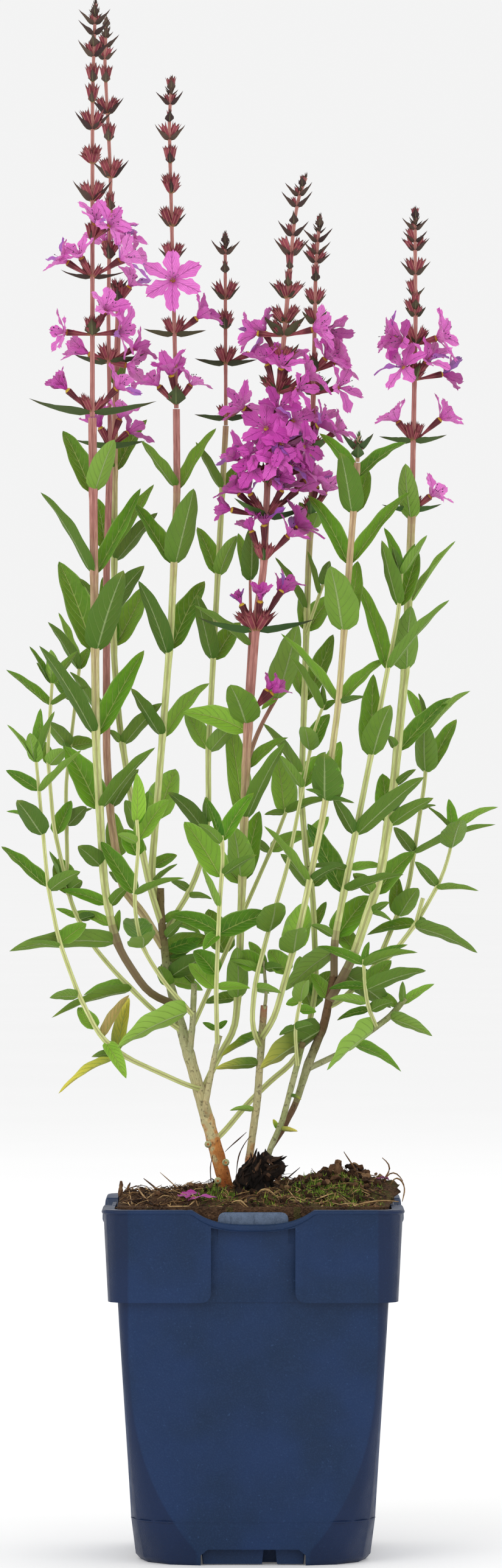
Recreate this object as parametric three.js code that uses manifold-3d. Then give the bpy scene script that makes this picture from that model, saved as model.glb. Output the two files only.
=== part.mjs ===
// Robin purple loosestrife in its square nursery pot, in millimetres, +Z up, the label side facing -Y.
// The plant is laid out on a front view whose steps are 0.265 mm: each row gives a column, a row and
// a depth behind the pot's middle. Leaves, bracts, calyces and flowers grow from the stems by rule.
import * as THREE from "three";
import Module from "manifold-3d";

const wasm = await Module();
wasm.setup();

// Front view layout
const VIEW_STEP = 0.265;
const VIEW_POT_COLUMN = 416;
const VIEW_GROUND_ROW = 2551;
const VIEW_MIDDLE = [412.5, 1288];
const VIEW_DISTANCE = 3000;

// Clearance between neighbouring pieces
const SEAT_GAP = 0.3;
const CLEARANCE = 0.35;
const LEAST_EDGE = 0.02;

// Pot
const POT_HEIGHT = 153;
const POT_FLOOR = 10;
const FOOT_HEIGHT = 7.5;
const FOOT_NOTCH_WIDTH = 45;
const COLLAR_BOTTOM = 113.4;
const COLLAR_WINDOW_WIDTH = 36;
const COLLAR_WINDOW_ROUND = 4;
const LIP_DIP = 6.5;
const LIP_DIP_HALF = 26;
const LIP_HEIGHT = 2.2;
const LABEL_TAB = { width: 30, thickness: 1.4, bottom: 138, top: 152 };
const DRAIN_SLOT = { length: 16, width: 5, from_centre: 30 };

// Each row is a height, half the width across the flats and the corner radius there
const BODY_OUTSIDE = [
  [0, 48.6, 26],
  [2.5, 50.7, 27],
  [18.7, 52.5, 20],
  [40, 53.6, 12.5],
  [65, 55, 7],
  [100, 57.2, 5.5],
  [COLLAR_BOTTOM + 4, 58.2, 5.5],
];
const BODY_INSIDE = [
  [POT_FLOOR, 49.6, 24],
  [18.7, 50.6, 18.4],
  [40, 51.8, 11],
  [65, 53.2, 5.6],
  [100, 55.4, 4.4],
  [COLLAR_BOTTOM + 6, 56.6, 5],
  [POT_HEIGHT + 12, 60.4, 7],
];
const COLLAR_OUTSIDE = [
  [COLLAR_BOTTOM, 62.1, 9],
  [POT_HEIGHT - LIP_HEIGHT, 64, 10],
];
const COLLAR_HOLLOW = [
  [COLLAR_BOTTOM - 6, 60.4, 7.6],
  [POT_HEIGHT - 12, 62.4, 8.6],
];
const COLLAR_WALL = [
  [COLLAR_BOTTOM - 8, 57.9, 5.5],
  [POT_HEIGHT - 10, 60.6, 7.4],
];
const RECESS_HALF = 60.3;
const RIM_HALF = 64.8;
const RIM_CORNER = 10.6;
const RIM_STOPS = [8, 15, 21, LIP_DIP_HALF];
const DIP_DEPTH = 0.1;

// Soil
const SOIL_EDGE = 152;
const SOIL_CROWN = 158;
const SOIL_RINGS = [1, 0.74, 0.38];

// Leaf, bract, calyx and flower proportions
const LEAF_KEEL = 0.8;
const LEAF_ARCH = 0.1;
const LEAF_FOLD = 0.12;
const LEAF_STATIONS = [
  [0.13, 0.8],
  [0.38, 1],
  [0.72, 0.56],
];
const MIDDLE_LEAF_STATIONS = [
  [0.28, 1],
  [0.66, 0.72],
];
const SMALL_LEAF_STATIONS = [[0.45, 1]];
const MIDDLE_LEAF = 140;
const SMALL_LEAF = 95;
const NARROWEST_LEAF = 32;
const MOST_ROLL = 1;
const WRONG_SIDE = 0.7;
const BRACT_STATIONS = [[0.42, 1]];
const BRACT_KEEL = 0.75;
const CALYX_RADIUS = 0.2;
const CALYX_TEETH = 3;
const CALYX_DEPTH = 0.3;
const SIX_PETALS = 46;
const PETAL_WIDTH = 0.44;
const PETAL_THICKNESS = 0.7;
const THROAT_RADIUS = 1.6;

// How far from its foot a piece may run into others of its own node, and how far a stem's
// path may pass beside a place that it leaves out, in view steps
const FLORET_FOOT = 0.7;
const LEAF_FOOT = 0.7;
const FLORET_ZONE = 2.3;
const LEAF_ZONE = 4.2;
const LEAST_FROM_TOP = 7;
const STEM_MARGIN = 4;
const PATH_SLACK = 3;

// Ways to turn a leaf or floret from its first place until it is clear of the others:
// degrees about the vertical, degrees upwards, share of its length
const TURNS = [
  [0, 0, 1],
  [9, 0, 1],
  [-9, 0, 1],
  [0, 9, 1],
  [0, -9, 1],
  [18, 0, 1],
  [-18, 0, 1],
  [13, 12, 1],
  [-13, 12, 1],
  [13, -12, 1],
  [-13, -12, 1],
  [28, 0, 1],
  [-28, 0, 1],
  [0, 20, 1],
  [0, -20, 1],
  [26, 18, 1],
  [-26, 18, 1],
  [26, -18, 1],
  [-26, -18, 1],
  [42, 0, 1],
  [-42, 0, 1],
  [42, 20, 0.95],
  [-42, 20, 0.95],
  [60, 0, 0.95],
  [-60, 0, 0.95],
  [60, 20, 0.9],
  [-60, 20, 0.9],
  [80, 0, 0.9],
  [-80, 0, 0.9],
  [0, 34, 0.85],
  [0, -34, 0.85],
  [105, 10, 0.85],
  [-105, 10, 0.85],
  [135, 10, 0.8],
  [-135, 10, 0.8],
  [180, 10, 0.8],
  [0, 0, 0.7],
  [30, 15, 0.7],
  [-30, 15, 0.7],
  [90, 15, 0.6],
  [-90, 15, 0.6],
  [180, 20, 0.6],
  [0, 0, 0.45],
];

// Stems from the foot up: column, row and depth. The first place is on the axis of the stem named in
// "on", and radii are half widths at the foot, at the spike's foot or tip, and at the spike's tip.
const STEMS = {
  left_crown: {
    sides: 6,
    path: [
      [374, 1992, 0], [371, 1945, 0], [352, 1875, 0], [334, 1807, 0], [313, 1738, 1], [299, 1692, 2],
      [285, 1648, 3], [275, 1600, 4], [268, 1560, 5], [264, 1500, 5], [264, 1459, 5],
    ],
    widths: [11.5, 12, 14, 11.5, 10, 9, 8, 7, 6.6, 6.2, 6],
    branches: [
      { path: [[311, 1735, 1], [316, 1690, -5], [319, 1616, -8]], widths: [5, 5, 4.6] },
      {
        path: [[341, 1836, 0], [336, 1822, -5], [340, 1790, -7], [346, 1758, -7], [354, 1725, -7], [361, 1701, -7]],
        widths: [5, 5, 4.6, 4.4, 4.2, 4.6],
      },
    ],
    leaves: [
      [1604, 350, 1566, 30, 1], [1612, 342, 1626, 28, -1], [1572, 332, 1542, 26, -1],
      [1540, 300, 1512, 16, 1], [1515, 291, 1496, 14, -1], [1620, 262, 1586, 24, 1],
    ],
  },
  middle_crown: {
    sides: 6,
    path: [
      [398, 1988, 7], [403, 1950, 7], [407, 1905, 6], [417, 1850, 5], [423, 1807, 4], [427, 1738, 3],
      [432, 1692, 2], [434, 1652, 1],
    ],
    widths: [6, 6, 6, 6, 6, 6, 6, 5.6],
    branches: [{ path: [[434, 1660, 1], [438, 1636, -3], [435, 1600, -5], [433, 1578, -6]], widths: [3, 2.8, 2.6, 2.4] }],
    leaves: [
      [1700, 394, 1766, 38, 1], [1748, 354, 1757, 22, 1],
    ],
    branch_leaves: [[1590, 409, 1546, 20, -1], [1598, 387, 1578, 16, 1], [1592, 470, 1590, 18, 1]],
  },
  right_crown: {
    sides: 6,
    path: [
      [428, 1988, 6], [434, 1930, 5], [440, 1893, 4], [464, 1857, 4], [487, 1811, 3], [505, 1752, 3],
      [533, 1683, 3], [547, 1623, 3], [549, 1600, 3],
    ],
    widths: [5, 5, 4.6, 4.8, 5.4, 7, 7, 6.6, 6.4],
    leaves: [
      [1690, 437, 1757, 55, 1], [1640, 512, 1600, 24, -1],
    ],
  },
  right_stub: {
    sides: 6,
    path: [
      [420, 1985, 0], [434, 1925, -1], [443, 1889, -2], [464, 1843, -3], [482, 1784, -4], [490, 1745, -5],
      [498, 1712, -5],
    ],
    widths: [5, 5, 5, 5, 5, 5, 5],
    leaves: [
      
    ],
  },
  right_low: {
    on: "right_crown",
    path: [
      [504, 1757, 3], [530, 1745, 8], [560, 1730, 10], [590, 1708, 10], [620, 1687, 9], [644, 1668, 8],
      [666, 1640, 8],
    ],
    widths: [5, 5, 4.8, 4.8, 4.8, 5, 5],
    leaves: [
      [1690, 508, 1757, 56, 1], [1716, 662, 1759, 18, -1], [1672, 711, 1702, 28, 1],
      [1650, 714, 1616, 14, -1], [1655, 618, 1625, 14, -1],
    ],
  },
  stem_a: {
    on: "left_crown",
    path: [
      [285, 1649, 3], [262, 1641, 0], [241, 1629, -3], [225, 1607, -5], [198, 1564, -8], [185, 1527, -9],
      [171, 1452, -11], [165, 1377, -12], [158, 1230, -14], [155, 1060, -16], [153, 820, -18], [152, 700, -20],
      [150, 560, -21], [150, 330, -22], [152, 150, -23], [157, 6, -24],
    ],
    widths: [5.5, 6, 3.4, 2],
    spike: 686,
    leaves: [
      [808, 104, 704, 34, -1], [806, 187, 719, 36, 1], [941, 72, 803, 18, 1], [942, 232, 805, 26, -1],
      [1068, 97, 922, 48, -1], [1068, 203, 938, 48, 1], [1205, 64, 1063, 26, 1],
      [1206, 237, 1070, 36, -1], [1328, 105, 1228, 46, -1], [1327, 253, 1223, 20, 1],
      [1422, 128, 1389, 30, 1], [1485, 108, 1463, 20, -1], [1488, 213, 1455, 18, 1],
      [1535, 197, 1495, 14, -1], [1547, 10, 1557, 34, 1],
    ],
    whorls: [
      [24, 1, 2, 14, 26], [40, 0, 2, 16, 34], [57, 0, 0, 0, 34], [76, 1, 0, 0, 28], [93, 0, 2, 24, 36],
      [134, 1, 3, 28, 30], [168, 1, 3, 28, 26], [213, 0, 2, 32, 40], [268, 1, 4, 34, 28], [330, 0, 4, 32, 44],
      [395, 1, 3, 28, 22], [456, 0, 1, 30, 54], [550, 1, 3, 30, 34], [678, 0, 2, 36, 106],
    ],
    flowers: [
      [395, 155, 366, 15, 44, 50], [456, 112, 432, 10, 42, 50], [456, 196, 428, 15, 52, 60],
      [550, 110, 546, 10, 42, 65], [550, 158, 516, -5, 36, 40], [550, 192, 546, 15, 46, 65],
      [678, 112, 642, 10, 40, 30], [678, 190, 640, 15, 44, 55],
    ],
  },
  stem_b: {
    on: "left_crown",
    path: [
      [268, 1556, 5], [250, 1530, 6], [228, 1489, 8], [212, 1477, 8], [200, 1457, 8], [190, 1400, 8],
      [182, 1345, 8], [175, 1237, 9], [177, 1088, 9], [175, 941, 10], [180, 802, 10], [182, 676, 11],
      [179, 588, 11], [178, 507, 12], [182, 424, 12], [182, 290, 13], [172, 100, 14], [175, 37, 14],
    ],
    widths: [6, 4.6, 3, 2],
    spike: 742,
    leaves: [
      [905, 157, 816, 34, -1], [908, 254, 799, 24, -1], [1012, 130, 949, 16, 1],
      [1008, 237, 930, 32, 1], [1185, 118, 1099, 18, 1], [1180, 224, 1107, 20, -1],
      [1325, 228, 1262, 24, 1], [1408, 188, 1330, 34, -1],
    ],
    whorls: [
      [44, 1, 2, 14, 24], [62, 1, 0, 0, 24], [78, 0, 1, 20, 30], [98, 0, 2, 22, 26], [135, 1, 3, 26, 28],
      [187, 0, 2, 30, 36], [231, 1, 4, 28, 30], [292, 0, 4, 32, 40], [345, 1, 2, 30, 30], [425, 1, 2, 30, 36],
      [595, 0, 1, 30, 62], [733, 0, 1, 28, 58],
    ],
    flowers: [
      [345, 184, 366, 0, 40, 40], [425, 172, 400, -20, 36, 50], [595, 148, 582, 5, 44, 35],
      [595, 216, 575, -5, 38, 50], [733, 170, 702, 5, 40, 40], [733, 208, 712, -10, 42, 55],
    ],
  },
  stem_c: {
    on: "left_crown",
    path: [
      [264, 1514, 5], [256, 1486, 1], [246, 1457, 0], [228, 1385, 4], [214, 1304, 9], [204, 1251, 13],
      [196, 1189, 16], [187, 1075, 20], [185, 941, 24], [188, 780, 27], [189, 682, 29], [193, 575, 30],
      [196, 520, 31], [193, 470, 31],
    ],
    widths: [4.6, 4.4, 3, 2.4],
    spike: 505,
    leaves: [
      [633, 189, 582, 18, -1], [633, 206, 597, 14, 1], [772, 241, 687, 26, -1], [920, 243, 840, 30, 1],
      [1060, 240, 963, 40, -1], [1058, 163, 947, 26, -1], [1222, 266, 1151, 24, 1],
      [1365, 207, 1312, 28, 1], [1405, 208, 1370, 24, -1],
    ],
    whorls: [[476, 0, 2, 18, 24], [497, 1, 3, 30, 34]],
    flowers: [[497, 212, 472, 10, 44, 55]],
  },
  stem_d: {
    on: "left_crown",
    path: [
      [264, 1484, 5], [256, 1462, 10], [248, 1446, 12], [250, 1412, 12], [257, 1350, 11], [265, 1259, 9],
      [273, 1170, 7], [281, 1035, 5], [287, 928, 3], [291, 807, 1], [291, 700, -1], [287, 600, -2],
      [284, 450, -4], [280, 300, -5], [278, 200, -6], [282, 132, -6],
    ],
    widths: [5, 5, 3, 2],
    spike: 672,
    leaves: [
      [800, 232, 725, 18, 1], [803, 355, 703, 20, -1], [925, 237, 827, 32, -1], [925, 319, 805, 44, 1],
      [1075, 227, 957, 30, 1], [1065, 336, 953, 40, -1], [1208, 224, 1118, 24, 1],
      [1210, 343, 1117, 26, -1], [1345, 288, 1262, 50, -1], [1424, 292, 1403, 20, -1],
    ],
    whorls: [
      [148, 1, 3, 20, 26], [172, 0, 2, 18, 30], [200, 1, 1, 18, 28], [230, 0, 2, 28, 34], [268, 1, 3, 28, 28],
      [317, 1, 4, 32, 30], [372, 0, 4, 32, 30], [428, 0, 4, 30, 30], [478, 1, 2, 28, 24], [550, 0, 2, 30, 52],
      [664, 1, 2, 32, 42],
    ],
    flowers: [
      [478, 284, 461, 42, 50, 85], [550, 322, 524, 10, 44, 45], [664, 262, 636, 10, 42, 50],
      [664, 288, 628, -10, 48, 30], [664, 312, 634, 0, 38, 60],
    ],
  },
  stem_e: {
    on: "left_crown",
    path: [
      [266, 1538, 5], [281, 1516, 10], [295, 1492, 12], [313, 1463, 13], [333, 1412, 14], [343, 1329, 15],
      [342, 1238, 16], [350, 1104, 18], [362, 914, 20], [371, 722, 22], [372, 561, 23], [370, 387, 24],
    ],
    widths: [4, 4.2, 2.6, 2],
    spike: 700,
    leaves: [
      [803, 326, 727, 18, 1], [803, 408, 752, 20, -1], [942, 324, 866, 28, -1], [945, 389, 880, 26, 1],
      [1083, 298, 976, 20, 1], [1083, 395, 1022, 36, -1], [1230, 305, 1165, 32, -1],
      [1234, 392, 1183, 28, 1], [1365, 276, 1300, 26, 1], [1352, 340, 1307, 18, 1],
      [1463, 281, 1448, 14, 1], [1514, 332, 1534, 20, -1],
    ],
    whorls: [
      [400, 1, 2, 16, 26], [418, 0, 1, 14, 32], [448, 1, 1, 18, 28], [492, 0, 2, 32, 32], [540, 1, 3, 30, 26],
      [598, 0, 3, 30, 52], [688, 0, 2, 24, 52],
    ],
    flowers: [[598, 408, 582, 5, 44, 40], [688, 390, 672, 20, 38, 70]],
  },
  stem_f: {
    on: "left_crown",
    path: [
      [331, 1797, 0], [345, 1762, 8], [358, 1738, 10], [375, 1712, 9], [387, 1690, 7], [391, 1671, 6],
      [393, 1600, 4], [394, 1511, 1], [396, 1457, 0], [399, 1345, -2], [404, 1264, -4], [408, 1185, -6],
      [420, 1063, -8], [424, 993, -9], [433, 939, -10], [438, 858, -12], [441, 763, -13], [456, 668, -15],
      [465, 575, -16], [475, 440, -18], [483, 367, -19], [492, 318, -19], [503, 292, -20],
    ],
    widths: [4.6, 6.4, 6, 2],
    spike: 1182,
    branches: [
      { path: [[404, 1262, -4], [416, 1222, 6], [432, 1185, 12], [458, 1140, 14]], widths: [3.4, 3.4, 3, 2.8] },
      {
        path: [[405, 1236, -4], [403, 1190, 4], [408, 1120, 9], [412, 1035, 9], [413, 980, 7], [411, 946, 6]],
        widths: [3.2, 2.6, 2.6, 2.4, 2.2, 2],
      },
    ],
    leaves: [
      [1262, 473, 1207, 18, -1], [1345, 361, 1183, 36, -1], [1345, 470, 1220, 26, 1],
      [1442, 388, 1350, 44, 1], [1445, 426, 1332, 40, -1], [1450, 340, 1400, 30, -1],
      [1640, 397, 1545, 34, 1], [1640, 328, 1648, 22, -1], [1189, 384, 1116, 50, 1],
      [1200, 302, 1172, 38, -1],
    ],
    branch_leaves: [
      [1142, 490, 1028, 44, 1, 0], [1142, 430, 1166, 12, 1, 0], [946, 413, 866, 30, 1, 1],
      [946, 391, 877, 22, -1, 1], [1060, 318, 997, 12, 1, 1],
    ],
    whorls: [
      [306, 1, 2, 16, 24], [322, 0, 1, 14, 30], [340, 0, 1, 16, 34], [368, 1, 0, 0, 28], [388, 0, 1, 20, 34],
      [420, 0, 2, 32, 38], [442, 1, 2, 26, 22], [470, 1, 1, 24, 26], [490, 0, 2, 34, 38], [530, 0, 4, 34, 30],
      [552, 0, 2, 34, 46], [595, 0, 3, 34, 40], [645, 0, 2, 36, 40], [700, 1, 1, 36, 40], [793, 1, 3, 38, 40],
      [850, 0, 4, 40, 66], [920, 1, 3, 36, 28], [1036, 0, 6, 44, 98], [1174, 1, 2, 24, 0],
    ],
    flowers: [
      [552, 425, 548, 0, 40, 50], [552, 512, 542, 10, 46, 50], [645, 440, 600, 10, 40, 50],
      [645, 500, 622, 0, 46, 60], [645, 470, 590, -10, 40, 60], [720, 438, 704, 42, 46, 80],
      [715, 482, 692, 40, 44, 80], [760, 430, 742, 44, 42, 80], [700, 402, 672, 20, 44, 60],
      [740, 520, 700, 20, 46, 60], [793, 395, 758, 10, 38, 50], [793, 490, 772, 15, 42, 55],
      [765, 472, 735, -15, 44, 70], [850, 394, 812, 5, 40, 50], [850, 488, 806, 10, 44, 50],
      [850, 382, 838, 10, 34, 40], [920, 418, 874, 15, 34, 40], [920, 472, 882, 15, 42, 50],
      [1036, 430, 982, 12, 32, 30], [1036, 455, 982, -5, 36, 35], [1036, 408, 990, 10, 26, 25],
      [1174, 438, 1135, 5, 28, 40],
    ],
  },
  stem_g: {
    on: "left_crown",
    path: [
      [352, 1874, 0], [370, 1858, 8], [400, 1820, 13], [450, 1770, 15], [482, 1747, 16], [505, 1700, 17],
      [520, 1620, 17], [519, 1540, 17], [518, 1507, 17], [514, 1467, 17], [504, 1418, 17], [502, 1372, 17],
      [495, 1307, 18], [497, 1239, 18], [500, 1063, 19], [507, 925, 20], [511, 857, 20], [512, 776, 21],
      [517, 602, 22], [519, 434, 23], [525, 386, 24], [526, 358, 24],
    ],
    widths: [4, 4.6, 4, 2],
    spike: 856,
    branches: [{ path: [[501, 1045, 19], [514, 1003, 12], [525, 976, 10], [533, 954, 9]], widths: [2.6, 2.6, 2.4, 2.4] }],
    leaves: [
      [868, 522, 842, 26, 1], [868, 496, 825, 24, -1], [1035, 498, 973, 24, -1],
      [1036, 547, 978, 36, -1], [1000, 453, 915, 10, 1], [1143, 475, 1068, 26, -1],
      [1150, 548, 1045, 34, -1], [1280, 520, 1240, 20, -1], [1272, 430, 1204, 20, 1],
      [1392, 540, 1340, 26, -1], [1458, 461, 1402, 24, 1], [1455, 545, 1430, 20, -1],
      [1522, 536, 1480, 16, -1],
    ],
    branch_leaves: [[956, 541, 920, 18, 1], [976, 505, 905, 8, 1]],
    whorls: [
      [372, 1, 2, 16, 26], [398, 0, 1, 14, 32], [418, 0, 1, 18, 30], [432, 0, 2, 26, 30], [462, 1, 2, 28, 28],
      [500, 0, 2, 28, 24], [532, 0, 3, 28, 28], [610, 1, 2, 30, 34], [648, 0, 2, 30, 40], [735, 0, 1, 30, 40],
      [845, 1, 3, 30, 36],
    ],
    flowers: [
      [532, 532, 540, 10, 46, 50], [610, 548, 596, 0, 46, 60], [648, 556, 628, 15, 44, 70],
      [735, 548, 712, 5, 40, 50], [735, 496, 705, 10, 40, 60], [845, 528, 806, 10, 40, 55],
    ],
  },
  stem_h: {
    on: "middle_crown",
    path: [
      [430, 1705, 2], [451, 1673, -4], [465, 1630, -8], [481, 1570, -12], [495, 1513, -15], [504, 1467, -16],
      [519, 1399, -18], [533, 1331, -20], [549, 1225, -23], [556, 1158, -25], [567, 1041, -28], [576, 939, -30],
      [582, 844, -32], [590, 716, -34],
    ],
    widths: [4.4, 4.6, 2.8, 2],
    spike: 760,
    leaves: [
      [780, 525, 712, 22, -1], [782, 667, 722, 20, -1], [842, 562, 742, 40, 1],
      [842, 604, 770, 32, -1], [925, 507, 807, 28, -1], [925, 672, 802, 22, -1],
      [1035, 550, 922, 54, 1], [1032, 588, 922, 36, -1], [1152, 460, 1043, 14, -1],
      [1152, 637, 1080, 20, -1], [1315, 535, 1230, 52, 1], [1312, 558, 1215, 36, -1],
      [1447, 436, 1355, 12, 1], [1447, 562, 1420, 14, 1], [1565, 488, 1524, 44, 2],
      [1562, 500, 1480, 45, -1],
    ],
    whorls: [[738, 0, 2, 14, 34], [752, 1, 4, 18, 28]],
    flowers: [],
  },
  stem_i: {
    on: "right_crown",
    path: [
      [542, 1643, 3], [560, 1610, 1], [580, 1574, 0], [595, 1526, 0], [614, 1480, 0], [625, 1440, 0],
      [636, 1386, 1], [647, 1293, 2], [653, 1225, 2], [660, 1144, 3], [667, 1090, 3], [671, 990, 4],
      [674, 898, 4], [681, 763, 5], [683, 535, 6], [683, 413, 6], [682, 347, 6],
    ],
    widths: [6.6, 5.6, 4, 2],
    spike: 846,
    leaves: [
      [850, 662, 760, 32, 1], [1100, 672, 988, 44, 1], [1232, 741, 1141, 28, -1],
      [1230, 638, 1208, 14, 1], [1350, 624, 1270, 38, -1], [1355, 712, 1312, 24, 1],
      [1468, 682, 1398, 34, -1], [1468, 580, 1434, 24, 1], [1500, 640, 1482, 14, 1],
      [990, 746, 886, 8, -1],
    ],
    whorls: [
      [358, 1, 3, 16, 24], [378, 0, 1, 12, 28], [398, 0, 1, 24, 26], [412, 0, 2, 26, 30], [452, 0, 2, 28, 32],
      [486, 0, 1, 26, 20], [508, 1, 2, 28, 22], [520, 0, 1, 30, 22], [566, 0, 3, 32, 30], [624, 1, 4, 34, 34],
      [725, 0, 3, 30, 56], [838, 0, 2, 26, 50],
    ],
    flowers: [
      [566, 650, 555, 5, 42, 60], [566, 716, 556, 10, 48, 60], [624, 664, 604, 30, 46, 75],
      [624, 722, 600, 5, 44, 50], [624, 704, 592, -15, 34, 40], [725, 655, 694, 5, 40, 55],
      [725, 722, 690, 5, 42, 50], [838, 706, 816, 10, 40, 60],
    ],
  },
  stem_j: {
    on: "right_crown",
    path: [
      [549, 1603, 3], [549, 1548, 0], [554, 1521, -2], [563, 1467, -5], [573, 1426, -7], [582, 1372, -8],
      [595, 1306, -10], [610, 1239, -11], [628, 1157, -13], [638, 1100, -14], [644, 1076, -14], [655, 1008, -14],
      [660, 937, -15],
    ],
    widths: [5.4, 2.6],
    leaves: [
      [940, 632, 866, 18, -1], [935, 646, 898, 14, 1], [942, 703, 881, 14, 1], [992, 627, 888, 24, 1],
      [995, 687, 906, 34, -1], [1098, 571, 968, 26, -1], [1098, 738, 985, 16, 1],
      [1240, 614, 1108, 36, -1], [1240, 641, 1156, 42, 1], [1370, 698, 1270, 30, 1],
      [1370, 548, 1310, 22, 1], [1463, 672, 1438, 14, 1], [1465, 506, 1350, 36, -1],
      [1428, 634, 1422, 14, -1], [1428, 505, 1425, 12, 1], [1538, 608, 1472, 44, -1],
      [1538, 510, 1518, 14, 1], [1562, 478, 1642, 36, -1],
    ],
  },
  stem_k: {
    on: "right_crown",
    path: [
      [540, 1654, 3], [560, 1645, 9], [590, 1618, 14], [617, 1589, 16], [641, 1537, 18], [652, 1507, 19],
      [660, 1494, 20], [671, 1461, 21], [683, 1399, 23], [693, 1331, 25], [700, 1272, 27], [700, 1170, 28],
    ],
    widths: [4, 2.4],
    leaves: [
      [1192, 670, 1131, 20, -1], [1200, 764, 1130, 18, 1], [1268, 699, 1187, 38, 1],
      [1268, 750, 1178, 28, -1], [1400, 647, 1358, 20, 1], [1402, 808, 1350, 12, 1],
      [1505, 687, 1457, 36, 1], [1502, 655, 1440, 24, -1],
    ],
  },
  stem_l: {
    on: "stem_k",
    path: [
      [615, 1591, 16], [640, 1574, 9], [652, 1556, 8], [666, 1540, 8], [685, 1516, 9], [698, 1494, 10],
      [717, 1464, 11], [725, 1445, 12], [741, 1396, 13], [746, 1356, 14],
    ],
    widths: [3.6, 2],
    branches: [{ path: [[683, 1519, 9], [688, 1497, 7], [695, 1476, 6]], widths: [3, 3, 3] }],
    leaves: [
      [1358, 737, 1313, 18, -1], [1360, 823, 1337, 12, -1], [1392, 757, 1349, 40, 2],
      [1456, 682, 1415, 18, 1], [1460, 787, 1463, 10, 1], [1522, 784, 1566, 26, 1],
      [1518, 603, 1536, 18, -1],
    ],
  },
  stem_n: {
    on: "left_crown",
    path: [
      [300, 1695, 2], [275, 1678, -3], [252, 1661, -4], [214, 1621, -4], [188, 1596, -4], [150, 1551, -3],
      [118, 1489, -1], [98, 1412, 0], [88, 1358, 0], [80, 1291, 0], [78, 1238, 0], [80, 1163, -1], [86, 1116, -2],
    ],
    widths: [3.6, 2.2],
    leaves: [
      [1120, 84, 1067, 24, 1], [1118, 128, 1070, 14, 1], [1118, 48, 1062, 8, -1],
      [1158, 10, 1101, 14, -1], [1158, 147, 1126, 8, 1], [1256, 106, 1230, 26, 1],
      [1255, 74, 1217, 18, -1], [1370, 117, 1315, 26, -1], [1462, 98, 1395, 34, -1],
      [1462, 135, 1447, 22, 1], [1510, 157, 1503, 16, 1], [1626, 84, 1671, 16, 1],
      [1617, 134, 1632, 14, -1],
    ],
  },
  stem_o: {
    on: "left_crown",
    path: [
      [329, 1789, 0], [310, 1784, -5], [268, 1765, -11], [233, 1749, -15], [206, 1737, -18], [166, 1706, -22],
      [150, 1679, -24], [131, 1639, -26], [118, 1604, -27], [96, 1543, -29], [79, 1457, -30], [71, 1377, -31],
      [64, 1296, -31], [59, 1245, -31],
    ],
    widths: [3.6, 2.2],
    leaves: [
      [1250, 50, 1203, 26, 1], [1252, 13, 1189, 6, -1], [1252, 68, 1164, 20, -1],
      [1250, 89, 1168, 12, 1], [1298, 10, 1266, 20, -1], [1300, 135, 1235, 10, 1],
      [1371, 28, 1312, 36, 1], [1352, 10, 1331, 10, -1], [1456, 2, 1392, 20, -1],
      [1462, 132, 1432, 24, 1], [1548, 142, 1517, 28, -1], [1637, 82, 1640, 20, 1],
      [1690, 128, 1655, 26, -1], [1705, 211, 1632, 16, -1], [1712, 207, 1773, 24, 1],
      [1730, 151, 1737, 16, 1], [1733, 91, 1792, 12, -1], [1726, 213, 1640, 24, -1],
    ],
  },
  stem_p: {
    on: "stem_n",
    path: [
      [112, 1468, -1], [111, 1440, 6], [110, 1355, 12], [108, 1291, 15], [115, 1221, 18], [127, 1120, 20],
      [131, 1092, 21],
    ],
    widths: [3, 2.2],
    leaves: [
      [1096, 79, 1021, 18, 1], [1096, 148, 1062, 18, -1], [1100, 97, 1006, 12, -1],
      [1150, 88, 1115, 24, -1], [1150, 147, 1130, 14, 1], [1226, 79, 1187, 26, 1],
      [1225, 158, 1220, 26, -1], [1240, 105, 1218, 14, 1], [1356, 142, 1325, 26, 1],
    ],
  },
  stem_q: {
    on: "left_crown",
    branch: 0,
    path: [
      [317, 1668, -6], [305, 1652, -11], [287, 1634, -14], [268, 1612, -17], [246, 1580, -21], [233, 1556, -24],
      [226, 1532, -26], [222, 1503, -28], [221, 1465, -31], [228, 1390, -35], [225, 1347, -37],
    ],
    widths: [3.2, 2.4],
    leaves: [
      [1352, 225, 1270, 24, -1], [1354, 244, 1300, 16, -1], [1378, 277, 1310, 32, -1],
      [1384, 193, 1369, 16, 1], [1467, 166, 1380, 30, -1], [1470, 303, 1440, 10, 1],
      [1545, 215, 1504, 44, -2], [1556, 233, 1538, 44, 2], [1660, 187, 1718, 46, 1],
    ],
  },
  stem_r: {
    on: "left_crown",
    branch: 1,
    path: [
      [357, 1714, -7], [355, 1690, -12], [355, 1626, -18], [356, 1578, -21], [360, 1500, -25], [366, 1457, -27],
      [367, 1404, -29], [364, 1373, -30],
    ],
    widths: [3.4, 2.8],
    leaves: [
      [1380, 338, 1308, 16, -1], [1380, 417, 1303, 26, -1], [1386, 325, 1352, 16, 1],
      [1440, 303, 1348, 44, -1], [1437, 422, 1405, 14, 1], [1490, 332, 1426, 12, 1],
      [1530, 275, 1503, 26, -1], [1533, 447, 1500, 36, -1], [1535, 334, 1560, 20, 1],
      [1623, 310, 1583, 28, -1], [1623, 413, 1622, 14, -1],
    ],
  },
  stem_s: {
    on: "left_crown",
    path: [
      [305, 1712, 2], [322, 1675, 12], [333, 1650, 13], [358, 1590, 13], [385, 1535, 13], [403, 1491, 13],
      [424, 1445, 14], [441, 1407, 15], [451, 1383, 15], [472, 1328, 16],
    ],
    widths: [3.6, 2.6],
    leaves: [
      [1332, 455, 1240, 42, -1], [1332, 550, 1308, 14, 1], [1400, 402, 1370, 18, 1],
      [1398, 512, 1368, 24, -1],
    ],
  },
  stem_t: {
    on: "middle_crown",
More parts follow.
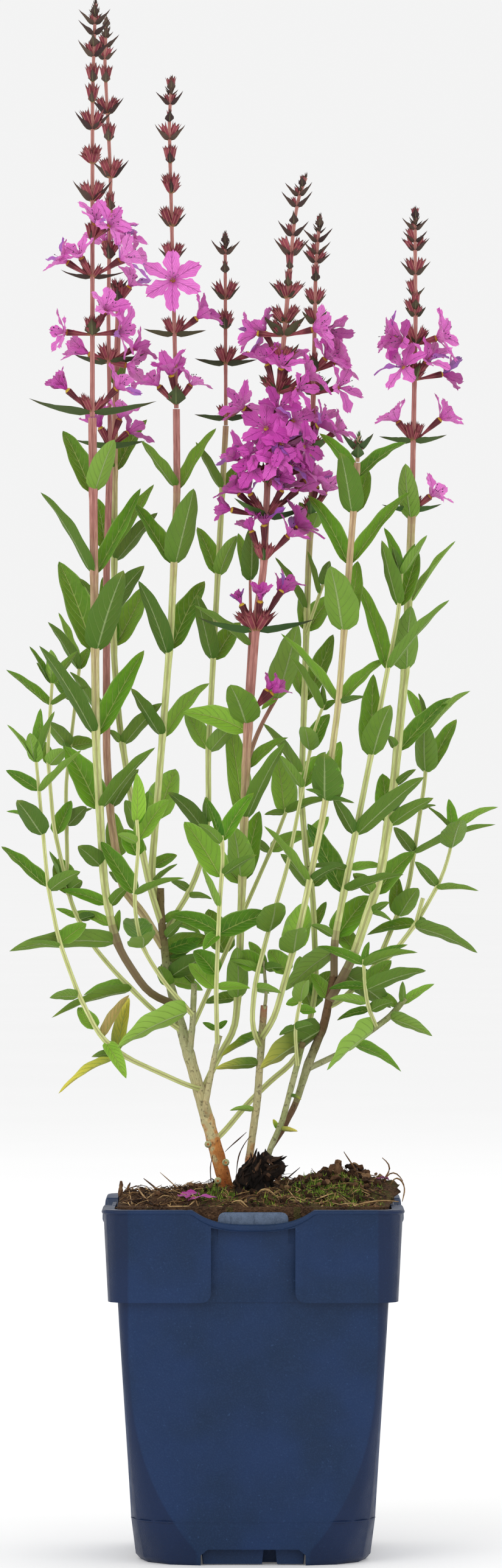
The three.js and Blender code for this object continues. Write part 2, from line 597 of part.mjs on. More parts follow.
    path: [
      [429, 1722, 3], [418, 1700, -3], [413, 1680, -5], [416, 1650, -6], [420, 1610, -7], [435, 1545, -9],
      [445, 1515, -10], [457, 1480, -10], [472, 1426, -10], [481, 1372, -10], [492, 1318, -9], [508, 1233, -8],
      [517, 1195, -8], [526, 1167, -8], [536, 1148, -8],
    ],
    widths: [3.8, 2],
    leaves: [
      [1164, 480, 1073, 12, 1], [1232, 502, 1192, 30, 2], [1230, 541, 1170, 28, -1],
      [1292, 535, 1232, 22, -1], [1294, 452, 1242, 14, 1], [1626, 456, 1648, 14, -1],
      [1622, 462, 1632, 16, 1],
    ],
  },
  stem_v: {
    on: "right_low",
    path: [
      [619, 1688, 9], [612, 1668, 1], [603, 1650, -4], [598, 1620, -9], [597, 1590, -13], [598, 1577, -14],
    ],
    widths: [3, 2.2],
    leaves: [
      [1582, 522, 1557, 16, -1], [1582, 670, 1553, 14, -1], [1586, 687, 1562, 16, 1],
      [1621, 545, 1625, 14, -1], [1620, 643, 1579, 28, -1], [1625, 702, 1590, 26, 1],
      [1660, 553, 1676, 14, -1], [1660, 646, 1646, 20, 1], [1648, 542, 1641, 16, 1],
    ],
  },
  stem_w: {
    on: "right_stub",
    path: [[489, 1750, -5], [484, 1720, -10], [484, 1690, -12], [487, 1665, -14], [495, 1638, -15]],
    widths: [2.8, 2.2],
    leaves: [
      [1645, 503, 1607, 26, 2], [1645, 470, 1650, 18, -1], [1660, 520, 1662, 18, -1],
      [1690, 515, 1682, 18, 1], [1690, 458, 1700, 16, 1],
    ],
  },
};

const COLOURS = {
  pot: "#2b3a58",
  soil: "#3a2b20",
  stump: "#161412",
  bark: "#b6a06a",
  leaf: "#5b8a3a",
  spike: "#b84a9c",
};

// Geometry helpers

function viewPoint([column, row, depth]) {
  const spread = (VIEW_DISTANCE + depth) / VIEW_DISTANCE;
  const [middleColumn, middleRow] = VIEW_MIDDLE;
  const x = middleColumn - VIEW_POT_COLUMN + (column - middleColumn) * spread;
  const z = VIEW_GROUND_ROW - middleRow - (row - middleRow) * spread;
  return new THREE.Vector3(x * VIEW_STEP, depth, z * VIEW_STEP);
}

function noise(seed) {
  const wave = Math.sin(seed * 12.9898) * 43758.5453;
  return wave - Math.floor(wave);
}

function lerp(from, to, share) {
  return from + (to - from) * share;
}

function along(start, direction, length) {
  return start.clone().addScaledVector(direction, length);
}

// A closed surface from points and triangles, shifted by an offset, as a solid facing outwards
function solidOf({ points, faces }, offset = [0, 0, 0]) {
  const vertProperties = new Float32Array(points.length * 3);
  points.forEach((p, i) => vertProperties.set([p.x + offset[0], p.y + offset[1], p.z + offset[2]], i * 3));
  let volume = 0;
  for (const [a, b, c] of faces) volume += points[a].dot(points[b].clone().cross(points[c]));
  const triVerts = new Uint32Array(faces.length * 3);
  faces.forEach(([a, b, c], i) => triVerts.set(volume < 0 ? [a, c, b] : [a, b, c], i * 3));
  return new wasm.Manifold(new wasm.Mesh({ numProp: 3, vertProperties, triVerts }));
}

// A skin over rings of equally many points, closed at both ends from the first point of the ring
function loft(rings) {
  const count = rings[0].length;
  const faces = [];
  for (let ring = 0; ring + 1 < rings.length; ring++) {
    for (let k = 0; k < count; k++) {
      const a = ring * count + k;
      const b = ring * count + ((k + 1) % count);
      faces.push([a, b, b + count], [a, b + count, a + count]);
    }
  }
  const last = (rings.length - 1) * count;
  for (let k = 1; k + 1 < count; k++) faces.push([0, k + 1, k], [last, last + k, last + k + 1]);
  return { points: rings.flat(), faces };
}

// A stem with flat sides, one of them towards the front
function tube(path, radii, sides) {
  const rings = path.map((point, i) => {
    const before = path[Math.max(i - 1, 0)];
    const after = path[Math.min(i + 1, path.length - 1)];
    const tangent = after.clone().sub(before).normalize();
    const deep = new THREE.Vector3(0, 1, 0);
    deep.addScaledVector(tangent, -tangent.y).normalize();
    const wide = tangent.clone().cross(deep);
    const corner = radii[i] / Math.cos(Math.PI / sides);
    return Array.from({ length: sides }, (_, k) => {
      const angle = ((k + 0.5) * 2 * Math.PI) / sides;
      return along(along(point, wide, corner * Math.cos(angle)), deep, corner * Math.sin(angle));
    });
  });
  return loft(rings);
}

// The level direction across a blade that runs from a base to a tip
function levelSide(base, tip) {
  const side = new THREE.Vector3(tip.y - base.y, base.x - tip.x, 0);
  if (side.length() < 0.02 * base.distanceTo(tip)) side.set(1, 0, 0);
  return side.normalize();
}

// A folded, arched blade from a buried base point to its tip, keeled along its underside and
// rolled about its length
function blade(base, tip, { width, stations, keel, arch, roll }) {
  const level = levelSide(base, tip);
  const length = base.distanceTo(tip);
  const bend = base.clone().add(tip).multiplyScalar(0.5);
  bend.z += arch * length;
  const curve = new THREE.QuadraticBezierCurve3(base, bend, tip);
  const points = [base];
  for (const [place, share] of stations) {
    const middle = curve.getPoint(place);
    const upright = level.clone().cross(curve.getTangent(place)).normalize();
    const side = level.clone().multiplyScalar(Math.cos(roll)).addScaledVector(upright, Math.sin(roll));
    const normal = upright.multiplyScalar(Math.cos(roll)).addScaledVector(level, -Math.sin(roll));
    const half = (width * share) / 2;
    const depth = Math.max(keel, LEAF_FOLD * width * share);
    points.push(along(along(middle, side, half), normal, depth / 2));
    points.push(along(along(middle, side, -half), normal, depth / 2));
    points.push(along(middle, normal, -depth / 2));
  }
  points.push(tip);
  const last = points.length - 1;
  const faces = [];
  for (let k = 0; k < 3; k++) {
    const next = (k + 1) % 3;
    faces.push([0, 1 + next, 1 + k], [last, last - 3 + k, last - 3 + next]);
    for (let s = 0; s + 1 < stations.length; s++) {
      const a = 1 + 3 * s + k;
      const b = 1 + 3 * s + next;
      faces.push([a, b, b + 3], [a, b + 3, a + 3]);
    }
  }
  return { points, faces };
}

// Two directions square to an axis
function across(axis) {
  const first = new THREE.Vector3(0, 0, 1).cross(axis);
  if (first.length() < 0.1) first.set(1, 0, 0);
  first.normalize();
  return [first, axis.clone().cross(first)];
}

// A calyx: a cone from its foot up to three teeth round a sunken middle
function calyx(foot, mouth, roll) {
  const axis = mouth.clone().sub(foot);
  const length = axis.length();
  axis.normalize();
  const [u, v] = across(axis);
  const points = [foot, along(mouth, axis, -CALYX_DEPTH * length)];
  for (let k = 0; k < CALYX_TEETH; k++) {
    const angle = roll + (k * 2 * Math.PI) / CALYX_TEETH;
    const out = along(mouth, u, CALYX_RADIUS * length * Math.cos(angle));
    points.push(along(out, v, CALYX_RADIUS * length * Math.sin(angle)));
  }
  const faces = [];
  for (let k = 0; k < CALYX_TEETH; k++) {
    const next = 2 + ((k + 1) % CALYX_TEETH);
    faces.push([0, next, 2 + k], [1, 2 + k, next]);
  }
  return { points, faces };
}

// A flower on its own calyx, with blunt petals that widen outwards and spread by an angle from
// the axis, each raised along its middle
function bloom(foot, mouth, petalLength, spread, petals, seed) {
  const axis = mouth.clone().sub(foot).normalize();
  const [u, v] = across(axis);
  const outwards = (angle) => u.clone().multiplyScalar(Math.cos(angle)).addScaledVector(v, Math.sin(angle));
  const step = (2 * Math.PI) / petals;
  const roll = 2 * Math.PI * noise(seed);
  const points = [foot, along(mouth, axis, -0.9)];
  for (let k = 0; k < petals; k++) {
    points.push(along(mouth, outwards(roll + (k + 0.5) * step), THROAT_RADIUS));
  }
  const faces = [];
  for (let k = 0; k < petals; k++) {
    const out = outwards(roll + k * step);
    const aslant = THREE.MathUtils.degToRad(spread * (0.88 + 0.24 * noise(seed + k + 0.3)));
    const lengthwise = axis.clone().multiplyScalar(Math.cos(aslant)).addScaledVector(out, Math.sin(aslant));
    const upwards = axis.clone().multiplyScalar(Math.sin(aslant)).addScaledVector(out, -Math.cos(aslant));
    const sideways = axis.clone().cross(out);
    const length = petalLength * (0.86 + 0.22 * noise(seed + k + 0.7));
    const half = (PETAL_WIDTH * petalLength) / 2;
    const slope = 0.12 * length * (noise(seed + k + 0.5) - 0.5);
    const first = points.length;
    points.push(along(along(mouth, lengthwise, 0.9 * length + slope), sideways, -half));
    points.push(along(along(mouth, lengthwise, 0.9 * length - slope), sideways, half));
    points.push(along(along(mouth, lengthwise, 0.55 * length), upwards, PETAL_THICKNESS));
    const a = 2 + ((k + petals - 1) % petals);
    const b = 2 + k;
    const [left, right, rib] = [first, first + 1, first + 2];
    faces.push([1, a, rib], [a, left, rib], [left, right, rib], [right, b, rib], [b, 1, rib]);
    faces.push([left, a, b], [left, b, right], [0, b, a]);
  }
  return { points, faces };
}

// Joining, keeping one body, and closing up its slivers

function whole(solid) {
  const bodies = solid.decompose().filter((body) => body.volume() > 0);
  const largest = bodies.reduce((most, body) => (body.volume() > most.volume() ? body : most));
  return largest.asOriginal().simplify(LEAST_EDGE);
}

function fuse(solids) {
  let round = solids;
  while (round.length > 1) {
    const next = [];
    for (let i = 0; i < round.length; i += 2) {
      next.push(i + 1 < round.length ? round[i].add(round[i + 1]) : round[i]);
    }
    round = next;
  }
  return round[0];
}

function meshOf(name, solid, colour, roughness) {
  const body = whole(solid).getMesh();
  const count = body.vertProperties.length / body.numProp;
  const position = new Float32Array(count * 3);
  for (let i = 0; i < count; i++) {
    position.set(body.vertProperties.subarray(i * body.numProp, i * body.numProp + 3), i * 3);
  }
  const geometry = new THREE.BufferGeometry();
  geometry.setAttribute("position", new THREE.BufferAttribute(position, 3));
  geometry.setIndex(new THREE.BufferAttribute(body.triVerts, 1));
  geometry.computeVertexNormals();
  const mesh = new THREE.Mesh(geometry, new THREE.MeshStandardMaterial({ color: colour, roughness, metalness: 0 }));
  mesh.name = name;
  return mesh;
}

// Pot

function roundedSquare(half, radius, height, stops, steps) {
  const ring = [];
  for (let quarter = 0; quarter < 4; quarter++) {
    const turn = (quarter * Math.PI) / 2;
    const place = (x, y) => {
      const level = typeof height === "function" ? height(Math.abs(x) < half - 0.01 && y < 0 ? x : half) : height;
      return new THREE.Vector3(x, y, level).applyAxisAngle(new THREE.Vector3(0, 0, 1), turn);
    };
    for (const stop of stops.slice().reverse()) ring.push(place(-stop, -half));
    if (stops.length) ring.push(place(0, -half));
    for (const stop of stops) ring.push(place(stop, -half));
    for (let k = 0; k <= steps; k++) {
      const angle = -Math.PI / 2 + (k * Math.PI) / 2 / steps;
      const level = half - radius;
      ring.push(place(level + radius * Math.cos(angle), -level + radius * Math.sin(angle)));
    }
  }
  return ring;
}

function squareLoft(rows, steps) {
  return solidOf(loft(rows.map(([height, half, radius]) => roundedSquare(half, radius, height, [], steps))));
}

// The rim dips in the middle of each side, where the label tab stands up behind it
function rimHeight(below) {
  return (place) => {
    const share = Math.min(Math.abs(place) / LIP_DIP_HALF, 1);
    return POT_HEIGHT - below - LIP_DIP * (1 - share ** 3);
  };
}

// What the dip takes out of the rim, through the wall: all above the curve
function dipShape() {
  const shape = new THREE.Shape();
  const height = rimHeight(DIP_DEPTH);
  const places = [...RIM_STOPS].reverse().map((place) => -place).concat(0, RIM_STOPS);
  shape.moveTo(-LIP_DIP_HALF, POT_HEIGHT + 5);
  for (const place of places) shape.lineTo(place, height(place));
  shape.lineTo(LIP_DIP_HALF, POT_HEIGHT + 5);
  return shape;
}

function collar() {
  const [bottom, shoulder] = COLLAR_OUTSIDE;
  const rings = [
    roundedSquare(bottom[1], bottom[2], bottom[0], RIM_STOPS, 3),
    roundedSquare(shoulder[1], shoulder[2], rimHeight(LIP_HEIGHT), RIM_STOPS, 3),
    roundedSquare(RIM_HALF, RIM_CORNER, rimHeight(0.6 * LIP_HEIGHT), RIM_STOPS, 3),
    roundedSquare(RIM_HALF - 0.6, RIM_CORNER - 0.6, rimHeight(0), RIM_STOPS, 3),
  ];
  return solidOf(loft(rings));
}

// The recess between two corner wings of the collar, with rounded lower corners
function collarWindow() {
  const half = COLLAR_WINDOW_WIDTH / 2;
  const round = COLLAR_WINDOW_ROUND;
  const top = POT_HEIGHT - LIP_DIP - LIP_HEIGHT - 0.4;
  const shape = new THREE.Shape();
  shape.moveTo(-half - round, COLLAR_BOTTOM - 5);
  shape.lineTo(half + round, COLLAR_BOTTOM - 5);
  shape.lineTo(half + round, COLLAR_BOTTOM);
  shape.absarc(half + round, COLLAR_BOTTOM + round, round, -Math.PI / 2, -Math.PI, true);
  shape.lineTo(half, top + 1.6);
  shape.lineTo(half / 2, top);
  shape.lineTo(-half / 2, top);
  shape.lineTo(-half, top + 1.6);
  shape.absarc(-half - round, COLLAR_BOTTOM + round, round, 0, -Math.PI / 2, true);
  return shape;
}

// A flat shape extruded outwards from a side of the pot, turned to that side
function sideSlab(shape, inner, outer, quarter, segments = 2) {
  const geometry = new THREE.ExtrudeGeometry(shape, {
    depth: outer - inner,
    bevelEnabled: false,
    curveSegments: segments,
  });
  geometry.rotateX(Math.PI / 2);
  geometry.translate(0, -inner, 0);
  geometry.rotateZ((quarter * Math.PI) / 2);
  return solidFromGeometry(geometry);
}

function solidFromGeometry(geometry) {
  const position = geometry.getAttribute("position");
  const index = geometry.index ? [...geometry.index.array] : Array.from({ length: position.count }, (_, i) => i);
  const seen = new Map();
  const points = [];
  const corners = index.map((i) => {
    const p = new THREE.Vector3().fromBufferAttribute(position, i);
    const key = p.toArray().map((value) => Math.round(value * 1e4)).join();
    if (!seen.has(key)) {
      seen.set(key, points.length);
      points.push(p);
    }
    return seen.get(key);
  });
  const faces = [];
  for (let i = 0; i < corners.length; i += 3) {
    const face = corners.slice(i, i + 3);
    if (new Set(face).size === 3) faces.push(face);
  }
  return solidOf({ points, faces });
}

function box(width, depth, bottom, top, x = 0, y = 0) {
  const geometry = new THREE.BoxGeometry(width, depth, top - bottom);
  geometry.translate(x, y, (top + bottom) / 2);
  return solidFromGeometry(geometry);
}

function labelTab(quarter) {
  const { width, thickness, bottom, top } = LABEL_TAB;
  const shape = new THREE.Shape();
  const half = width / 2;
  shape.moveTo(-half, bottom);
  shape.lineTo(half, bottom);
  shape.lineTo(half, top - 3);
  shape.lineTo(half - 3, top);
  shape.lineTo(-half + 3, top);
  shape.lineTo(-half, top - 3);
  const inner = 59.6;
  return sideSlab(shape, inner, inner + thickness, quarter);
}

function footNotch(quarter) {
  const half = FOOT_NOTCH_WIDTH / 2;
  const shape = new THREE.Shape();
  shape.moveTo(-half, -1);
  shape.lineTo(half, -1);
  shape.lineTo(half, FOOT_HEIGHT - 3);
  shape.lineTo(half - 3, FOOT_HEIGHT - 0.5);
  shape.lineTo(-half + 3, FOOT_HEIGHT - 0.5);
  shape.lineTo(-half, FOOT_HEIGHT - 3);
  return sideSlab(shape, 36, 56, quarter);
}

function pot() {
  const hollow = squareLoft(COLLAR_HOLLOW, 3).subtract(squareLoft(COLLAR_WALL, 3));
  let wings = collar().subtract(hollow);
  for (let quarter = 0; quarter < 4; quarter++) {
    wings = wings.subtract(sideSlab(collarWindow(), RECESS_HALF, 70, quarter));
  }
  let body = squareLoft(BODY_OUTSIDE, 3).add(wings);
  const inside = squareLoft(BODY_INSIDE, 3);
  body = body.subtract(inside);
  for (let quarter = 0; quarter < 4; quarter++) body = body.subtract(sideSlab(dipShape(), 56, 70, quarter));
  for (let quarter = 0; quarter < 4; quarter++) body = body.add(labelTab(quarter));
  body = body.subtract(squareLoft([[-1, 42, 20], [FOOT_HEIGHT, 44, 20]], 3));
  for (let quarter = 0; quarter < 4; quarter++) body = body.subtract(footNotch(quarter));
  const { length, width, from_centre: far } = DRAIN_SLOT;
  for (const [x, y] of [[far, 0], [-far, 0]]) body = body.subtract(box(width, length, 0, POT_FLOOR + 5, x, y));
  for (const [x, y] of [[0, far], [0, -far]]) body = body.subtract(box(length, width, 0, POT_FLOOR + 5, x, y));
  return body;
}

// Soil: fills the pot with a bumpy top that stands a little above the rim

function soilHeight(x, y) {
  const share = Math.min(Math.hypot(x, y) / 62, 1);
  const ripple = 1.3 * Math.sin(0.21 * x + 1.1) * Math.cos(0.17 * y) + 0.9 * Math.sin(0.43 * x - 0.31 * y);
  const mound = 5.5 * Math.exp(-(((x - 38) / 26) ** 2 + ((y - 12) / 30) ** 2));
  return SOIL_EDGE + (SOIL_CROWN - SOIL_EDGE) * (1 - share ** 2) + mound + ripple * (1 - 0.5 * share);
}

function soil(feet) {
  const clear = SEAT_GAP + 0.1;
  const rows = [0, 2, 3, 5].map((i) => BODY_INSIDE[i]);
  rows.forEach(([height, half, radius], i) => (rows[i] = [height, half - clear, 1.1 * radius]));
  rows[0][0] = POT_FLOOR + SEAT_GAP;
  const rings = rows.map(([height, half, radius]) => roundedSquare(half, radius, height, [26], 2));
  const edge = roundedSquare(58.4, 6, 0, [26], 2);
  rings.push(edge.map((p) => new THREE.Vector3(p.x, p.y, 149)));
  for (const share of SOIL_RINGS) {
    rings.push(edge.map((p) => {
      const [x, y] = [p.x * share, p.y * share];
      return new THREE.Vector3(x, y, soilHeight(x, y));
    }));
  }
  const shape = loft(rings);
  let ground = solidOf(shape);
  for (const foot of feet) ground = ground.subtract(foot);
  return ground;
}

// Old stump: a rotten crown of black wood with two arms round a hole

function stumpBody(grow) {
  const trunk = [
    [422, 1996, 30, -13],
    [418, 1972, 34, -13],
    [416, 1945, 31, -12.5],
    [420, 1920, 24, -12],
    [424, 1904, 12, -12],
  ];
  const rings = trunk.map(([column, row, half, depth], level) => {
    const middle = viewPoint([column, row, depth]);
    return Array.from({ length: 9 }, (_, k) => {
      const angle = (k * 2 * Math.PI) / 9;
      const bump = 0.86 + 0.3 * noise(7 * level + k + 0.5);
      const wide = half * VIEW_STEP * bump + grow;
      const deep = Math.min(0.8 * half, 22) * VIEW_STEP * bump + grow;
      const rise = 1.4 * (noise(3 * level + k + 0.1) - 0.5) - (level ? 0 : grow);
      return new THREE.Vector3(middle.x + wide * Math.cos(angle), middle.y + deep * Math.sin(angle), middle.z + rise);
    });
  });
  return solidOf(loft(rings));
}

function stump(grow) {
  const arm = (path, widths) => solidOf(tube(path.map(viewPoint), widths.map((w) => w * VIEW_STEP + grow), 5));
  const upper = arm([[424, 1906, -12], [440, 1900, -13], [456, 1908, -15], [471, 1916, -16]], [8, 7, 6, 3]);
  const lower = arm([[426, 1934, -13], [448, 1930, -16], [462, 1924, -17], [470, 1914, -16]], [9, 7, 6, 4]);
  const root = arm([[400, 1950, -14], [386, 1972, -18], [380, 1990, -20]], [9, 7, 5]);
  return fuse([stumpBody(grow), upper, lower, root]);
}

// Stems

function axisAt(path, row) {
  for (let i = 0; i + 1 < path.length; i++) {
    const [lower, upper] = [path[i], path[i + 1]];
    if (row <= lower[1] && row >= upper[1]) {
      const share = (lower[1] - row) / (lower[1] - upper[1]);
      return lower.map((value, k) => lerp(value, upper[k], share));
    }
  }
  return row > path[0][1] ? path[0] : path[path.length - 1];
}

// The places of a path without those that lie within the slack of the straight line between
// the kept ones beside them
function straightened(path) {
  const offLine = (from, to, i) => {
    const [start, end] = [path[from], path[to]];
    const share = (start[1] - path[i][1]) / (start[1] - end[1] || 1);
    return Math.hypot(...[0, 2].map((k) => path[i][k] - start[k] - share * (end[k] - start[k])));
  };
  const fits = (from, to) => {
    for (let i = from + 1; i < to; i++) if (offLine(from, to, i) > PATH_SLACK) return false;
    return true;
  };
  const kept = [0];
  while (kept[kept.length - 1] < path.length - 1) {
    const from = kept[kept.length - 1];
    let to = from + 1;
    while (to + 1 < path.length && fits(from, to + 1)) to++;
    kept.push(to);
  }
  return kept;
}

// A run of stem: its places, and a half width at each, given one by one or even from foot to top
function runOf(path, widths) {
  const kept = straightened(path);
  const places = kept.map((i) => path[i]);
  if (widths.length === path.length) return { path: places, widths: kept.map((i) => widths[i]) };
  const [foot, top] = [places[0][1], places[places.length - 1][1]];
  return { path: places, widths: places.map(([, row]) => lerp(widths[0], widths[1], (foot - row) / (foot - top))) };
}

// A flowering stem is cut at the foot of its spike, which has a run of its own
function stalkOf(stem) {
  if (!stem.spike) return runOf(stem.path, stem.widths);
  const below = stem.path.filter((place) => place[1] > stem.spike + 4);
  return runOf([...below, axisAt(stem.path, stem.spike)], stem.widths.slice(0, 2));
}

function spikeOf(stem) {
  const foot = stem.spike - SEAT_GAP / VIEW_STEP;
  const above = stem.path.filter((place) => place[1] < foot - 4);
  return runOf([axisAt(stem.path, foot), ...above], stem.widths.slice(2));
}

function branchesOf(stem) {
  return (stem.branches ?? []).map(({ path, widths }) => runOf(path, widths));
}

function runSolid(run, sides, grow = 0) {
  return solidOf(tube(run.path.map(viewPoint), run.widths.map((w) => w * VIEW_STEP + grow), sides));
}

// Growth: leaves and florets, each turned from its first place until it is clear of other pieces

const placed = [];
const SHIFTS = [
  [0, 0, 0],
  [CLEARANCE, 0, 0],
  [-CLEARANCE, 0, 0],
  [0, CLEARANCE, 0],
  [0, -CLEARANCE, 0],
  [0, 0, CLEARANCE],
  [0, 0, -CLEARANCE],
];

function boundsOf(points) {
  return new THREE.Box3().setFromPoints(points);
}

function keep(node, solid, points) {
  placed.push({ node, solid, bounds: boundsOf(points) });
}

function isClearOfOthers(node, shape) {
  const bounds = boundsOf(shape.points).expandByScalar(CLEARANCE);
  const near = placed.filter((other) => other.node !== node && other.bounds.intersectsBox(bounds));
  if (!near.length) return true;
  for (const shift of SHIFTS) {
    const solid = solidOf(shape, shift);
    for (const other of near) {
      if (!solid.intersect(other.solid).isEmpty()) return false;
    }
  }
  return true;
}

// Clear of the other pieces of its own node, but for the zone round its own foot
function isClearOfOwn(node, base, shape, zone) {
  const bounds = boundsOf(shape.points);
  const solid = solidOf(shape);
  for (const other of placed) {
    if (other.node !== node || !other.bounds.intersectsBox(bounds)) continue;
    const common = solid.intersect(other.solid);
    if (common.isEmpty()) continue;
    const { min, max } = common.boundingBox();
    const reach = [0, 1, 2].map((k) => Math.max(base.getComponent(k) - min[k], max[k] - base.getComponent(k)));
    if (Math.hypot(...reach) > zone) return false;
  }
  return true;
}

function turned(base, target, [yaw, pitch, share]) {
  const run = target.clone().sub(base).multiplyScalar(share);
  const flat = Math.hypot(run.x, run.y);
  const azimuth = Math.atan2(run.y, run.x) + THREE.MathUtils.degToRad(yaw);
  const rise = Math.atan2(run.z, flat) + THREE.MathUtils.degToRad(pitch);
  const length = run.length();
  const level = length * Math.cos(rise);
  return new THREE.Vector3(
    base.x + level * Math.cos(azimuth),
    base.y + level * Math.sin(azimuth),
    base.z + length * Math.sin(rise),
  );
}

// The foot lies inside the stem, a little from its axis on the side of the piece
function grow(node, base, target, shapeFor, { offset, zone }) {
  for (const strict of [true, false]) {
    for (const turn of TURNS) {
      const end = turned(base, target, turn);
      const outwards = new THREE.Vector3(end.x - base.x, end.y - base.y, 0).normalize();
      const shape = shapeFor(along(base, outwards, offset), end, turn[2]);
      if (strict && !isClearOfOwn(node, base, shape, zone)) continue;
      if (!isClearOfOthers(node, shape)) continue;
      const solid = solidOf(shape);
      keep(node, solid, shape.points);
      return solid;
    }
  }
  return null;
}

// Where pieces at a row have their foot, as a distance from the axis, and how far round the axis
// they may run into each other
function seatOf({ path, widths }, row, share, zone) {
  let i = 0;
  while (i + 2 < path.length && path[i + 1][1] > row) i++;
  const part = THREE.MathUtils.clamp((path[i][1] - row) / (path[i][1] - path[i + 1][1]), 0, 1);
  return { offset: share * lerp(widths[i], widths[i + 1], part) * VIEW_STEP, zone };
}

// How far a leaf's tip leans out of the front view, from how wide it looks there
function leanOf(sideways, down, width, side) {
  const reach = Math.hypot(sideways, down);
  if (Math.abs(side) === 2) return (side / 2) * 105;
  const full = Math.max(1.1 * width, Math.min(NARROWEST_LEAF, 0.3 * reach));
  const lean = (Math.abs(sideways) * width) / Math.sqrt(Math.max(full * full - width * width, 1));
  const least = width >= 26 ? 0.35 : 0.12;
  return side * THREE.MathUtils.clamp(lean, least * reach, 0.6 * reach);
}

// How far a leaf rolls about its length to look as wide as it does in the front view, with its
// underside to the front for a positive side and its upper side for a negative one
function rollOf(base, tip, share, side) {
  const forward = tip.clone().sub(base).normalize();
  const level = levelSide(base, tip);
  const upright = level.clone().cross(forward);
  const seen = new THREE.Vector3(-forward.z, 0, forward.x).normalize();
  const phase = Math.atan2(upright.dot(seen), level.dot(seen));
  const open = Math.acos(Math.min(share, 1));
  let best = 0;
  let least = Infinity;
  for (const turn of [phase - open, phase + open, phase - open + Math.PI, phase + open + Math.PI]) {
    const roll = Math.atan2(Math.sin(turn), Math.cos(turn));
    const facing = upright.y * Math.cos(roll) - level.y * Math.sin(roll);
    const cost = Math.abs(roll) + (facing * side > 0 ? 0 : WRONG_SIDE);
    if (cost < least) [best, least] = [roll, cost];
  }
  return THREE.MathUtils.clamp(best, -MOST_ROLL, MOST_ROLL);
}

function growLeaf(node, run, [row, tipColumn, tipRow, width, side]) {
  const from = axisAt(run.path, Math.max(row, run.path[run.path.length - 1][1] + LEAST_FROM_TOP));
  const [dx, dy] = [tipColumn - from[0], tipRow - from[1]];
  const reach = Math.hypot(dx, dy);
  const lean = leanOf(dx, dy, width, side) * VIEW_STEP;
  const full = Math.max(1.1 * width, Math.min(NARROWEST_LEAF, 0.3 * reach)) * VIEW_STEP;
  const long = reach < MIDDLE_LEAF ? MIDDLE_LEAF_STATIONS : LEAF_STATIONS;
  const stations = reach < SMALL_LEAF ? SMALL_LEAF_STATIONS : long;
  const tip = viewPoint([tipColumn, tipRow, from[2] - lean]);
  const roll = rollOf(viewPoint(from), tip, (width * VIEW_STEP) / full, side);
  const shapeFor = (foot, end, share) =>
    blade(foot, end, { width: full * share, stations, keel: LEAF_KEEL, arch: LEAF_ARCH, roll });
  const seat = seatOf(run, from[1], LEAF_FOOT, LEAF_ZONE);
  return grow(node, viewPoint(from), tip, shapeFor, seat);
}

function growFlower(node, run, [row, column, mouthRow, lean, petal, spread], seed) {
  const from = axisAt(run.path, row);
  const mouth = viewPoint([column, mouthRow, from[2] - lean * VIEW_STEP]);
  const petals = petal >= SIX_PETALS ? 6 : 5;
  const shapeFor = (foot, end, share) => bloom(foot, end, petal * share * VIEW_STEP, spread, petals, seed);
  const seat = seatOf(run, row, FLORET_FOOT, FLORET_ZONE);
  return grow(node, viewPoint(from), mouth, shapeFor, seat);
}

// One whorl: a pair of bracts, and calyces that fan out of their two axils
function growWhorl(node, run, [row, turn, calyces, calyxLength, bractLength], seed) {
  const base = viewPoint(axisAt(run.path, row));
  const seat = seatOf(run, row, FLORET_FOOT, FLORET_ZONE);
  const made = [];
  const towards = (azimuth, rise, length) => {
    const [a, r] = [THREE.MathUtils.degToRad(azimuth), THREE.MathUtils.degToRad(rise)];
    return new THREE.Vector3(Math.cos(r) * Math.cos(a), Math.cos(r) * Math.sin(a), Math.sin(r))
      .multiplyScalar(length * VIEW_STEP)
      .add(base);
  };
  for (let k = 0; k < calyces; k++) {
    const axil = k % 2;
    const inAxil = Math.ceil((calyces - axil) / 2);
    const fan = (Math.floor(k / 2) - (inAxil - 1) / 2) * Math.min(56, 170 / inAxil);
    const azimuth = 180 + 90 * turn + 180 * axil + fan + 8 * (noise(seed + k) - 0.5);
    const rise = 72 - 0.6 * calyxLength + 10 * (noise(seed + k + 0.4) - 0.5);
    const mouth = towards(azimuth, rise, calyxLength);
    const roll = 2 * Math.PI * noise(seed + k + 0.6);
    made.push(grow(node, base, mouth, (foot, end) => calyx(foot, end, roll), seat));
  }
  for (let k = 0; k < 2 && bractLength; k++) {
    const azimuth = 180 + 90 * turn + 180 * k + 10 * (noise(seed + k + 0.8) - 0.5);
    const rise = bractLength < 50 ? 30 : 12;
    const width = (bractLength < 50 ? 0.56 : 0.4) * Math.min(bractLength, 70) * VIEW_STEP;
    const tip = towards(azimuth, rise, bractLength);
    const form = { width, stations: BRACT_STATIONS, keel: BRACT_KEEL, arch: -0.08, roll: 0 };
    const shapeFor = (foot, end) => blade(foot, end, form);
    made.push(grow(node, base, tip, shapeFor, seat));
  }
  return made;
}

// The whole plant, node by node: stems first, then flowers, whorls and leaves

function seatsFor(stem) {
  if (!stem.on) return [];
  const parent = STEMS[stem.on];
  const seats = [runSolid(stalkOf(parent), parent.sides ?? 4, SEAT_GAP)];
  for (const branch of branchesOf(parent)) seats.push(runSolid(branch, 4, SEAT_GAP));
  return seats;
}

function keepRun(node, solid, runs) {
  keep(node, solid, runs.flatMap((run) => run.path).map(viewPoint));
  placed[placed.length - 1].bounds.expandByScalar(STEM_MARGIN);
}

function spikeName(name) {
  return name.replace("stem", "spike");
}

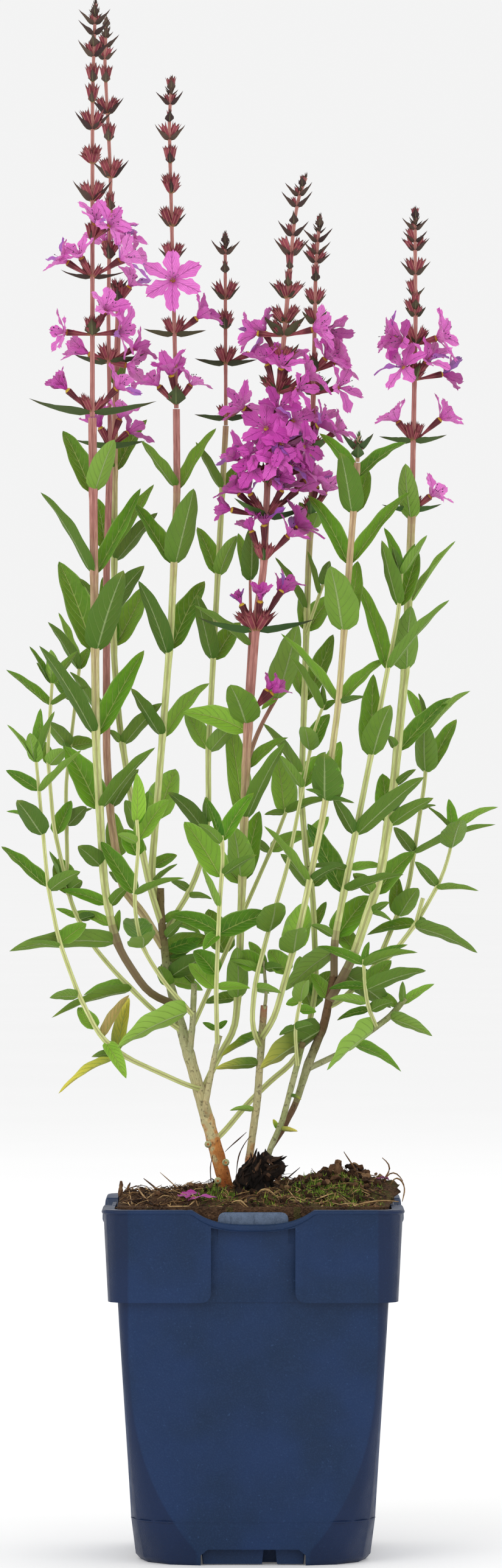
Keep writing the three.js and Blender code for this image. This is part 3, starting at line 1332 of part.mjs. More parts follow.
function plantNodes() {
  const nodes = {};
  const stems = Object.entries(STEMS);
  for (const [name, stem] of stems) {
    const stalk = stalkOf(stem);
    const branches = branchesOf(stem);
    let axis = fuse([runSolid(stalk, stem.sides ?? 4), ...branches.map((branch) => runSolid(branch, 4))]);
    for (const seat of seatsFor(stem)) axis = axis.subtract(seat);
    axis = whole(axis);
    nodes[name] = [axis];
    keepRun(name, axis, [stalk, ...branches]);
    if (!stem.spike) continue;
    const spike = runSolid(spikeOf(stem), 4);
    nodes[spikeName(name)] = [spike];
    keepRun(spikeName(name), spike, [spikeOf(stem)]);
  }
  for (const [name, stem] of stems) {
    (stem.flowers ?? []).forEach((flower, i) => {
      nodes[spikeName(name)].push(growFlower(spikeName(name), spikeOf(stem), flower, flower[0] + 3 * i));
    });
  }
  for (const [name, stem] of stems) {
    for (const whorl of stem.whorls ?? []) {
      nodes[spikeName(name)].push(...growWhorl(spikeName(name), spikeOf(stem), whorl, whorl[0]));
    }
  }
  for (const [name, stem] of stems) {
    const stalk = stalkOf(stem);
    const branches = branchesOf(stem);
    for (const leaf of stem.leaves ?? []) nodes[name].push(growLeaf(name, stalk, leaf));
    for (const leaf of stem.branch_leaves ?? []) nodes[name].push(growLeaf(name, branches[leaf[5] ?? 0], leaf));
  }
  return nodes;
}

function build() {
  const group = new THREE.Group();
  const nodes = plantNodes();
  const feet = ["left_crown", "middle_crown", "right_crown", "right_stub"].map((name) => {
    const stem = STEMS[name];
    return runSolid(stalkOf(stem), stem.sides, SEAT_GAP);
  });
  feet.push(stump(SEAT_GAP));
  group.add(meshOf("pot", pot(), COLOURS.pot, 0.5));
  group.add(meshOf("soil", soil(feet), COLOURS.soil, 0.95));
  group.add(meshOf("old_stump", stump(0), COLOURS.stump, 0.9));
  for (const [name, solids] of Object.entries(nodes)) {
    const colour = name.startsWith("spike") ? COLOURS.spike : name.startsWith("stem") ? COLOURS.leaf : COLOURS.bark;
    group.add(meshOf(name, fuse(solids.filter((solid) => solid)), colour, 0.7));
  }
  // The origin is under the middle of the whole plant's bounding box, on the ground
  const { x, y } = new THREE.Box3().setFromObject(group).getCenter(new THREE.Vector3());
  group.position.set(-x, -y, 0);
  return group;
}

export default build();
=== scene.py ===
"""Robin purple loosestrife in its square nursery pot, in metres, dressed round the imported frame.

The plant is laid out on the same front view as the frame, in steps of 0.265 mm: a place is a column, a
row and a depth in millimetres behind the pot's middle. Every leaf, bract, calyx and flower takes the
turn that its solid took, which is found from the corners of the frame's own node, and a finer skin is
grown there.
"""
import math

import bmesh
import bpy
import numpy as np
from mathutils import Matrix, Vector
from mathutils.kdtree import KDTree


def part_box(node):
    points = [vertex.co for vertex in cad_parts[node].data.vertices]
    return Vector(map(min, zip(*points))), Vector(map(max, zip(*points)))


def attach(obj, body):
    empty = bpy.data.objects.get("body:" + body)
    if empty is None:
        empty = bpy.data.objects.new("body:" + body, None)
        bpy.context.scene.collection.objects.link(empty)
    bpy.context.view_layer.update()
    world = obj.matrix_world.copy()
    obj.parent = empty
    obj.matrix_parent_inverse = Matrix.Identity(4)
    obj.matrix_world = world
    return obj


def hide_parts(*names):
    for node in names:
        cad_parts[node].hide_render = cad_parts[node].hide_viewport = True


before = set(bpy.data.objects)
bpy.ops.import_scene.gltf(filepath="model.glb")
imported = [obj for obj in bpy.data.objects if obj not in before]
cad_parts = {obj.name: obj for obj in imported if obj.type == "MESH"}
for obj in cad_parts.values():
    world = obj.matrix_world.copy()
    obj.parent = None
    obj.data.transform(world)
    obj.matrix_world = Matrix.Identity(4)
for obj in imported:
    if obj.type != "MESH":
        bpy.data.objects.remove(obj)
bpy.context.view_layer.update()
POT_LOW, POT_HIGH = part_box("pot")
MM = 0.001

# Front view layout
VIEW_STEP = 0.265
VIEW_POT_COLUMN = 416
VIEW_GROUND_ROW = 2551
VIEW_MIDDLE = (412.5, 1288)
VIEW_DISTANCE = 3000
VIEW_HEIGHT = 2576
SHIFT = np.array([(POT_LOW.x + POT_HIGH.x) / 2, (POT_LOW.y + POT_HIGH.y) / 2, 0.0]) / MM

# Pot and soil
POT_HEIGHT = 153
SOIL_EDGE = 152
SOIL_CROWN = 158

# Leaves, as in the frame: the keel in millimetres, arch and fold as shares of length and width, and
# the stations of a solid's edges, by its reach in view steps
LEAF_KEEL = 0.8
LEAF_ARCH = 0.1
LEAF_FOLD = 0.12
LEAF_STATIONS = ((0.13, 0.8), (0.38, 1), (0.72, 0.56))
MIDDLE_LEAF_STATIONS = ((0.28, 1), (0.66, 0.72))
SMALL_LEAF_STATIONS = ((0.45, 1),)
MIDDLE_LEAF = 140
SMALL_LEAF = 95

# How wide a leaf is for the width that is seen, in view steps, and how far its tip leans out of the
# view: in view steps where it points straight to the front, else as shares of its reach
NARROWEST_LEAF = 32
NARROWEST_SHARE = 0.3
FORESHORTENED = 1.1
STRAIGHT_LEAN = 105
BROAD_LEAF = 26
BROAD_LEAN = 0.35
NARROW_LEAN = 0.12
MOST_LEAN = 0.6

# The most that a leaf rolls about its length, in radians, and what a roll to its other side costs
MOST_ROLL = 1
WRONG_SIDE = 0.7

# Bracts, calyces and flowers, as in the frame
BRACT_KEEL = 0.75
BRACT_ARCH = -0.08
BRACT_MIDDLE = ((0.42, 1),)
CALYX_RADIUS = 0.2
CALYX_DEPTH = 0.3
CALYX_TEETH = 3
WIDEST_FAN = 170
FAN_STEP = 56
SIX_PETALS = 46
PETAL_WIDTH = 0.44
BROAD_PETAL = 0.51
PETAL_THICKNESS = 0.7

# Where a piece starts on a stem, as a share of the half width and in rows below the top, and how a
# stem's path is split at the foot of its spike and straightened
FOOT_SHARE = 0.7
LEAST_FROM_TOP = 7
STEM_MARGIN = 4
PATH_SLACK = 3
SEAT_GAP = 0.3

# Finer forms of the dressed plant: what the reach of a bract or calyx is multiplied by along x, y and z,
# and the lengths in view steps, or the rows, where one form gives way to the next, with its width or age
BRACT_LIFT = (0.85, 0.85, 1.5)
CALYX_LIFT = (0.78, 0.78, 1.22)
NO_LIFT = (1, 1, 1)
SHORT_BRACT = 50
LONG_BRACT_NARROWING = 0.78
WIDE_BRACT = 70
OPEN_CALYX = 34
FILLED_CALYX = 30
LEAFY_BRACT_ROW = 500
LEAFY_BRACT_WIDTH = 1.25
OLD_LEAF_ROW = 1740
OLD_LEAF_AGE = 0.4

# How many stamens a flower has and how many scales the bud at a spike's tip, the turn in degrees from
# one scale to the next, and the draw from 0 to 1 above which a petal is wilted
STAMENS = 7
BUD_SCALES = 22
GOLDEN_ANGLE = 137.5
WILTED_FROM = 0.92

# Outlines with straight lines between stations: shares of the length, and half widths there
BRACT_OUTLINE = ((0, 0.08, 0.22, 0.4, 0.58, 0.78, 1), (0.45, 0.85, 1.04, 0.8, 0.42, 0.17, 0.02))
HEART_OUTLINE = ((0, 0.06, 0.18, 0.35, 0.55, 0.8, 1), (0.4, 0.9, 1.1, 1, 0.72, 0.3, 0.02))

# The ways that a piece may have been turned to clear its neighbours: degrees about the vertical,
# degrees upwards, share of its length
TURNS = (
    (0, 0, 1), (9, 0, 1), (-9, 0, 1), (0, 9, 1), (0, -9, 1), (18, 0, 1), (-18, 0, 1), (13, 12, 1),
    (-13, 12, 1), (13, -12, 1), (-13, -12, 1), (28, 0, 1), (-28, 0, 1), (0, 20, 1), (0, -20, 1),
    (26, 18, 1), (-26, 18, 1), (26, -18, 1), (-26, -18, 1), (42, 0, 1), (-42, 0, 1), (42, 20, 0.95),
    (-42, 20, 0.95), (60, 0, 0.95), (-60, 0, 0.95), (60, 20, 0.9), (-60, 20, 0.9), (80, 0, 0.9),
    (-80, 0, 0.9), (0, 34, 0.85), (0, -34, 0.85), (105, 10, 0.85), (-105, 10, 0.85), (135, 10, 0.8),
    (-135, 10, 0.8), (180, 10, 0.8), (0, 0, 0.7), (30, 15, 0.7), (-30, 15, 0.7), (90, 15, 0.6),
    (-90, 15, 0.6), (180, 20, 0.6), (0, 0, 0.45),
)

# How near in millimetres a turn's corners have to be to end the search, and to count at all
NEAR_ENOUGH = 0.09
LOOSE_FIT = 1.5

# Stems from the foot up. A leaf is a row, its tip's column and row, its width and the side it leans to,
# and a branch's leaf also the branch's number. The small leaves have no solid of their own.
# A whorl is a row, quarter turns, calyces, their length and the bracts'. A flower is a row, its mouth's
# column and row, its lean to the front, its petals' length and their spread in degrees.
STEMS = {
    "left_crown": dict(widths=[11.5, 12, 14, 11.5, 10, 9, 8, 7, 6.6, 6.2, 6], path=[
        (374, 1992, 0), (371, 1945, 0), (352, 1875, 0), (334, 1807, 0), (313, 1738, 1), (299, 1692, 2),
        (285, 1648, 3), (275, 1600, 4), (268, 1560, 5), (264, 1500, 5), (264, 1459, 5),
    ], branches=[
        dict(widths=[5, 5, 4.6], path=[(311, 1735, 1), (316, 1690, -5), (319, 1616, -8)]),
        dict(widths=[5, 5, 4.6, 4.4, 4.2, 4.6], path=[
            (341, 1836, 0), (336, 1822, -5), (340, 1790, -7), (346, 1758, -7), (354, 1725, -7),
            (361, 1701, -7),
        ]),
    ], leaves=[
        (1604, 350, 1566, 30, 1), (1612, 342, 1626, 28, -1), (1572, 332, 1542, 26, -1),
        (1540, 300, 1512, 16, 1), (1515, 291, 1496, 14, -1), (1620, 262, 1586, 24, 1),
    ]),
    "middle_crown": dict(widths=[6, 6, 6, 6, 6, 6, 6, 5.6], path=[
        (398, 1988, 7), (403, 1950, 7), (407, 1905, 6), (417, 1850, 5), (423, 1807, 4), (427, 1738, 3),
        (432, 1692, 2), (434, 1652, 1),
    ], branches=[
        dict(widths=[3, 2.8, 2.6, 2.4], path=[
            (434, 1660, 1), (438, 1636, -3), (435, 1600, -5), (433, 1578, -6),
        ]),
    ], leaves=[
        (1700, 394, 1766, 38, 1), (1748, 354, 1757, 22, 1),
    ], branch_leaves=[
        (1590, 409, 1546, 20, -1, 0), (1598, 387, 1578, 16, 1, 0), (1592, 470, 1590, 18, 1, 0),
    ], small_leaves=[
        (1824, 377, 1824, 10, 1),
    ]),
    "right_crown": dict(widths=[5, 5, 4.6, 4.8, 5.4, 7, 7, 6.6, 6.4], path=[
        (428, 1988, 6), (434, 1930, 5), (440, 1893, 4), (464, 1857, 4), (487, 1811, 3), (505, 1752, 3),
        (533, 1683, 3), (547, 1623, 3), (549, 1600, 3),
    ], leaves=[
        (1690, 437, 1757, 55, 1), (1640, 512, 1600, 24, -1),
    ]),
    "right_stub": dict(widths=[5, 5, 5, 5, 5, 5, 5], path=[
        (420, 1985, 0), (434, 1925, -1), (443, 1889, -2), (464, 1843, -3), (482, 1784, -4), (490, 1745, -5),
        (498, 1712, -5),
    ], small_leaves=[
        (1855, 489, 1859, 10, 1), (1800, 496, 1806, 8, 1), (1855, 449, 1838, 8, -1),
    ]),
    "right_low": dict(widths=[5, 5, 4.8, 4.8, 4.8, 5, 5], path=[
        (504, 1757, 3), (530, 1745, 8), (560, 1730, 10), (590, 1708, 10), (620, 1687, 9), (644, 1668, 8),
        (666, 1640, 8),
    ], leaves=[
        (1690, 508, 1757, 56, 1), (1716, 662, 1759, 18, -1), (1672, 711, 1702, 28, 1),
        (1650, 714, 1616, 14, -1), (1655, 618, 1625, 14, -1),
    ], small_leaves=[
        (1646, 662, 1612, 12, 1),
    ]),
    "stem_a": dict(spike=686, widths=[5.5, 6, 3.4, 2], path=[
        (285, 1649, 3), (262, 1641, 0), (241, 1629, -3), (225, 1607, -5), (198, 1564, -8), (185, 1527, -9),
        (171, 1452, -11), (165, 1377, -12), (158, 1230, -14), (155, 1060, -16), (153, 820, -18),
        (152, 700, -20), (150, 560, -21), (150, 330, -22), (152, 150, -23), (157, 6, -24),
    ], leaves=[
        (808, 104, 704, 34, -1), (806, 187, 719, 36, 1), (941, 72, 803, 18, 1), (942, 232, 805, 26, -1),
        (1068, 97, 922, 48, -1), (1068, 203, 938, 48, 1), (1205, 64, 1063, 26, 1),
        (1206, 237, 1070, 36, -1), (1328, 105, 1228, 46, -1), (1327, 253, 1223, 20, 1),
        (1422, 128, 1389, 30, 1), (1485, 108, 1463, 20, -1), (1488, 213, 1455, 18, 1),
        (1535, 197, 1495, 14, -1), (1547, 10, 1557, 34, 1),
    ], whorls=[
        (24, 1, 2, 14, 26), (40, 0, 2, 16, 34), (57, 0, 0, 0, 34), (76, 1, 0, 0, 28), (93, 0, 2, 24, 36),
        (134, 1, 3, 28, 30), (168, 1, 3, 28, 26), (213, 0, 2, 32, 40), (268, 1, 4, 34, 28),
        (330, 0, 4, 32, 44), (395, 1, 3, 28, 22), (456, 0, 1, 30, 54), (550, 1, 3, 30, 34),
        (678, 0, 2, 36, 106),
    ], flowers=[
        (395, 155, 366, 15, 44, 50), (456, 112, 432, 10, 42, 50), (456, 196, 428, 15, 52, 60),
        (550, 110, 546, 10, 42, 65), (550, 158, 516, -5, 36, 40), (550, 192, 546, 15, 46, 65),
        (678, 112, 642, 10, 40, 30), (678, 190, 640, 15, 44, 55),
    ], small_leaves=[
        (1537, 150, 1534, 10, -1),
    ]),
    "stem_b": dict(spike=742, widths=[6, 4.6, 3, 2], path=[
        (268, 1556, 5), (250, 1530, 6), (228, 1489, 8), (212, 1477, 8), (200, 1457, 8), (190, 1400, 8),
        (182, 1345, 8), (175, 1237, 9), (177, 1088, 9), (175, 941, 10), (180, 802, 10), (182, 676, 11),
        (179, 588, 11), (178, 507, 12), (182, 424, 12), (182, 290, 13), (172, 100, 14), (175, 37, 14),
    ], leaves=[
        (905, 157, 816, 34, -1), (908, 254, 799, 24, -1), (1012, 130, 949, 16, 1), (1008, 237, 930, 32, 1),
        (1185, 118, 1099, 18, 1), (1180, 224, 1107, 20, -1), (1325, 228, 1262, 24, 1),
        (1408, 188, 1330, 34, -1),
    ], whorls=[
        (44, 1, 2, 14, 24), (62, 1, 0, 0, 24), (78, 0, 1, 20, 30), (98, 0, 2, 22, 26), (135, 1, 3, 26, 28),
        (187, 0, 2, 30, 36), (231, 1, 4, 28, 30), (292, 0, 4, 32, 40), (345, 1, 2, 30, 30),
        (425, 1, 2, 30, 36), (595, 0, 1, 30, 62), (733, 0, 1, 28, 58),
    ], flowers=[
        (345, 184, 366, 0, 40, 40), (425, 172, 400, -20, 36, 50), (595, 148, 582, 5, 44, 35),
        (595, 216, 575, -5, 38, 50), (733, 170, 702, 5, 40, 40), (733, 208, 712, -10, 42, 55),
    ], small_leaves=[
        (1450, 179, 1432, 10, 1),
    ]),
    "stem_c": dict(spike=505, widths=[4.6, 4.4, 3, 2.4], path=[
        (264, 1514, 5), (256, 1486, 1), (246, 1457, 0), (228, 1385, 4), (214, 1304, 9), (204, 1251, 13),
        (196, 1189, 16), (187, 1075, 20), (185, 941, 24), (188, 780, 27), (189, 682, 29), (193, 575, 30),
        (196, 520, 31), (193, 470, 31),
    ], leaves=[
        (633, 189, 582, 18, -1), (633, 206, 597, 14, 1), (772, 241, 687, 26, -1), (920, 243, 840, 30, 1),
        (1060, 240, 963, 40, -1), (1058, 163, 947, 26, -1), (1222, 266, 1151, 24, 1),
        (1365, 207, 1312, 28, 1), (1405, 208, 1370, 24, -1),
    ], whorls=[
        (476, 0, 2, 18, 24), (497, 1, 3, 30, 34),
    ], flowers=[
        (497, 212, 472, 10, 44, 55),
    ], small_leaves=[
        (770, 181, 755, 8, 1), (1220, 178, 1198, 12, 1),
    ]),
    "stem_d": dict(spike=672, widths=[5, 5, 3, 2], path=[
        (264, 1484, 5), (256, 1462, 10), (248, 1446, 12), (250, 1412, 12), (257, 1350, 11), (265, 1259, 9),
        (273, 1170, 7), (281, 1035, 5), (287, 928, 3), (291, 807, 1), (291, 700, -1), (287, 600, -2),
        (284, 450, -4), (280, 300, -5), (278, 200, -6), (282, 132, -6),
    ], leaves=[
        (800, 232, 725, 18, 1), (803, 355, 703, 20, -1), (925, 237, 827, 32, -1), (925, 319, 805, 44, 1),
        (1075, 227, 957, 30, 1), (1065, 336, 953, 40, -1), (1208, 224, 1118, 24, 1),
        (1210, 343, 1117, 26, -1), (1345, 288, 1262, 50, -1), (1424, 292, 1403, 20, -1),
    ], whorls=[
        (148, 1, 3, 20, 26), (172, 0, 2, 18, 30), (200, 1, 1, 18, 28), (230, 0, 2, 28, 34),
        (268, 1, 3, 28, 28), (317, 1, 4, 32, 30), (372, 0, 4, 32, 30), (428, 0, 4, 30, 30),
        (478, 1, 2, 28, 24), (550, 0, 2, 30, 52), (664, 1, 2, 32, 42),
    ], flowers=[
        (478, 284, 461, 42, 50, 85), (550, 322, 524, 10, 44, 45), (664, 262, 636, 10, 42, 50),
        (664, 288, 628, -10, 48, 30), (664, 312, 634, 0, 38, 60),
    ], small_leaves=[
        (1450, 292, 1420, 8, 1),
    ]),
    "stem_e": dict(spike=700, widths=[4, 4.2, 2.6, 2], path=[
        (266, 1538, 5), (281, 1516, 10), (295, 1492, 12), (313, 1463, 13), (333, 1412, 14), (343, 1329, 15),
        (342, 1238, 16), (350, 1104, 18), (362, 914, 20), (371, 722, 22), (372, 561, 23), (370, 387, 24),
    ], leaves=[
        (803, 326, 727, 18, 1), (803, 408, 752, 20, -1), (942, 324, 866, 28, -1), (945, 389, 880, 26, 1),
        (1083, 298, 976, 20, 1), (1083, 395, 1022, 36, -1), (1230, 305, 1165, 32, -1),
        (1234, 392, 1183, 28, 1), (1365, 276, 1300, 26, 1), (1352, 340, 1307, 18, 1),
        (1463, 281, 1448, 14, 1), (1514, 332, 1534, 20, -1),
    ], whorls=[
        (400, 1, 2, 16, 26), (418, 0, 1, 14, 32), (448, 1, 1, 18, 28), (492, 0, 2, 32, 32),
        (540, 1, 3, 30, 26), (598, 0, 3, 30, 52), (688, 0, 2, 24, 52),
    ], flowers=[
        (598, 408, 582, 5, 44, 40), (688, 390, 672, 20, 38, 70),
    ], small_leaves=[
        (1472, 350, 1476, 12, 1),
    ]),
    "stem_f": dict(spike=1182, widths=[4.6, 6.4, 6, 2], path=[
        (331, 1797, 0), (345, 1762, 8), (358, 1738, 10), (375, 1712, 9), (387, 1690, 7), (391, 1671, 6),
        (393, 1600, 4), (394, 1511, 1), (396, 1457, 0), (399, 1345, -2), (404, 1264, -4), (408, 1185, -6),
        (420, 1063, -8), (424, 993, -9), (433, 939, -10), (438, 858, -12), (441, 763, -13), (456, 668, -15),
        (465, 575, -16), (475, 440, -18), (483, 367, -19), (492, 318, -19), (503, 292, -20),
    ], branches=[
        dict(widths=[3.4, 3.4, 3, 2.8], path=[
            (404, 1262, -4), (416, 1222, 6), (432, 1185, 12), (458, 1140, 14),
        ]),
        dict(widths=[3.2, 2.6, 2.6, 2.4, 2.2, 2], path=[
            (405, 1236, -4), (403, 1190, 4), (408, 1120, 9), (412, 1035, 9), (413, 980, 7), (411, 946, 6),
        ]),
    ], leaves=[
        (1262, 473, 1207, 18, -1), (1345, 361, 1183, 36, -1), (1345, 470, 1220, 26, 1),
        (1442, 388, 1350, 44, 1), (1445, 426, 1332, 40, -1), (1450, 340, 1400, 30, -1),
        (1640, 397, 1545, 34, 1), (1640, 328, 1648, 22, -1), (1189, 384, 1116, 50, 1),
        (1200, 302, 1172, 38, -1),
    ], branch_leaves=[
        (1142, 490, 1028, 44, 1, 0), (1142, 430, 1166, 12, 1, 0), (946, 413, 866, 30, 1, 1),
        (946, 391, 877, 22, -1, 1), (1060, 318, 997, 12, 1, 1),
    ], whorls=[
        (306, 1, 2, 16, 24), (322, 0, 1, 14, 30), (340, 0, 1, 16, 34), (368, 1, 0, 0, 28),
        (388, 0, 1, 20, 34), (420, 0, 2, 32, 38), (442, 1, 2, 26, 22), (470, 1, 1, 24, 26),
        (490, 0, 2, 34, 38), (530, 0, 4, 34, 30), (552, 0, 2, 34, 46), (595, 0, 3, 34, 40),
        (645, 0, 2, 36, 40), (700, 1, 1, 36, 40), (793, 1, 3, 38, 40), (850, 0, 4, 40, 66),
        (920, 1, 3, 36, 28), (1036, 0, 6, 44, 98), (1174, 1, 2, 24, 0),
    ], flowers=[
        (552, 425, 548, 0, 40, 50), (552, 512, 542, 10, 46, 50), (645, 440, 600, 10, 40, 50),
        (645, 500, 622, 0, 46, 60), (645, 470, 590, -10, 40, 60), (720, 438, 704, 42, 46, 80),
        (715, 482, 692, 40, 44, 80), (760, 430, 742, 44, 42, 80), (700, 402, 672, 20, 44, 60),
        (740, 520, 700, 20, 46, 60), (793, 395, 758, 10, 38, 50), (793, 490, 772, 15, 42, 55),
        (765, 472, 735, -15, 44, 70), (850, 394, 812, 5, 40, 50), (850, 488, 806, 10, 44, 50),
        (850, 382, 838, 10, 34, 40), (920, 418, 874, 15, 34, 40), (920, 472, 882, 15, 42, 50),
        (1036, 430, 982, 12, 32, 30), (1036, 455, 982, -5, 36, 35), (1036, 408, 990, 10, 26, 25),
        (1174, 438, 1135, 5, 28, 40),
    ]),
    "stem_g": dict(spike=856, widths=[4, 4.6, 4, 2], path=[
        (352, 1874, 0), (370, 1858, 8), (400, 1820, 13), (450, 1770, 15), (482, 1747, 16), (505, 1700, 17),
        (520, 1620, 17), (519, 1540, 17), (518, 1507, 17), (514, 1467, 17), (504, 1418, 17),
        (502, 1372, 17), (495, 1307, 18), (497, 1239, 18), (500, 1063, 19), (507, 925, 20), (511, 857, 20),
        (512, 776, 21), (517, 602, 22), (519, 434, 23), (525, 386, 24), (526, 358, 24),
    ], branches=[
        dict(widths=[2.6, 2.6, 2.4, 2.4], path=[
            (501, 1045, 19), (514, 1003, 12), (525, 976, 10), (533, 954, 9),
        ]),
    ], leaves=[
        (868, 522, 842, 26, 1), (868, 496, 825, 24, -1), (1035, 498, 973, 24, -1), (1036, 547, 978, 36, -1),
        (1000, 453, 915, 10, 1), (1143, 475, 1068, 26, -1), (1150, 548, 1045, 34, -1),
        (1280, 520, 1240, 20, -1), (1272, 430, 1204, 20, 1), (1392, 540, 1340, 26, -1),
        (1458, 461, 1402, 24, 1), (1455, 545, 1430, 20, -1), (1522, 536, 1480, 16, -1),
    ], branch_leaves=[
        (956, 541, 920, 18, 1, 0), (976, 505, 905, 8, 1, 0),
    ], whorls=[
        (372, 1, 2, 16, 26), (398, 0, 1, 14, 32), (418, 0, 1, 18, 30), (432, 0, 2, 26, 30),
        (462, 1, 2, 28, 28), (500, 0, 2, 28, 24), (532, 0, 3, 28, 28), (610, 1, 2, 30, 34),
        (648, 0, 2, 30, 40), (735, 0, 1, 30, 40), (845, 1, 3, 30, 36),
    ], flowers=[
        (532, 532, 540, 10, 46, 50), (610, 548, 596, 0, 46, 60), (648, 556, 628, 15, 44, 70),
        (735, 548, 712, 5, 40, 50), (735, 496, 705, 10, 40, 60), (845, 528, 806, 10, 40, 55),
    ]),
    "stem_h": dict(spike=760, widths=[4.4, 4.6, 2.8, 2], path=[
        (430, 1705, 2), (451, 1673, -4), (465, 1630, -8), (481, 1570, -12), (495, 1513, -15),
        (504, 1467, -16), (519, 1399, -18), (533, 1331, -20), (549, 1225, -23), (556, 1158, -25),
        (567, 1041, -28), (576, 939, -30), (582, 844, -32), (590, 716, -34),
    ], leaves=[
        (780, 525, 712, 22, -1), (782, 667, 722, 20, -1), (842, 562, 742, 40, 1), (842, 604, 770, 32, -1),
        (925, 507, 807, 28, -1), (925, 672, 802, 22, -1), (1035, 550, 922, 54, 1), (1032, 588, 922, 36, -1),
        (1152, 460, 1043, 14, -1), (1152, 637, 1080, 20, -1), (1315, 535, 1230, 52, 1),
        (1312, 558, 1215, 36, -1), (1447, 436, 1355, 12, 1), (1447, 562, 1420, 14, 1),
        (1565, 488, 1524, 44, 2), (1562, 500, 1480, 45, -1),
    ], whorls=[
        (738, 0, 2, 14, 34), (752, 1, 4, 18, 28),
    ], small_leaves=[
        (1155, 600, 1145, 10, 1), (1308, 502, 1297, 8, 1), (1312, 582, 1320, 8, 1),
    ]),
    "stem_i": dict(spike=846, widths=[6.6, 5.6, 4, 2], path=[
        (542, 1643, 3), (560, 1610, 1), (580, 1574, 0), (595, 1526, 0), (614, 1480, 0), (625, 1440, 0),
        (636, 1386, 1), (647, 1293, 2), (653, 1225, 2), (660, 1144, 3), (667, 1090, 3), (671, 990, 4),
        (674, 898, 4), (681, 763, 5), (683, 535, 6), (683, 413, 6), (682, 347, 6),
    ], leaves=[
        (850, 662, 760, 32, 1), (1100, 672, 988, 44, 1), (1232, 741, 1141, 28, -1),
        (1230, 638, 1208, 14, 1), (1350, 624, 1270, 38, -1), (1355, 712, 1312, 24, 1),
        (1468, 682, 1398, 34, -1), (1468, 580, 1434, 24, 1), (1500, 640, 1482, 14, 1),
        (990, 746, 886, 8, -1),
    ], whorls=[
        (358, 1, 3, 16, 24), (378, 0, 1, 12, 28), (398, 0, 1, 24, 26), (412, 0, 2, 26, 30),
        (452, 0, 2, 28, 32), (486, 0, 1, 26, 20), (508, 1, 2, 28, 22), (520, 0, 1, 30, 22),
        (566, 0, 3, 32, 30), (624, 1, 4, 34, 34), (725, 0, 3, 30, 56), (838, 0, 2, 26, 50),
    ], flowers=[
        (566, 650, 555, 5, 42, 60), (566, 716, 556, 10, 48, 60), (624, 664, 604, 30, 46, 75),
        (624, 722, 600, 5, 44, 50), (624, 704, 592, -15, 34, 40), (725, 655, 694, 5, 40, 55),
        (725, 722, 690, 5, 42, 50), (838, 706, 816, 10, 40, 60),
    ], small_leaves=[
        (1335, 680, 1293, 12, 1), (1290, 684, 1263, 12, 1), (1498, 645, 1513, 12, 1),
    ]),
    "stem_j": dict(widths=[5.4, 2.6], path=[
        (549, 1603, 3), (549, 1548, 0), (554, 1521, -2), (563, 1467, -5), (573, 1426, -7), (582, 1372, -8),
        (595, 1306, -10), (610, 1239, -11), (628, 1157, -13), (638, 1100, -14), (644, 1076, -14),
        (655, 1008, -14), (660, 937, -15),
    ], leaves=[
        (940, 632, 866, 18, -1), (935, 646, 898, 14, 1), (942, 703, 881, 14, 1), (992, 627, 888, 24, 1),
        (995, 687, 906, 34, -1), (1098, 571, 968, 26, -1), (1098, 738, 985, 16, 1),
        (1240, 614, 1108, 36, -1), (1240, 641, 1156, 42, 1), (1370, 698, 1270, 30, 1),
        (1370, 548, 1310, 22, 1), (1463, 672, 1438, 14, 1), (1465, 506, 1350, 36, -1),
        (1428, 634, 1422, 14, -1), (1428, 505, 1425, 12, 1), (1538, 608, 1472, 44, -1),
        (1538, 510, 1518, 14, 1), (1562, 478, 1642, 36, -1),
    ], small_leaves=[
        (940, 683, 894, 12, -1),
    ]),
    "stem_k": dict(widths=[4, 2.4], path=[
        (540, 1654, 3), (560, 1645, 9), (590, 1618, 14), (617, 1589, 16), (641, 1537, 18), (652, 1507, 19),
        (660, 1494, 20), (671, 1461, 21), (683, 1399, 23), (693, 1331, 25), (700, 1272, 27),
        (700, 1170, 28),
    ], leaves=[
        (1192, 670, 1131, 20, -1), (1200, 764, 1130, 18, 1), (1268, 699, 1187, 38, 1),
        (1268, 750, 1178, 28, -1), (1400, 647, 1358, 20, 1), (1402, 808, 1350, 12, 1),
        (1505, 687, 1457, 36, 1), (1502, 655, 1440, 24, -1),
    ], small_leaves=[
        (1180, 689, 1138, 8, 1), (1185, 730, 1152, 10, -1), (1330, 717, 1322, 6, 1),
    ]),
    "stem_l": dict(widths=[3.6, 2], path=[
        (615, 1591, 16), (640, 1574, 9), (652, 1556, 8), (666, 1540, 8), (685, 1516, 9), (698, 1494, 10),
        (717, 1464, 11), (725, 1445, 12), (741, 1396, 13), (746, 1356, 14),
    ], branches=[
        dict(widths=[3, 3, 3], path=[(683, 1519, 9), (688, 1497, 7), (695, 1476, 6)]),
    ], leaves=[
        (1358, 737, 1313, 18, -1), (1360, 823, 1337, 12, -1), (1392, 757, 1349, 40, 2),
        (1456, 682, 1415, 18, 1), (1460, 787, 1463, 10, 1), (1522, 784, 1566, 26, 1),
        (1518, 603, 1536, 18, -1),
    ], small_leaves=[
        (1360, 702, 1326, 6, 1), (1512, 701, 1512, 10, 1),
    ]),
    "stem_n": dict(widths=[3.6, 2.2], path=[
        (300, 1695, 2), (275, 1678, -3), (252, 1661, -4), (214, 1621, -4), (188, 1596, -4), (150, 1551, -3),
        (118, 1489, -1), (98, 1412, 0), (88, 1358, 0), (80, 1291, 0), (78, 1238, 0), (80, 1163, -1),
        (86, 1116, -2),
    ], leaves=[
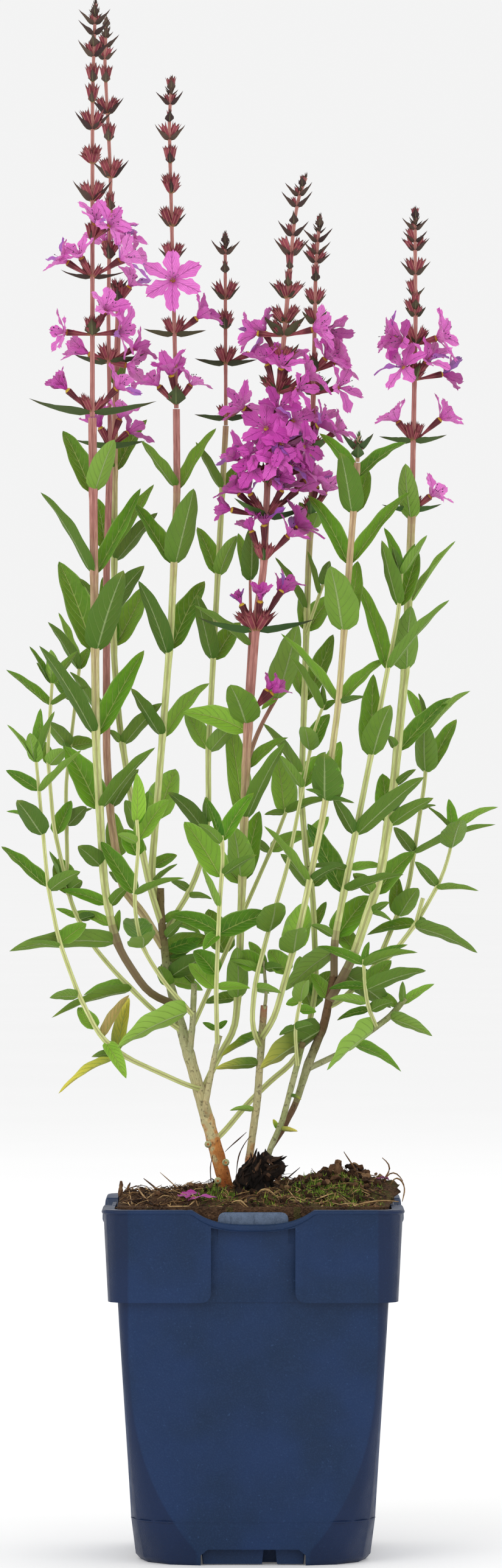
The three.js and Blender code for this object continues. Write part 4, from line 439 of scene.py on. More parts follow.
        (1120, 84, 1067, 24, 1), (1118, 128, 1070, 14, 1), (1118, 48, 1062, 8, -1),
        (1158, 10, 1101, 14, -1), (1158, 147, 1126, 8, 1), (1256, 106, 1230, 26, 1),
        (1255, 74, 1217, 18, -1), (1370, 117, 1315, 26, -1), (1462, 98, 1395, 34, -1),
        (1462, 135, 1447, 22, 1), (1510, 157, 1503, 16, 1), (1626, 84, 1671, 16, 1),
        (1617, 134, 1632, 14, -1),
    ], small_leaves=[
        (1122, 60, 1089, 10, -1), (1507, 92, 1493, 10, -1),
    ]),
    "stem_o": dict(widths=[3.6, 2.2], path=[
        (329, 1789, 0), (310, 1784, -5), (268, 1765, -11), (233, 1749, -15), (206, 1737, -18),
        (166, 1706, -22), (150, 1679, -24), (131, 1639, -26), (118, 1604, -27), (96, 1543, -29),
        (79, 1457, -30), (71, 1377, -31), (64, 1296, -31), (59, 1245, -31),
    ], leaves=[
        (1250, 50, 1203, 26, 1), (1252, 13, 1189, 6, -1), (1252, 68, 1164, 20, -1), (1250, 89, 1168, 12, 1),
        (1298, 10, 1266, 20, -1), (1300, 135, 1235, 10, 1), (1371, 28, 1312, 36, 1),
        (1352, 10, 1331, 10, -1), (1456, 2, 1392, 20, -1), (1462, 132, 1432, 24, 1),
        (1548, 142, 1517, 28, -1), (1637, 82, 1640, 20, 1), (1690, 128, 1655, 26, -1),
        (1705, 211, 1632, 16, -1), (1712, 207, 1773, 24, 1), (1730, 151, 1737, 16, 1),
        (1733, 91, 1792, 12, -1), (1726, 213, 1640, 24, -1),
    ], small_leaves=[
        (1555, 46, 1549, 8, 1),
    ]),
    "stem_p": dict(widths=[3, 2.2], path=[
        (112, 1468, -1), (111, 1440, 6), (110, 1355, 12), (108, 1291, 15), (115, 1221, 18), (127, 1120, 20),
        (131, 1092, 21),
    ], leaves=[
        (1096, 79, 1021, 18, 1), (1096, 148, 1062, 18, -1), (1100, 97, 1006, 12, -1),
        (1150, 88, 1115, 24, -1), (1150, 147, 1130, 14, 1), (1226, 79, 1187, 26, 1),
        (1225, 158, 1220, 26, -1), (1240, 105, 1218, 14, 1), (1356, 142, 1325, 26, 1),
    ], small_leaves=[
        (1350, 152, 1328, 10, -1),
    ]),
    "stem_q": dict(widths=[3.2, 2.4], path=[
        (317, 1668, -6), (305, 1652, -11), (287, 1634, -14), (268, 1612, -17), (246, 1580, -21),
        (233, 1556, -24), (226, 1532, -26), (222, 1503, -28), (221, 1465, -31), (228, 1390, -35),
        (225, 1347, -37),
    ], leaves=[
        (1352, 225, 1270, 24, -1), (1354, 244, 1300, 16, -1), (1378, 277, 1310, 32, -1),
        (1384, 193, 1369, 16, 1), (1467, 166, 1380, 30, -1), (1470, 303, 1440, 10, 1),
        (1545, 215, 1504, 44, -2), (1556, 233, 1538, 44, 2), (1660, 187, 1718, 46, 1),
    ]),
    "stem_r": dict(widths=[3.4, 2.8], path=[
        (357, 1714, -7), (355, 1690, -12), (355, 1626, -18), (356, 1578, -21), (360, 1500, -25),
        (366, 1457, -27), (367, 1404, -29), (364, 1373, -30),
    ], leaves=[
        (1380, 338, 1308, 16, -1), (1380, 417, 1303, 26, -1), (1386, 325, 1352, 16, 1),
        (1440, 303, 1348, 44, -1), (1437, 422, 1405, 14, 1), (1490, 332, 1426, 12, 1),
        (1530, 275, 1503, 26, -1), (1533, 447, 1500, 36, -1), (1535, 334, 1560, 20, 1),
        (1623, 310, 1583, 28, -1), (1623, 413, 1622, 14, -1),
    ], small_leaves=[
        (1692, 333, 1680, 10, -1), (1690, 374, 1676, 10, -1),
    ]),
    "stem_s": dict(widths=[3.6, 2.6], path=[
        (305, 1712, 2), (322, 1675, 12), (333, 1650, 13), (358, 1590, 13), (385, 1535, 13), (403, 1491, 13),
        (424, 1445, 14), (441, 1407, 15), (451, 1383, 15), (472, 1328, 16),
    ], leaves=[
        (1332, 455, 1240, 42, -1), (1332, 550, 1308, 14, 1), (1400, 402, 1370, 18, 1),
        (1398, 512, 1368, 24, -1),
    ], small_leaves=[
        (1336, 434, 1338, 12, 1),
    ]),
    "stem_t": dict(widths=[3.8, 2], path=[
        (429, 1722, 3), (418, 1700, -3), (413, 1680, -5), (416, 1650, -6), (420, 1610, -7), (435, 1545, -9),
        (445, 1515, -10), (457, 1480, -10), (472, 1426, -10), (481, 1372, -10), (492, 1318, -9),
        (508, 1233, -8), (517, 1195, -8), (526, 1167, -8), (536, 1148, -8),
    ], leaves=[
        (1164, 480, 1073, 12, 1), (1232, 502, 1192, 30, 2), (1230, 541, 1170, 28, -1),
        (1292, 535, 1232, 22, -1), (1294, 452, 1242, 14, 1), (1626, 456, 1648, 14, -1),
        (1622, 462, 1632, 16, 1),
    ], small_leaves=[
        (1166, 553, 1150, 12, -1), (1160, 530, 1125, 10, 1),
    ]),
    "stem_v": dict(widths=[3, 2.2], path=[
        (619, 1688, 9), (612, 1668, 1), (603, 1650, -4), (598, 1620, -9), (597, 1590, -13),
        (598, 1577, -14),
    ], leaves=[
        (1582, 522, 1557, 16, -1), (1582, 670, 1553, 14, -1), (1586, 687, 1562, 16, 1),
        (1621, 545, 1625, 14, -1), (1620, 643, 1579, 28, -1), (1625, 702, 1590, 26, 1),
        (1660, 553, 1676, 14, -1), (1660, 646, 1646, 20, 1), (1648, 542, 1641, 16, 1),
    ], small_leaves=[
        (1584, 606, 1546, 12, -1),
    ]),
    "stem_w": dict(widths=[2.8, 2.2], path=[
        (489, 1750, -5), (484, 1720, -10), (484, 1690, -12), (487, 1665, -14), (495, 1638, -15),
    ], leaves=[
        (1645, 503, 1607, 26, 2), (1645, 470, 1650, 18, -1), (1660, 520, 1662, 18, -1),
        (1690, 515, 1682, 18, 1), (1690, 458, 1700, 16, 1),
    ]),
}

# The rows between which each stem turns from green, below, to reddish brown, above
REDDENS = {
    "stem_a": (1250, 850), "stem_b": (1900, 1100), "stem_c": (900, 640), "stem_d": (1000, 760),
    "stem_e": (820, 640), "stem_f": (1500, 1150), "stem_g": (1000, 700), "stem_h": (1500, 500),
    "stem_i": (960, 780),
}

# The rows of a stem that is green throughout
GREEN_THROUGHOUT = (0, -400)

# Stems whose foot is brown, and over how many rows
BROWN_FEET = {"stem_a": 150, "stem_i": 90, "stem_j": 90, "stem_f": 40}

# How much stouter leafy stems and spikes are than their solids
STEM_STOUTNESS = 1.15
SPIKE_STOUTNESS = 1.2

# Spikes whose flowers are deeper in colour below a row
DEEP_MAGENTA = {"spike_f": 640}
DEEP_SHADE = 0.55

# Leaves that are paler or older than the rest: lime below zero, yellow to dry above
LEAF_AGES = {
    ("stem_h", 1562, 500): -0.8, ("stem_h", 1565, 488): -0.3, ("stem_o", 1705, 211): 0.95,
    ("stem_o", 1726, 213): 0.6, ("stem_o", 1733, 91): 0.6, ("stem_o", 1712, 207): -0.8,
    ("stem_q", 1352, 225): -0.9, ("stem_q", 1660, 187): -1.0, ("stem_r", 1623, 310): -0.8,
    ("stem_w", 1645, 503): -0.7, ("right_low", 1690, 508): -0.9, ("right_crown", 1690, 437): 0.32,
    ("stem_f", 1345, 361): -0.5, ("stem_f", 1442, 388): -0.5, ("stem_f", 1200, 302): -0.7,
    ("stem_f", 1189, 384): 0.0, ("stem_s", 1332, 455): -0.6, ("middle_crown", 1748, 354): 0.35,
    ("stem_j", 1562, 478): -0.7, ("stem_o", 1690, 128): -0.6, ("middle_crown", 1700, 394): 0.3,
    ("right_stub", 1855, 489): 0.6, ("right_stub", 1800, 496): 0.3, ("right_stub", 1855, 449): 0.4,
    ("middle_crown", 1824, 377): -0.8,
}

# Woody stems: the rows between which their tone runs, knots, branch scars, and reddish or dark rows
WOODY = {
    "left_crown": dict(
        tone_rows=(1975, 1560), knots=((1733, 0.1), (1839, 0.14), (1648, 0.08)), seed=3,
        scars=((342, 1880, -10), (371, 1910, -12), (358, 1940, -12)), blush=((1540, -0.8), (1590, 0)),
    ),
    "middle_crown": dict(
        tone_rows=(2200, 1300), knots=((1905, 0.08), (1700, 0.1)), seed=11,
        blush=((1650, 0.8), (1672, 0.5), (1692, 0), (1885, 0), (1905, 0.4)),
    ),
    "right_crown": dict(
        tone_rows=(2500, 1600), knots=((1857, 0.1), (1752, 0.12), (1690, 0.08)), seed=17,
        blush=((1690, -1), (1755, -0.1), (1800, -0.1), (1815, -1)),
    ),
    "right_stub": dict(
        tone_rows=(2900, 1600), knots=((1784, 0.1),), seed=23, blush=((1714, -1), (1726, 0)),
    ),
    "right_low": dict(tone_rows=(2900, 1500), knots=((1708, 0.1),), seed=29),
}

# Flowers that fill the densest parts of the spikes, between those that the frame has: a row, the
# mouth's column and row, its lean to the front, its petals' length and their spread
MORE_FLOWERS = {
    "stem_a": ((395, 178, 372, 30, 40, 70), (456, 134, 424, 20, 38, 60), (550, 172, 512, 34, 42, 60)),
    "stem_b": ((425, 196, 396, 12, 46, 60), (440, 214, 424, -8, 44, 65), (595, 206, 600, 8, 42, 60),
               (733, 196, 690, 6, 40, 45)),
    "stem_d": ((664, 282, 618, 22, 42, 45),),
    "stem_f": ((595, 436, 548, -8, 40, 50), (640, 462, 606, 22, 38, 60), (645, 486, 640, 24, 38, 60),
               (700, 458, 672, 34, 38, 60), (735, 462, 728, 48, 40, 75), (730, 410, 742, 30, 40, 65),
               (765, 452, 756, 50, 38, 70), (745, 498, 734, 38, 42, 70), (770, 418, 768, 30, 38, 60),
               (790, 478, 766, 36, 40, 65), (800, 452, 784, 30, 36, 60), (850, 412, 812, 24, 40, 50),
               (850, 462, 806, 26, 40, 50), (850, 500, 790, 8, 42, 55), (920, 434, 864, 18, 44, 50),
               (920, 486, 866, 6, 46, 60), (1036, 462, 972, 8, 38, 40), (1174, 446, 1140, 8, 30, 40)),
    "stem_g": ((610, 534, 590, 12, 42, 60), (735, 520, 700, 10, 42, 55), (845, 520, 800, 14, 38, 45)),
    "stem_i": ((566, 664, 560, 18, 40, 60), (624, 700, 596, 20, 42, 60)),
}

# Leaves that fill the crowded foot of the plant, as the leaves of the frame are given
MORE_LEAVES = {
    "left_crown": ((1575, 318, 1616, 46, -1), (1560, 350, 1545, 34, -1)),
    "stem_a": ((1520, 120, 1497, 16, -1),),
    "stem_g": ((1655, 492, 1572, 46, -1), (1640, 548, 1596, 34, -1)),
    "stem_h": ((1600, 442, 1560, 34, -1),),
    "stem_i": ((1600, 642, 1655, 44, -1), (1560, 548, 1520, 30, -1)),
    "stem_n": ((1468, 98, 1408, 40, -1),),
    "stem_q": ((1405, 205, 1362, 34, -1),),
    "stem_r": ((1600, 318, 1560, 34, -1),),
    "stem_s": ((1565, 342, 1495, 44, -1),),
    "stem_t": ((1530, 452, 1484, 44, 2), (1590, 380, 1568, 34, -1)),
}

# Moss: across, back, the half widths of the patch, and how thick it grows
MOSS_PATCHES = (
    (33, -20, 22, 32, 1.0), (-15, -26, 10, 24, 0.9), (6, -46, 22, 10, 0.5), (48, -48, 12, 10, 0.5),
)

# The stump's trunk from its foot up: a column, a row, a half width and a depth
TRUNK = (
    (422, 1996, 30, -13), (418, 1972, 34, -13), (416, 1945, 31, -12.5), (420, 1920, 24, -12),
    (424, 1904, 12, -12),
)
DEEPEST_TRUNK = 22

# Its arms and root: their places, and the half width at each
STUMP_ARMS = (
    (((424, 1912, -12), (440, 1903, -13), (456, 1910, -15), (468, 1917, -16)), (8, 7, 6, 3)),
    (((426, 1934, -13), (448, 1930, -16), (460, 1924, -17), (466, 1914, -16)), (10, 8, 6, 4)),
    (((400, 1950, -14), (386, 1972, -18), (380, 1990, -20)), (9, 7, 5)),
    (((420, 1918, -11), (430, 1905, -10), (441, 1894, -10)), (12, 9, 5)),
)

# How many shreds cover the stump, and how many splinters stand out at its right
SHREDS = 210
SPLINTERS = 34

# The mound at the soil's right, as in the frame: its middle, half widths and height
MOUND_MIDDLE = (38, 12)
MOUND_SPREAD = (26, 30)
MOUND_HEIGHT = 5.5

# Where loose crumbs lie thickest
LOOSE_MIDDLE = (42, 8)
LOOSE_SPREAD = (20, 34)

# Heaps of soil: across, back, their half widths, height
HEAPS = ((38, 6, 15, 24, 3.2), (58, 4, 8, 26, 4.5), (-53, -4, 10, 30, 2.5), (-24, 14, 9, 14, 1.8))

# How many places are tried for crumbs, fibres and moss tufts
CRUMBS = 1300
FIBRES = 900
TUFTS = 9000

# Loose fibres and dried roots: places, half width in millimetres, tone
STRANDS = (
    (((565, 1892, 4), (573, 1905, 3), (583, 1918, 2), (593, 1944, 2)), 0.35, 0.3),
    (((628, 1902, 8), (640, 1911, 8), (643, 1922, 7), (630, 1938, 6), (622, 1954, 6)), 0.38, 0.5),
    (((458, 1948, -14), (480, 1929, -15), (493, 1918, -16)), 0.35, 0.05),
    (((370, 1892, -5), (380, 1882, -8), (392, 1872, -8), (405, 1860, -5)), 0.3, 0.2),
    (((388, 1932, -6), (390, 1910, -6), (393, 1895, -9), (403, 1876, -8), (412, 1866, -4)), 0.3, 0.15),
    (((349, 1956, -6), (346, 1935, -6), (345, 1915, -7), (350, 1898, -4)), 0.28, 0.2),
    (((263, 1926, 6), (280, 1941, 4), (302, 1962, 0)), 0.25, 0.7),
    (((236, 1936, 10), (250, 1947, 8), (268, 1962, 4)), 0.4, 0.25),
    (((420, 1978, -36), (421, 1959, -38), (435, 1951, -40), (451, 1961, -38), (462, 1979, -34)),
     0.42, 0.85),
    (((384, 1980, -40), (401, 1979, -46), (421, 1994, -50)), 0.45, 0.9),
    (((411, 1981, -46), (422, 1994, -49)), 0.42, 0.9),
    (((391, 1984, -50), (404, 1993, -52)), 0.35, 1.0),
    (((425, 1963, -38), (447, 1971, -42), (477, 1984, -46), (487, 1992, -48)), 0.75, 0.25),
    (((473, 1954, -30), (489, 1974, -36), (507, 1985, -42)), 0.3, 0.85),
    (((190, 1984, -44), (222, 1981, -48)), 0.4, 0.55),
    (((226, 1951, -4), (234, 1963, -20), (244, 1974, -34)), 0.45, 0.7),
    (((212, 1955, -6), (218, 1983, -40)), 0.3, 0.7),
    (((251, 1951, 0), (278, 1956, -6), (289, 1968, -24)), 0.35, 0.6),
    (((269, 1973, -30), (285, 1988, -50)), 0.4, 0.8),
    (((346, 1962, -28), (355, 1980, -44)), 0.32, 0.65),
    (((199, 1940, -8), (200, 1951, -8), (196, 1966, -12)), 1.2, 0.35),
    (((214, 1943, -6), (208, 1956, -8)), 0.6, 0.3),
    (((560, 1990, -50), (590, 1978, -46), (625, 1972, -40), (655, 1974, -36)), 0.4, 0.8),
    (((505, 1978, -40), (525, 1968, -38), (548, 1960, -34)), 0.35, 0.9),
    (((192, 1988, -30), (205, 1984, -38), (222, 1983, -44)), 0.4, 0.75),
    (((638, 1956, 0), (648, 1932, -2), (661, 1938, -4), (666, 1954, -8), (661, 1974, -14)), 0.4, 0.6),
    (((626, 1956, 4), (638, 1926, 4), (652, 1925, 2), (662, 1940, 0)), 0.35, 0.45),
)

# Fallen petals: a column, a row, a depth, the way that the petal points in degrees, and its length
FALLEN_PETALS = (
    (310, 1974, -22, 35, 11), (332, 1986, -42, 5, 12), (303, 1982, -34, 120, 8), (629, 1934, 4, 200, 6),
)

# The soil's rings: height, half width and corner radius, from the pot's floor up to its rim, then the
# rings of its top, which shrink to the innermost share
SOIL_RINGS = ((10.4, 49.1, 26), (40, 51.2, 11), (65, 52.7, 6), (100, 54.9, 5), (149, 58.2, 6.4))
SOIL_HALF = 58.2
SOIL_CORNER = 6.4
SOIL_UNDER_RIM = 153.6
SOIL_AT_RIM = 154
MOSS_ABOVE = 148
SOIL_STEPS = 64
SOIL_INNERMOST = 0.012

# Where the soil bulges over the rim: how far, beyond what place at the right, and where along it
BULGE = 4.8
BULGE_FROM = 50
BULGE_MIDDLE = 2
BULGE_SPREAD = 30

# How far from the middle loose pieces start, and how far fibres reach
POT_REACH = 56.0
LONGEST_REACH = 57.5

# The pot's lip: half width, corner radius and drop below the top, and the radius of its bead with what
# that gains where the rim dips. Its seam: half width, corner radius, height and the bead's radius
LIP = (63.9, 9.7, 1.05)
LIP_BEAD = (0.95, 0.55)
SEAM = (52.35, 19.8, 18.9, 0.3)

# How deep the rim dips in the middle of a side, and over what half width
RIM_DIP = 6.5
RIM_DIP_HALF = 26

# The pot's rounded edges: how wide, from what angle on, and what counts as one flat face
ROUNDED_EDGE = 0.45
ROUNDED_FROM = math.radians(45)
FLAT_WITHIN = math.radians(0.5)

# A label tab: its outline, back and thickness, where its ribs stand and how each runs up it. Then the
# solid's tab: how far out its foot is, between what heights, and where it ends behind the lip
TAB_HALF = 15
TAB_FOOT = 146
TAB_TOP = 152
TAB_CORNER = 2.9
TAB_BACK = -60.9
TAB_THICKNESS = 0.3
TAB_RIBS = (-9.5, 0.3, 9.5)
TAB_RIB_LINE = ((-61.25, 147.2), (-61.3, 148.8), (-61.25, 150.4))
TAB_RIB_RADII = (0.2, 0.35, 0.2)
TAB_WALL = (60.6, 61.4)
TAB_FEET = (130, 145)
TAB_END = 145.2

# The low plates behind each notch of the foot: the left and right end of the top, and the back
FOOT_PLATES = ((-22.4, 4.6, -45.2), (9.6, 22.4, -45.2), (2, 12.5, -38))
FOOT_PLATE_LOW = 0.4
FOOT_PLATE_HIGH = 7.7
FOOT_PLATE_SLANT = 0.8
FOOT_PLATE_THICKNESS = 1.6

# The pot's flat panels, outside which the corners get a painted shade and a smoother finish: where they
# begin to narrow, over what height, and by how much
PANEL_TOP = 108 * MM
PANEL_DROP = 102 * MM
PANEL_HALF = 53.4 * MM
PANEL_NARROWING = 29 * MM

# The studio, in metres: the floor's half width, each lamp's place, size and power, and what they aim at
FLOOR = 60.0
LAMPS = {
    "key_lamp": ((-1.6, -2.4, 2.2), 1.8, 24),
    "fill_lamp": ((2.0, -2.0, 1.4), 2.2, 8),
    "back_lamp": ((0.6, 1.8, 2.4), 2.0, 12),
}
LAMP_AIM = (0, 0, 0.33)
ROOM_LIGHT = 0.9


# Layout: the same rules as the frame's


def view_point(place):
    """A place of the front view in millimetres: columns and rows spread with the distance to the eye."""
    column, row, depth = place
    spread = (VIEW_DISTANCE + depth) / VIEW_DISTANCE
    across = VIEW_MIDDLE[0] - VIEW_POT_COLUMN + (column - VIEW_MIDDLE[0]) * spread
    up = VIEW_GROUND_ROW - VIEW_MIDDLE[1] - (row - VIEW_MIDDLE[1]) * spread
    return np.array([across * VIEW_STEP, depth, up * VIEW_STEP])


def row_height(row):
    """How high a row lies at the pot's middle, in millimetres."""
    return view_point((VIEW_MIDDLE[0], row, 0))[2]


def noise(seed):
    """A number from 0 to 1 that jumps with the seed: the fraction of a large sine."""
    wave = math.sin(seed * 12.9898) * 43758.5453
    return wave - math.floor(wave)


def unit(vector):
    """Vectors of length one along the last axis."""
    return vector / np.maximum(np.linalg.norm(vector, axis=-1, keepdims=True), 1e-12)


def axis_at(path, row):
    """The place on a path at a row, straight between the places on either side."""
    for lower, upper in zip(path, path[1:]):
        if upper[1] <= row <= lower[1]:
            share = (lower[1] - row) / (lower[1] - upper[1])
            return [a + (b - a) * share for a, b in zip(lower, upper)]
    return path[0] if row > path[0][1] else path[-1]


def straightened(path):
    """Which places of a path stay when those near the straight line between the others go."""

    def off_line(start, end, place):
        share = (start[1] - place[1]) / ((start[1] - end[1]) or 1)
        return math.hypot(*(place[k] - start[k] - share * (end[k] - start[k]) for k in (0, 2)))

    def fits(start, end):
        between = path[start + 1 : end]
        return all(off_line(path[start], path[end], place) <= PATH_SLACK for place in between)

    kept = [0]
    while kept[-1] < len(path) - 1:
        end = kept[-1] + 1
        while end + 1 < len(path) and fits(kept[-1], end + 1):
            end += 1
        kept.append(end)
    return kept


def run_of(path, widths):
    """A run of stem: its places, and a half width at each, given singly or even from foot to top."""
    kept = straightened(path)
    places = [path[i] for i in kept]
    if len(widths) == len(path):
        return places, [widths[i] for i in kept]
    foot, top = places[0][1], places[-1][1]
    shares = [(foot - place[1]) / (foot - top) for place in places]
    return places, [widths[0] + (widths[1] - widths[0]) * share for share in shares]


def stalk_of(stem):
    """The run of a stem up to the foot of its spike, or to its tip."""
    if "spike" not in stem:
        return run_of(stem["path"], stem["widths"])
    below = [place for place in stem["path"] if place[1] > stem["spike"] + STEM_MARGIN]
    return run_of(below + [axis_at(stem["path"], stem["spike"])], stem["widths"][:2])


def spike_of(stem):
    """The run of a flowering stem from the foot of its spike to the tip."""
    foot = stem["spike"] - SEAT_GAP / VIEW_STEP
    above = [place for place in stem["path"] if place[1] < foot - STEM_MARGIN]
    return run_of([axis_at(stem["path"], foot)] + above, stem["widths"][2:])


def branches_of(stem):
    """The runs of a stem's side branches."""
    return [run_of(branch["path"], branch["widths"]) for branch in stem.get("branches", [])]


def seat_offset(run, row):
    """How far from the axis a piece at a row has its foot: a share of the stem's half width there."""
    path, widths = run
    i = 0
    while i + 2 < len(path) and path[i + 1][1] > row:
        i += 1
    part = (path[i][1] - row) / (path[i][1] - path[i + 1][1])
    part = min(max(part, 0), 1)
    return FOOT_SHARE * (widths[i] + (widths[i + 1] - widths[i]) * part) * VIEW_STEP


def turned(base, target, turn):
    """The target after a turn about the base: its azimuth and rise plus the turn's, and its reach times
    the turn's share."""
    yaw, pitch, share = turn
    run = (target - base) * share
    azimuth = math.atan2(run[1], run[0]) + math.radians(yaw)
    rise = math.atan2(run[2], math.hypot(run[0], run[1])) + math.radians(pitch)
    length = float(np.linalg.norm(run))
    level = length * math.cos(rise)
    return base + np.array(
        [level * math.cos(azimuth), level * math.sin(azimuth), length * math.sin(rise)]
    )


def outward(base, end):
    """The level direction from a base towards an end."""
    return unit(np.array([end[0] - base[0], end[1] - base[1], 0.0]))


def full_width(width, reach):
    """How wide a leaf is in view steps, from how wide it looks and how far it reaches."""
    return max(FORESHORTENED * width, min(NARROWEST_LEAF, NARROWEST_SHARE * reach))


def lean_of(across, down, width, side):
    """How far a leaf's tip leans out of the front view, from how narrow it looks there."""
    reach = math.hypot(across, down)
    if abs(side) == 2:
        return side / 2 * STRAIGHT_LEAN
    full = full_width(width, reach)
    lean = abs(across) * width / math.sqrt(max(full * full - width * width, 1))
    least = BROAD_LEAN if width >= BROAD_LEAF else NARROW_LEAN
    return side * min(max(lean, least * reach), MOST_LEAN * reach)


def level_side(base, tip):
    """The level direction across a blade that runs from a base to a tip."""
    side = np.array([tip[1] - base[1], base[0] - tip[0], 0.0])
    if np.linalg.norm(side) < 0.02 * np.linalg.norm(tip - base):
        side = np.array([1.0, 0.0, 0.0])
    return unit(side)


def roll_of(base, tip, share, side):
    """How far a leaf rolls about its length to look that share of its width from the front."""
    forward = unit(tip - base)
    level = level_side(base, tip)
    upright = np.cross(level, forward)
    seen = unit(np.array([-forward[2], 0.0, forward[0]]))
    phase = math.atan2(upright @ seen, level @ seen)
    opening = math.acos(min(share, 1))
    best, least = 0.0, math.inf
    edges = (phase - opening, phase + opening)
    for turn in (*edges, *(edge + math.pi for edge in edges)):
        roll = math.atan2(math.sin(turn), math.cos(turn))
        facing = upright[1] * math.cos(roll) - level[1] * math.sin(roll)
        cost = abs(roll) + (0 if facing * side > 0 else WRONG_SIDE)
        if cost < least:
            best, least = roll, cost
    return min(max(best, -MOST_ROLL), MOST_ROLL)


def blade_frame(base, tip, arch, roll, shares):
    """Middle line, side and normal of a blade at shares of its length: a quadratic curve whose middle
    point is raised by the arch, with the level side and the upright turned about it by the roll."""
    level = level_side(base, tip)
    bend = (base + tip) / 2 + np.array([0, 0, arch * np.linalg.norm(tip - base)])
    t = np.asarray(shares, float)[:, None]
    middle = (1 - t) ** 2 * base + 2 * t * (1 - t) * bend + t**2 * tip
    tangent = unit(2 * (1 - t) * (bend - base) + 2 * t * (tip - bend))
    upright = unit(np.cross(level[None], tangent))
    side = level * math.cos(roll) + upright * math.sin(roll)
    normal = upright * math.cos(roll) - level * math.sin(roll)
    return middle, side, normal


def blade_corners(base, tip, width, stations, keel, arch, roll):
    """The corners of a blade's solid: its tip, and both edges at each station."""
    places, shares = zip(*stations)
    middle, side, normal = blade_frame(base, tip, arch, roll, places)
    half = (width * np.array(shares) / 2)[:, None]
    lift = np.maximum(keel, LEAF_FOLD * width * np.array(shares))[:, None] / 2
    left, right = middle + side * half, middle - side * half
    return np.concatenate([[tip], left + normal * lift, right + normal * lift])


def across(axis):
    """Two directions square to an axis."""
    first = np.cross((0, 0, 1), axis)
    if np.linalg.norm(first) < 0.1:
        first = np.array([1.0, 0.0, 0.0])
    first = unit(first)
    return first, np.cross(axis, first)


def calyx_corners(foot, mouth, roll):
    """The corners of a calyx's solid: three teeth round a sunken middle."""
    axis = unit(mouth - foot)
    length = np.linalg.norm(mouth - foot)
    u, v = across(axis)
    angles = roll + np.arange(CALYX_TEETH)[:, None] * 2 * math.pi / CALYX_TEETH
    teeth = mouth + CALYX_RADIUS * length * (u * np.cos(angles) + v * np.sin(angles))
    return np.concatenate([teeth, [mouth - axis * CALYX_DEPTH * length]])


def petals_of(foot, mouth, petal, spread, seed, count):
    """For each petal of a flower: its direction, the way up from it, the way across it and its length."""
    axis = unit(mouth - foot)
    u, v = across(axis)
    k = np.arange(count)
    angles = (2 * math.pi * noise(seed) + k * 2 * math.pi / count)[:, None]
    out = u * np.cos(angles) + v * np.sin(angles)
    aslant = np.radians([spread * (0.88 + 0.24 * noise(seed + i + 0.3)) for i in k])[:, None]
    forward = axis * np.cos(aslant) + out * np.sin(aslant)
    upward = axis * np.sin(aslant) - out * np.cos(aslant)
    length = np.array([petal * (0.86 + 0.22 * noise(seed + i + 0.7)) for i in k])[:, None]
    return forward, upward, np.cross(axis, out), length


def flower_corners(foot, mouth, petal, spread, seed, count):
    """The corners of a flower's solid: each petal's two tips and its rib."""
    forward, upward, sideways, length = petals_of(foot, mouth, petal, spread, seed, count)
    slopes = np.array([0.12 * (noise(seed + i + 0.5) - 0.5) for i in range(count)])[:, None] * length
    half = PETAL_WIDTH * petal / 2
    left = mouth + forward * (0.9 * length + slopes) - sideways * half
    right = mouth + forward * (0.9 * length - slopes) + sideways * half
    rib = mouth + forward * 0.55 * length + upward * PETAL_THICKNESS
    return np.concatenate([left, right, rib])


def corner_tree(node):
    """The corners of a node of the frame, in layout millimetres, for finding the nearest."""
    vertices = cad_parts[node].data.vertices
    places = np.zeros(len(vertices) * 3)
    vertices.foreach_get("co", places)
    tree = KDTree(len(vertices))
    for i, place in enumerate(places.reshape(-1, 3) / MM - SHIFT):
        tree.insert(place, i)
    tree.balance()
    return tree


def settled(tree, base, target, offset, corners_for):
    """Where a piece stands: foot, end and share for the turn whose corners the node has, or None."""
    best = (math.inf,)
    for turn in TURNS:
        end = turned(base, target, turn)
        foot = base + outward(base, end) * offset
        gaps = sorted(tree.find(corner)[2] for corner in corners_for(foot, end, turn[2]))
        gap = gaps[len(gaps) // 2]
        if gap < best[0]:
            best = (gap, foot, end, turn[2])
        if gap < NEAR_ENOUGH:
            break
    return best[1:] if best[0] < LOOSE_FIT else None


# Skins: surfaces worked out on grids, gathered into pieces


def quads(index, wrap=False):
    """The four-cornered faces of a grid of point numbers, closed round its columns if it wraps."""
    if wrap:
        index = np.concatenate([index, index[:, :1]], axis=1)
    corners = (index[:-1, :-1], index[:-1, 1:], index[1:, 1:], index[1:, :-1])
    return np.stack(corners, axis=-1).reshape(-1, 4)


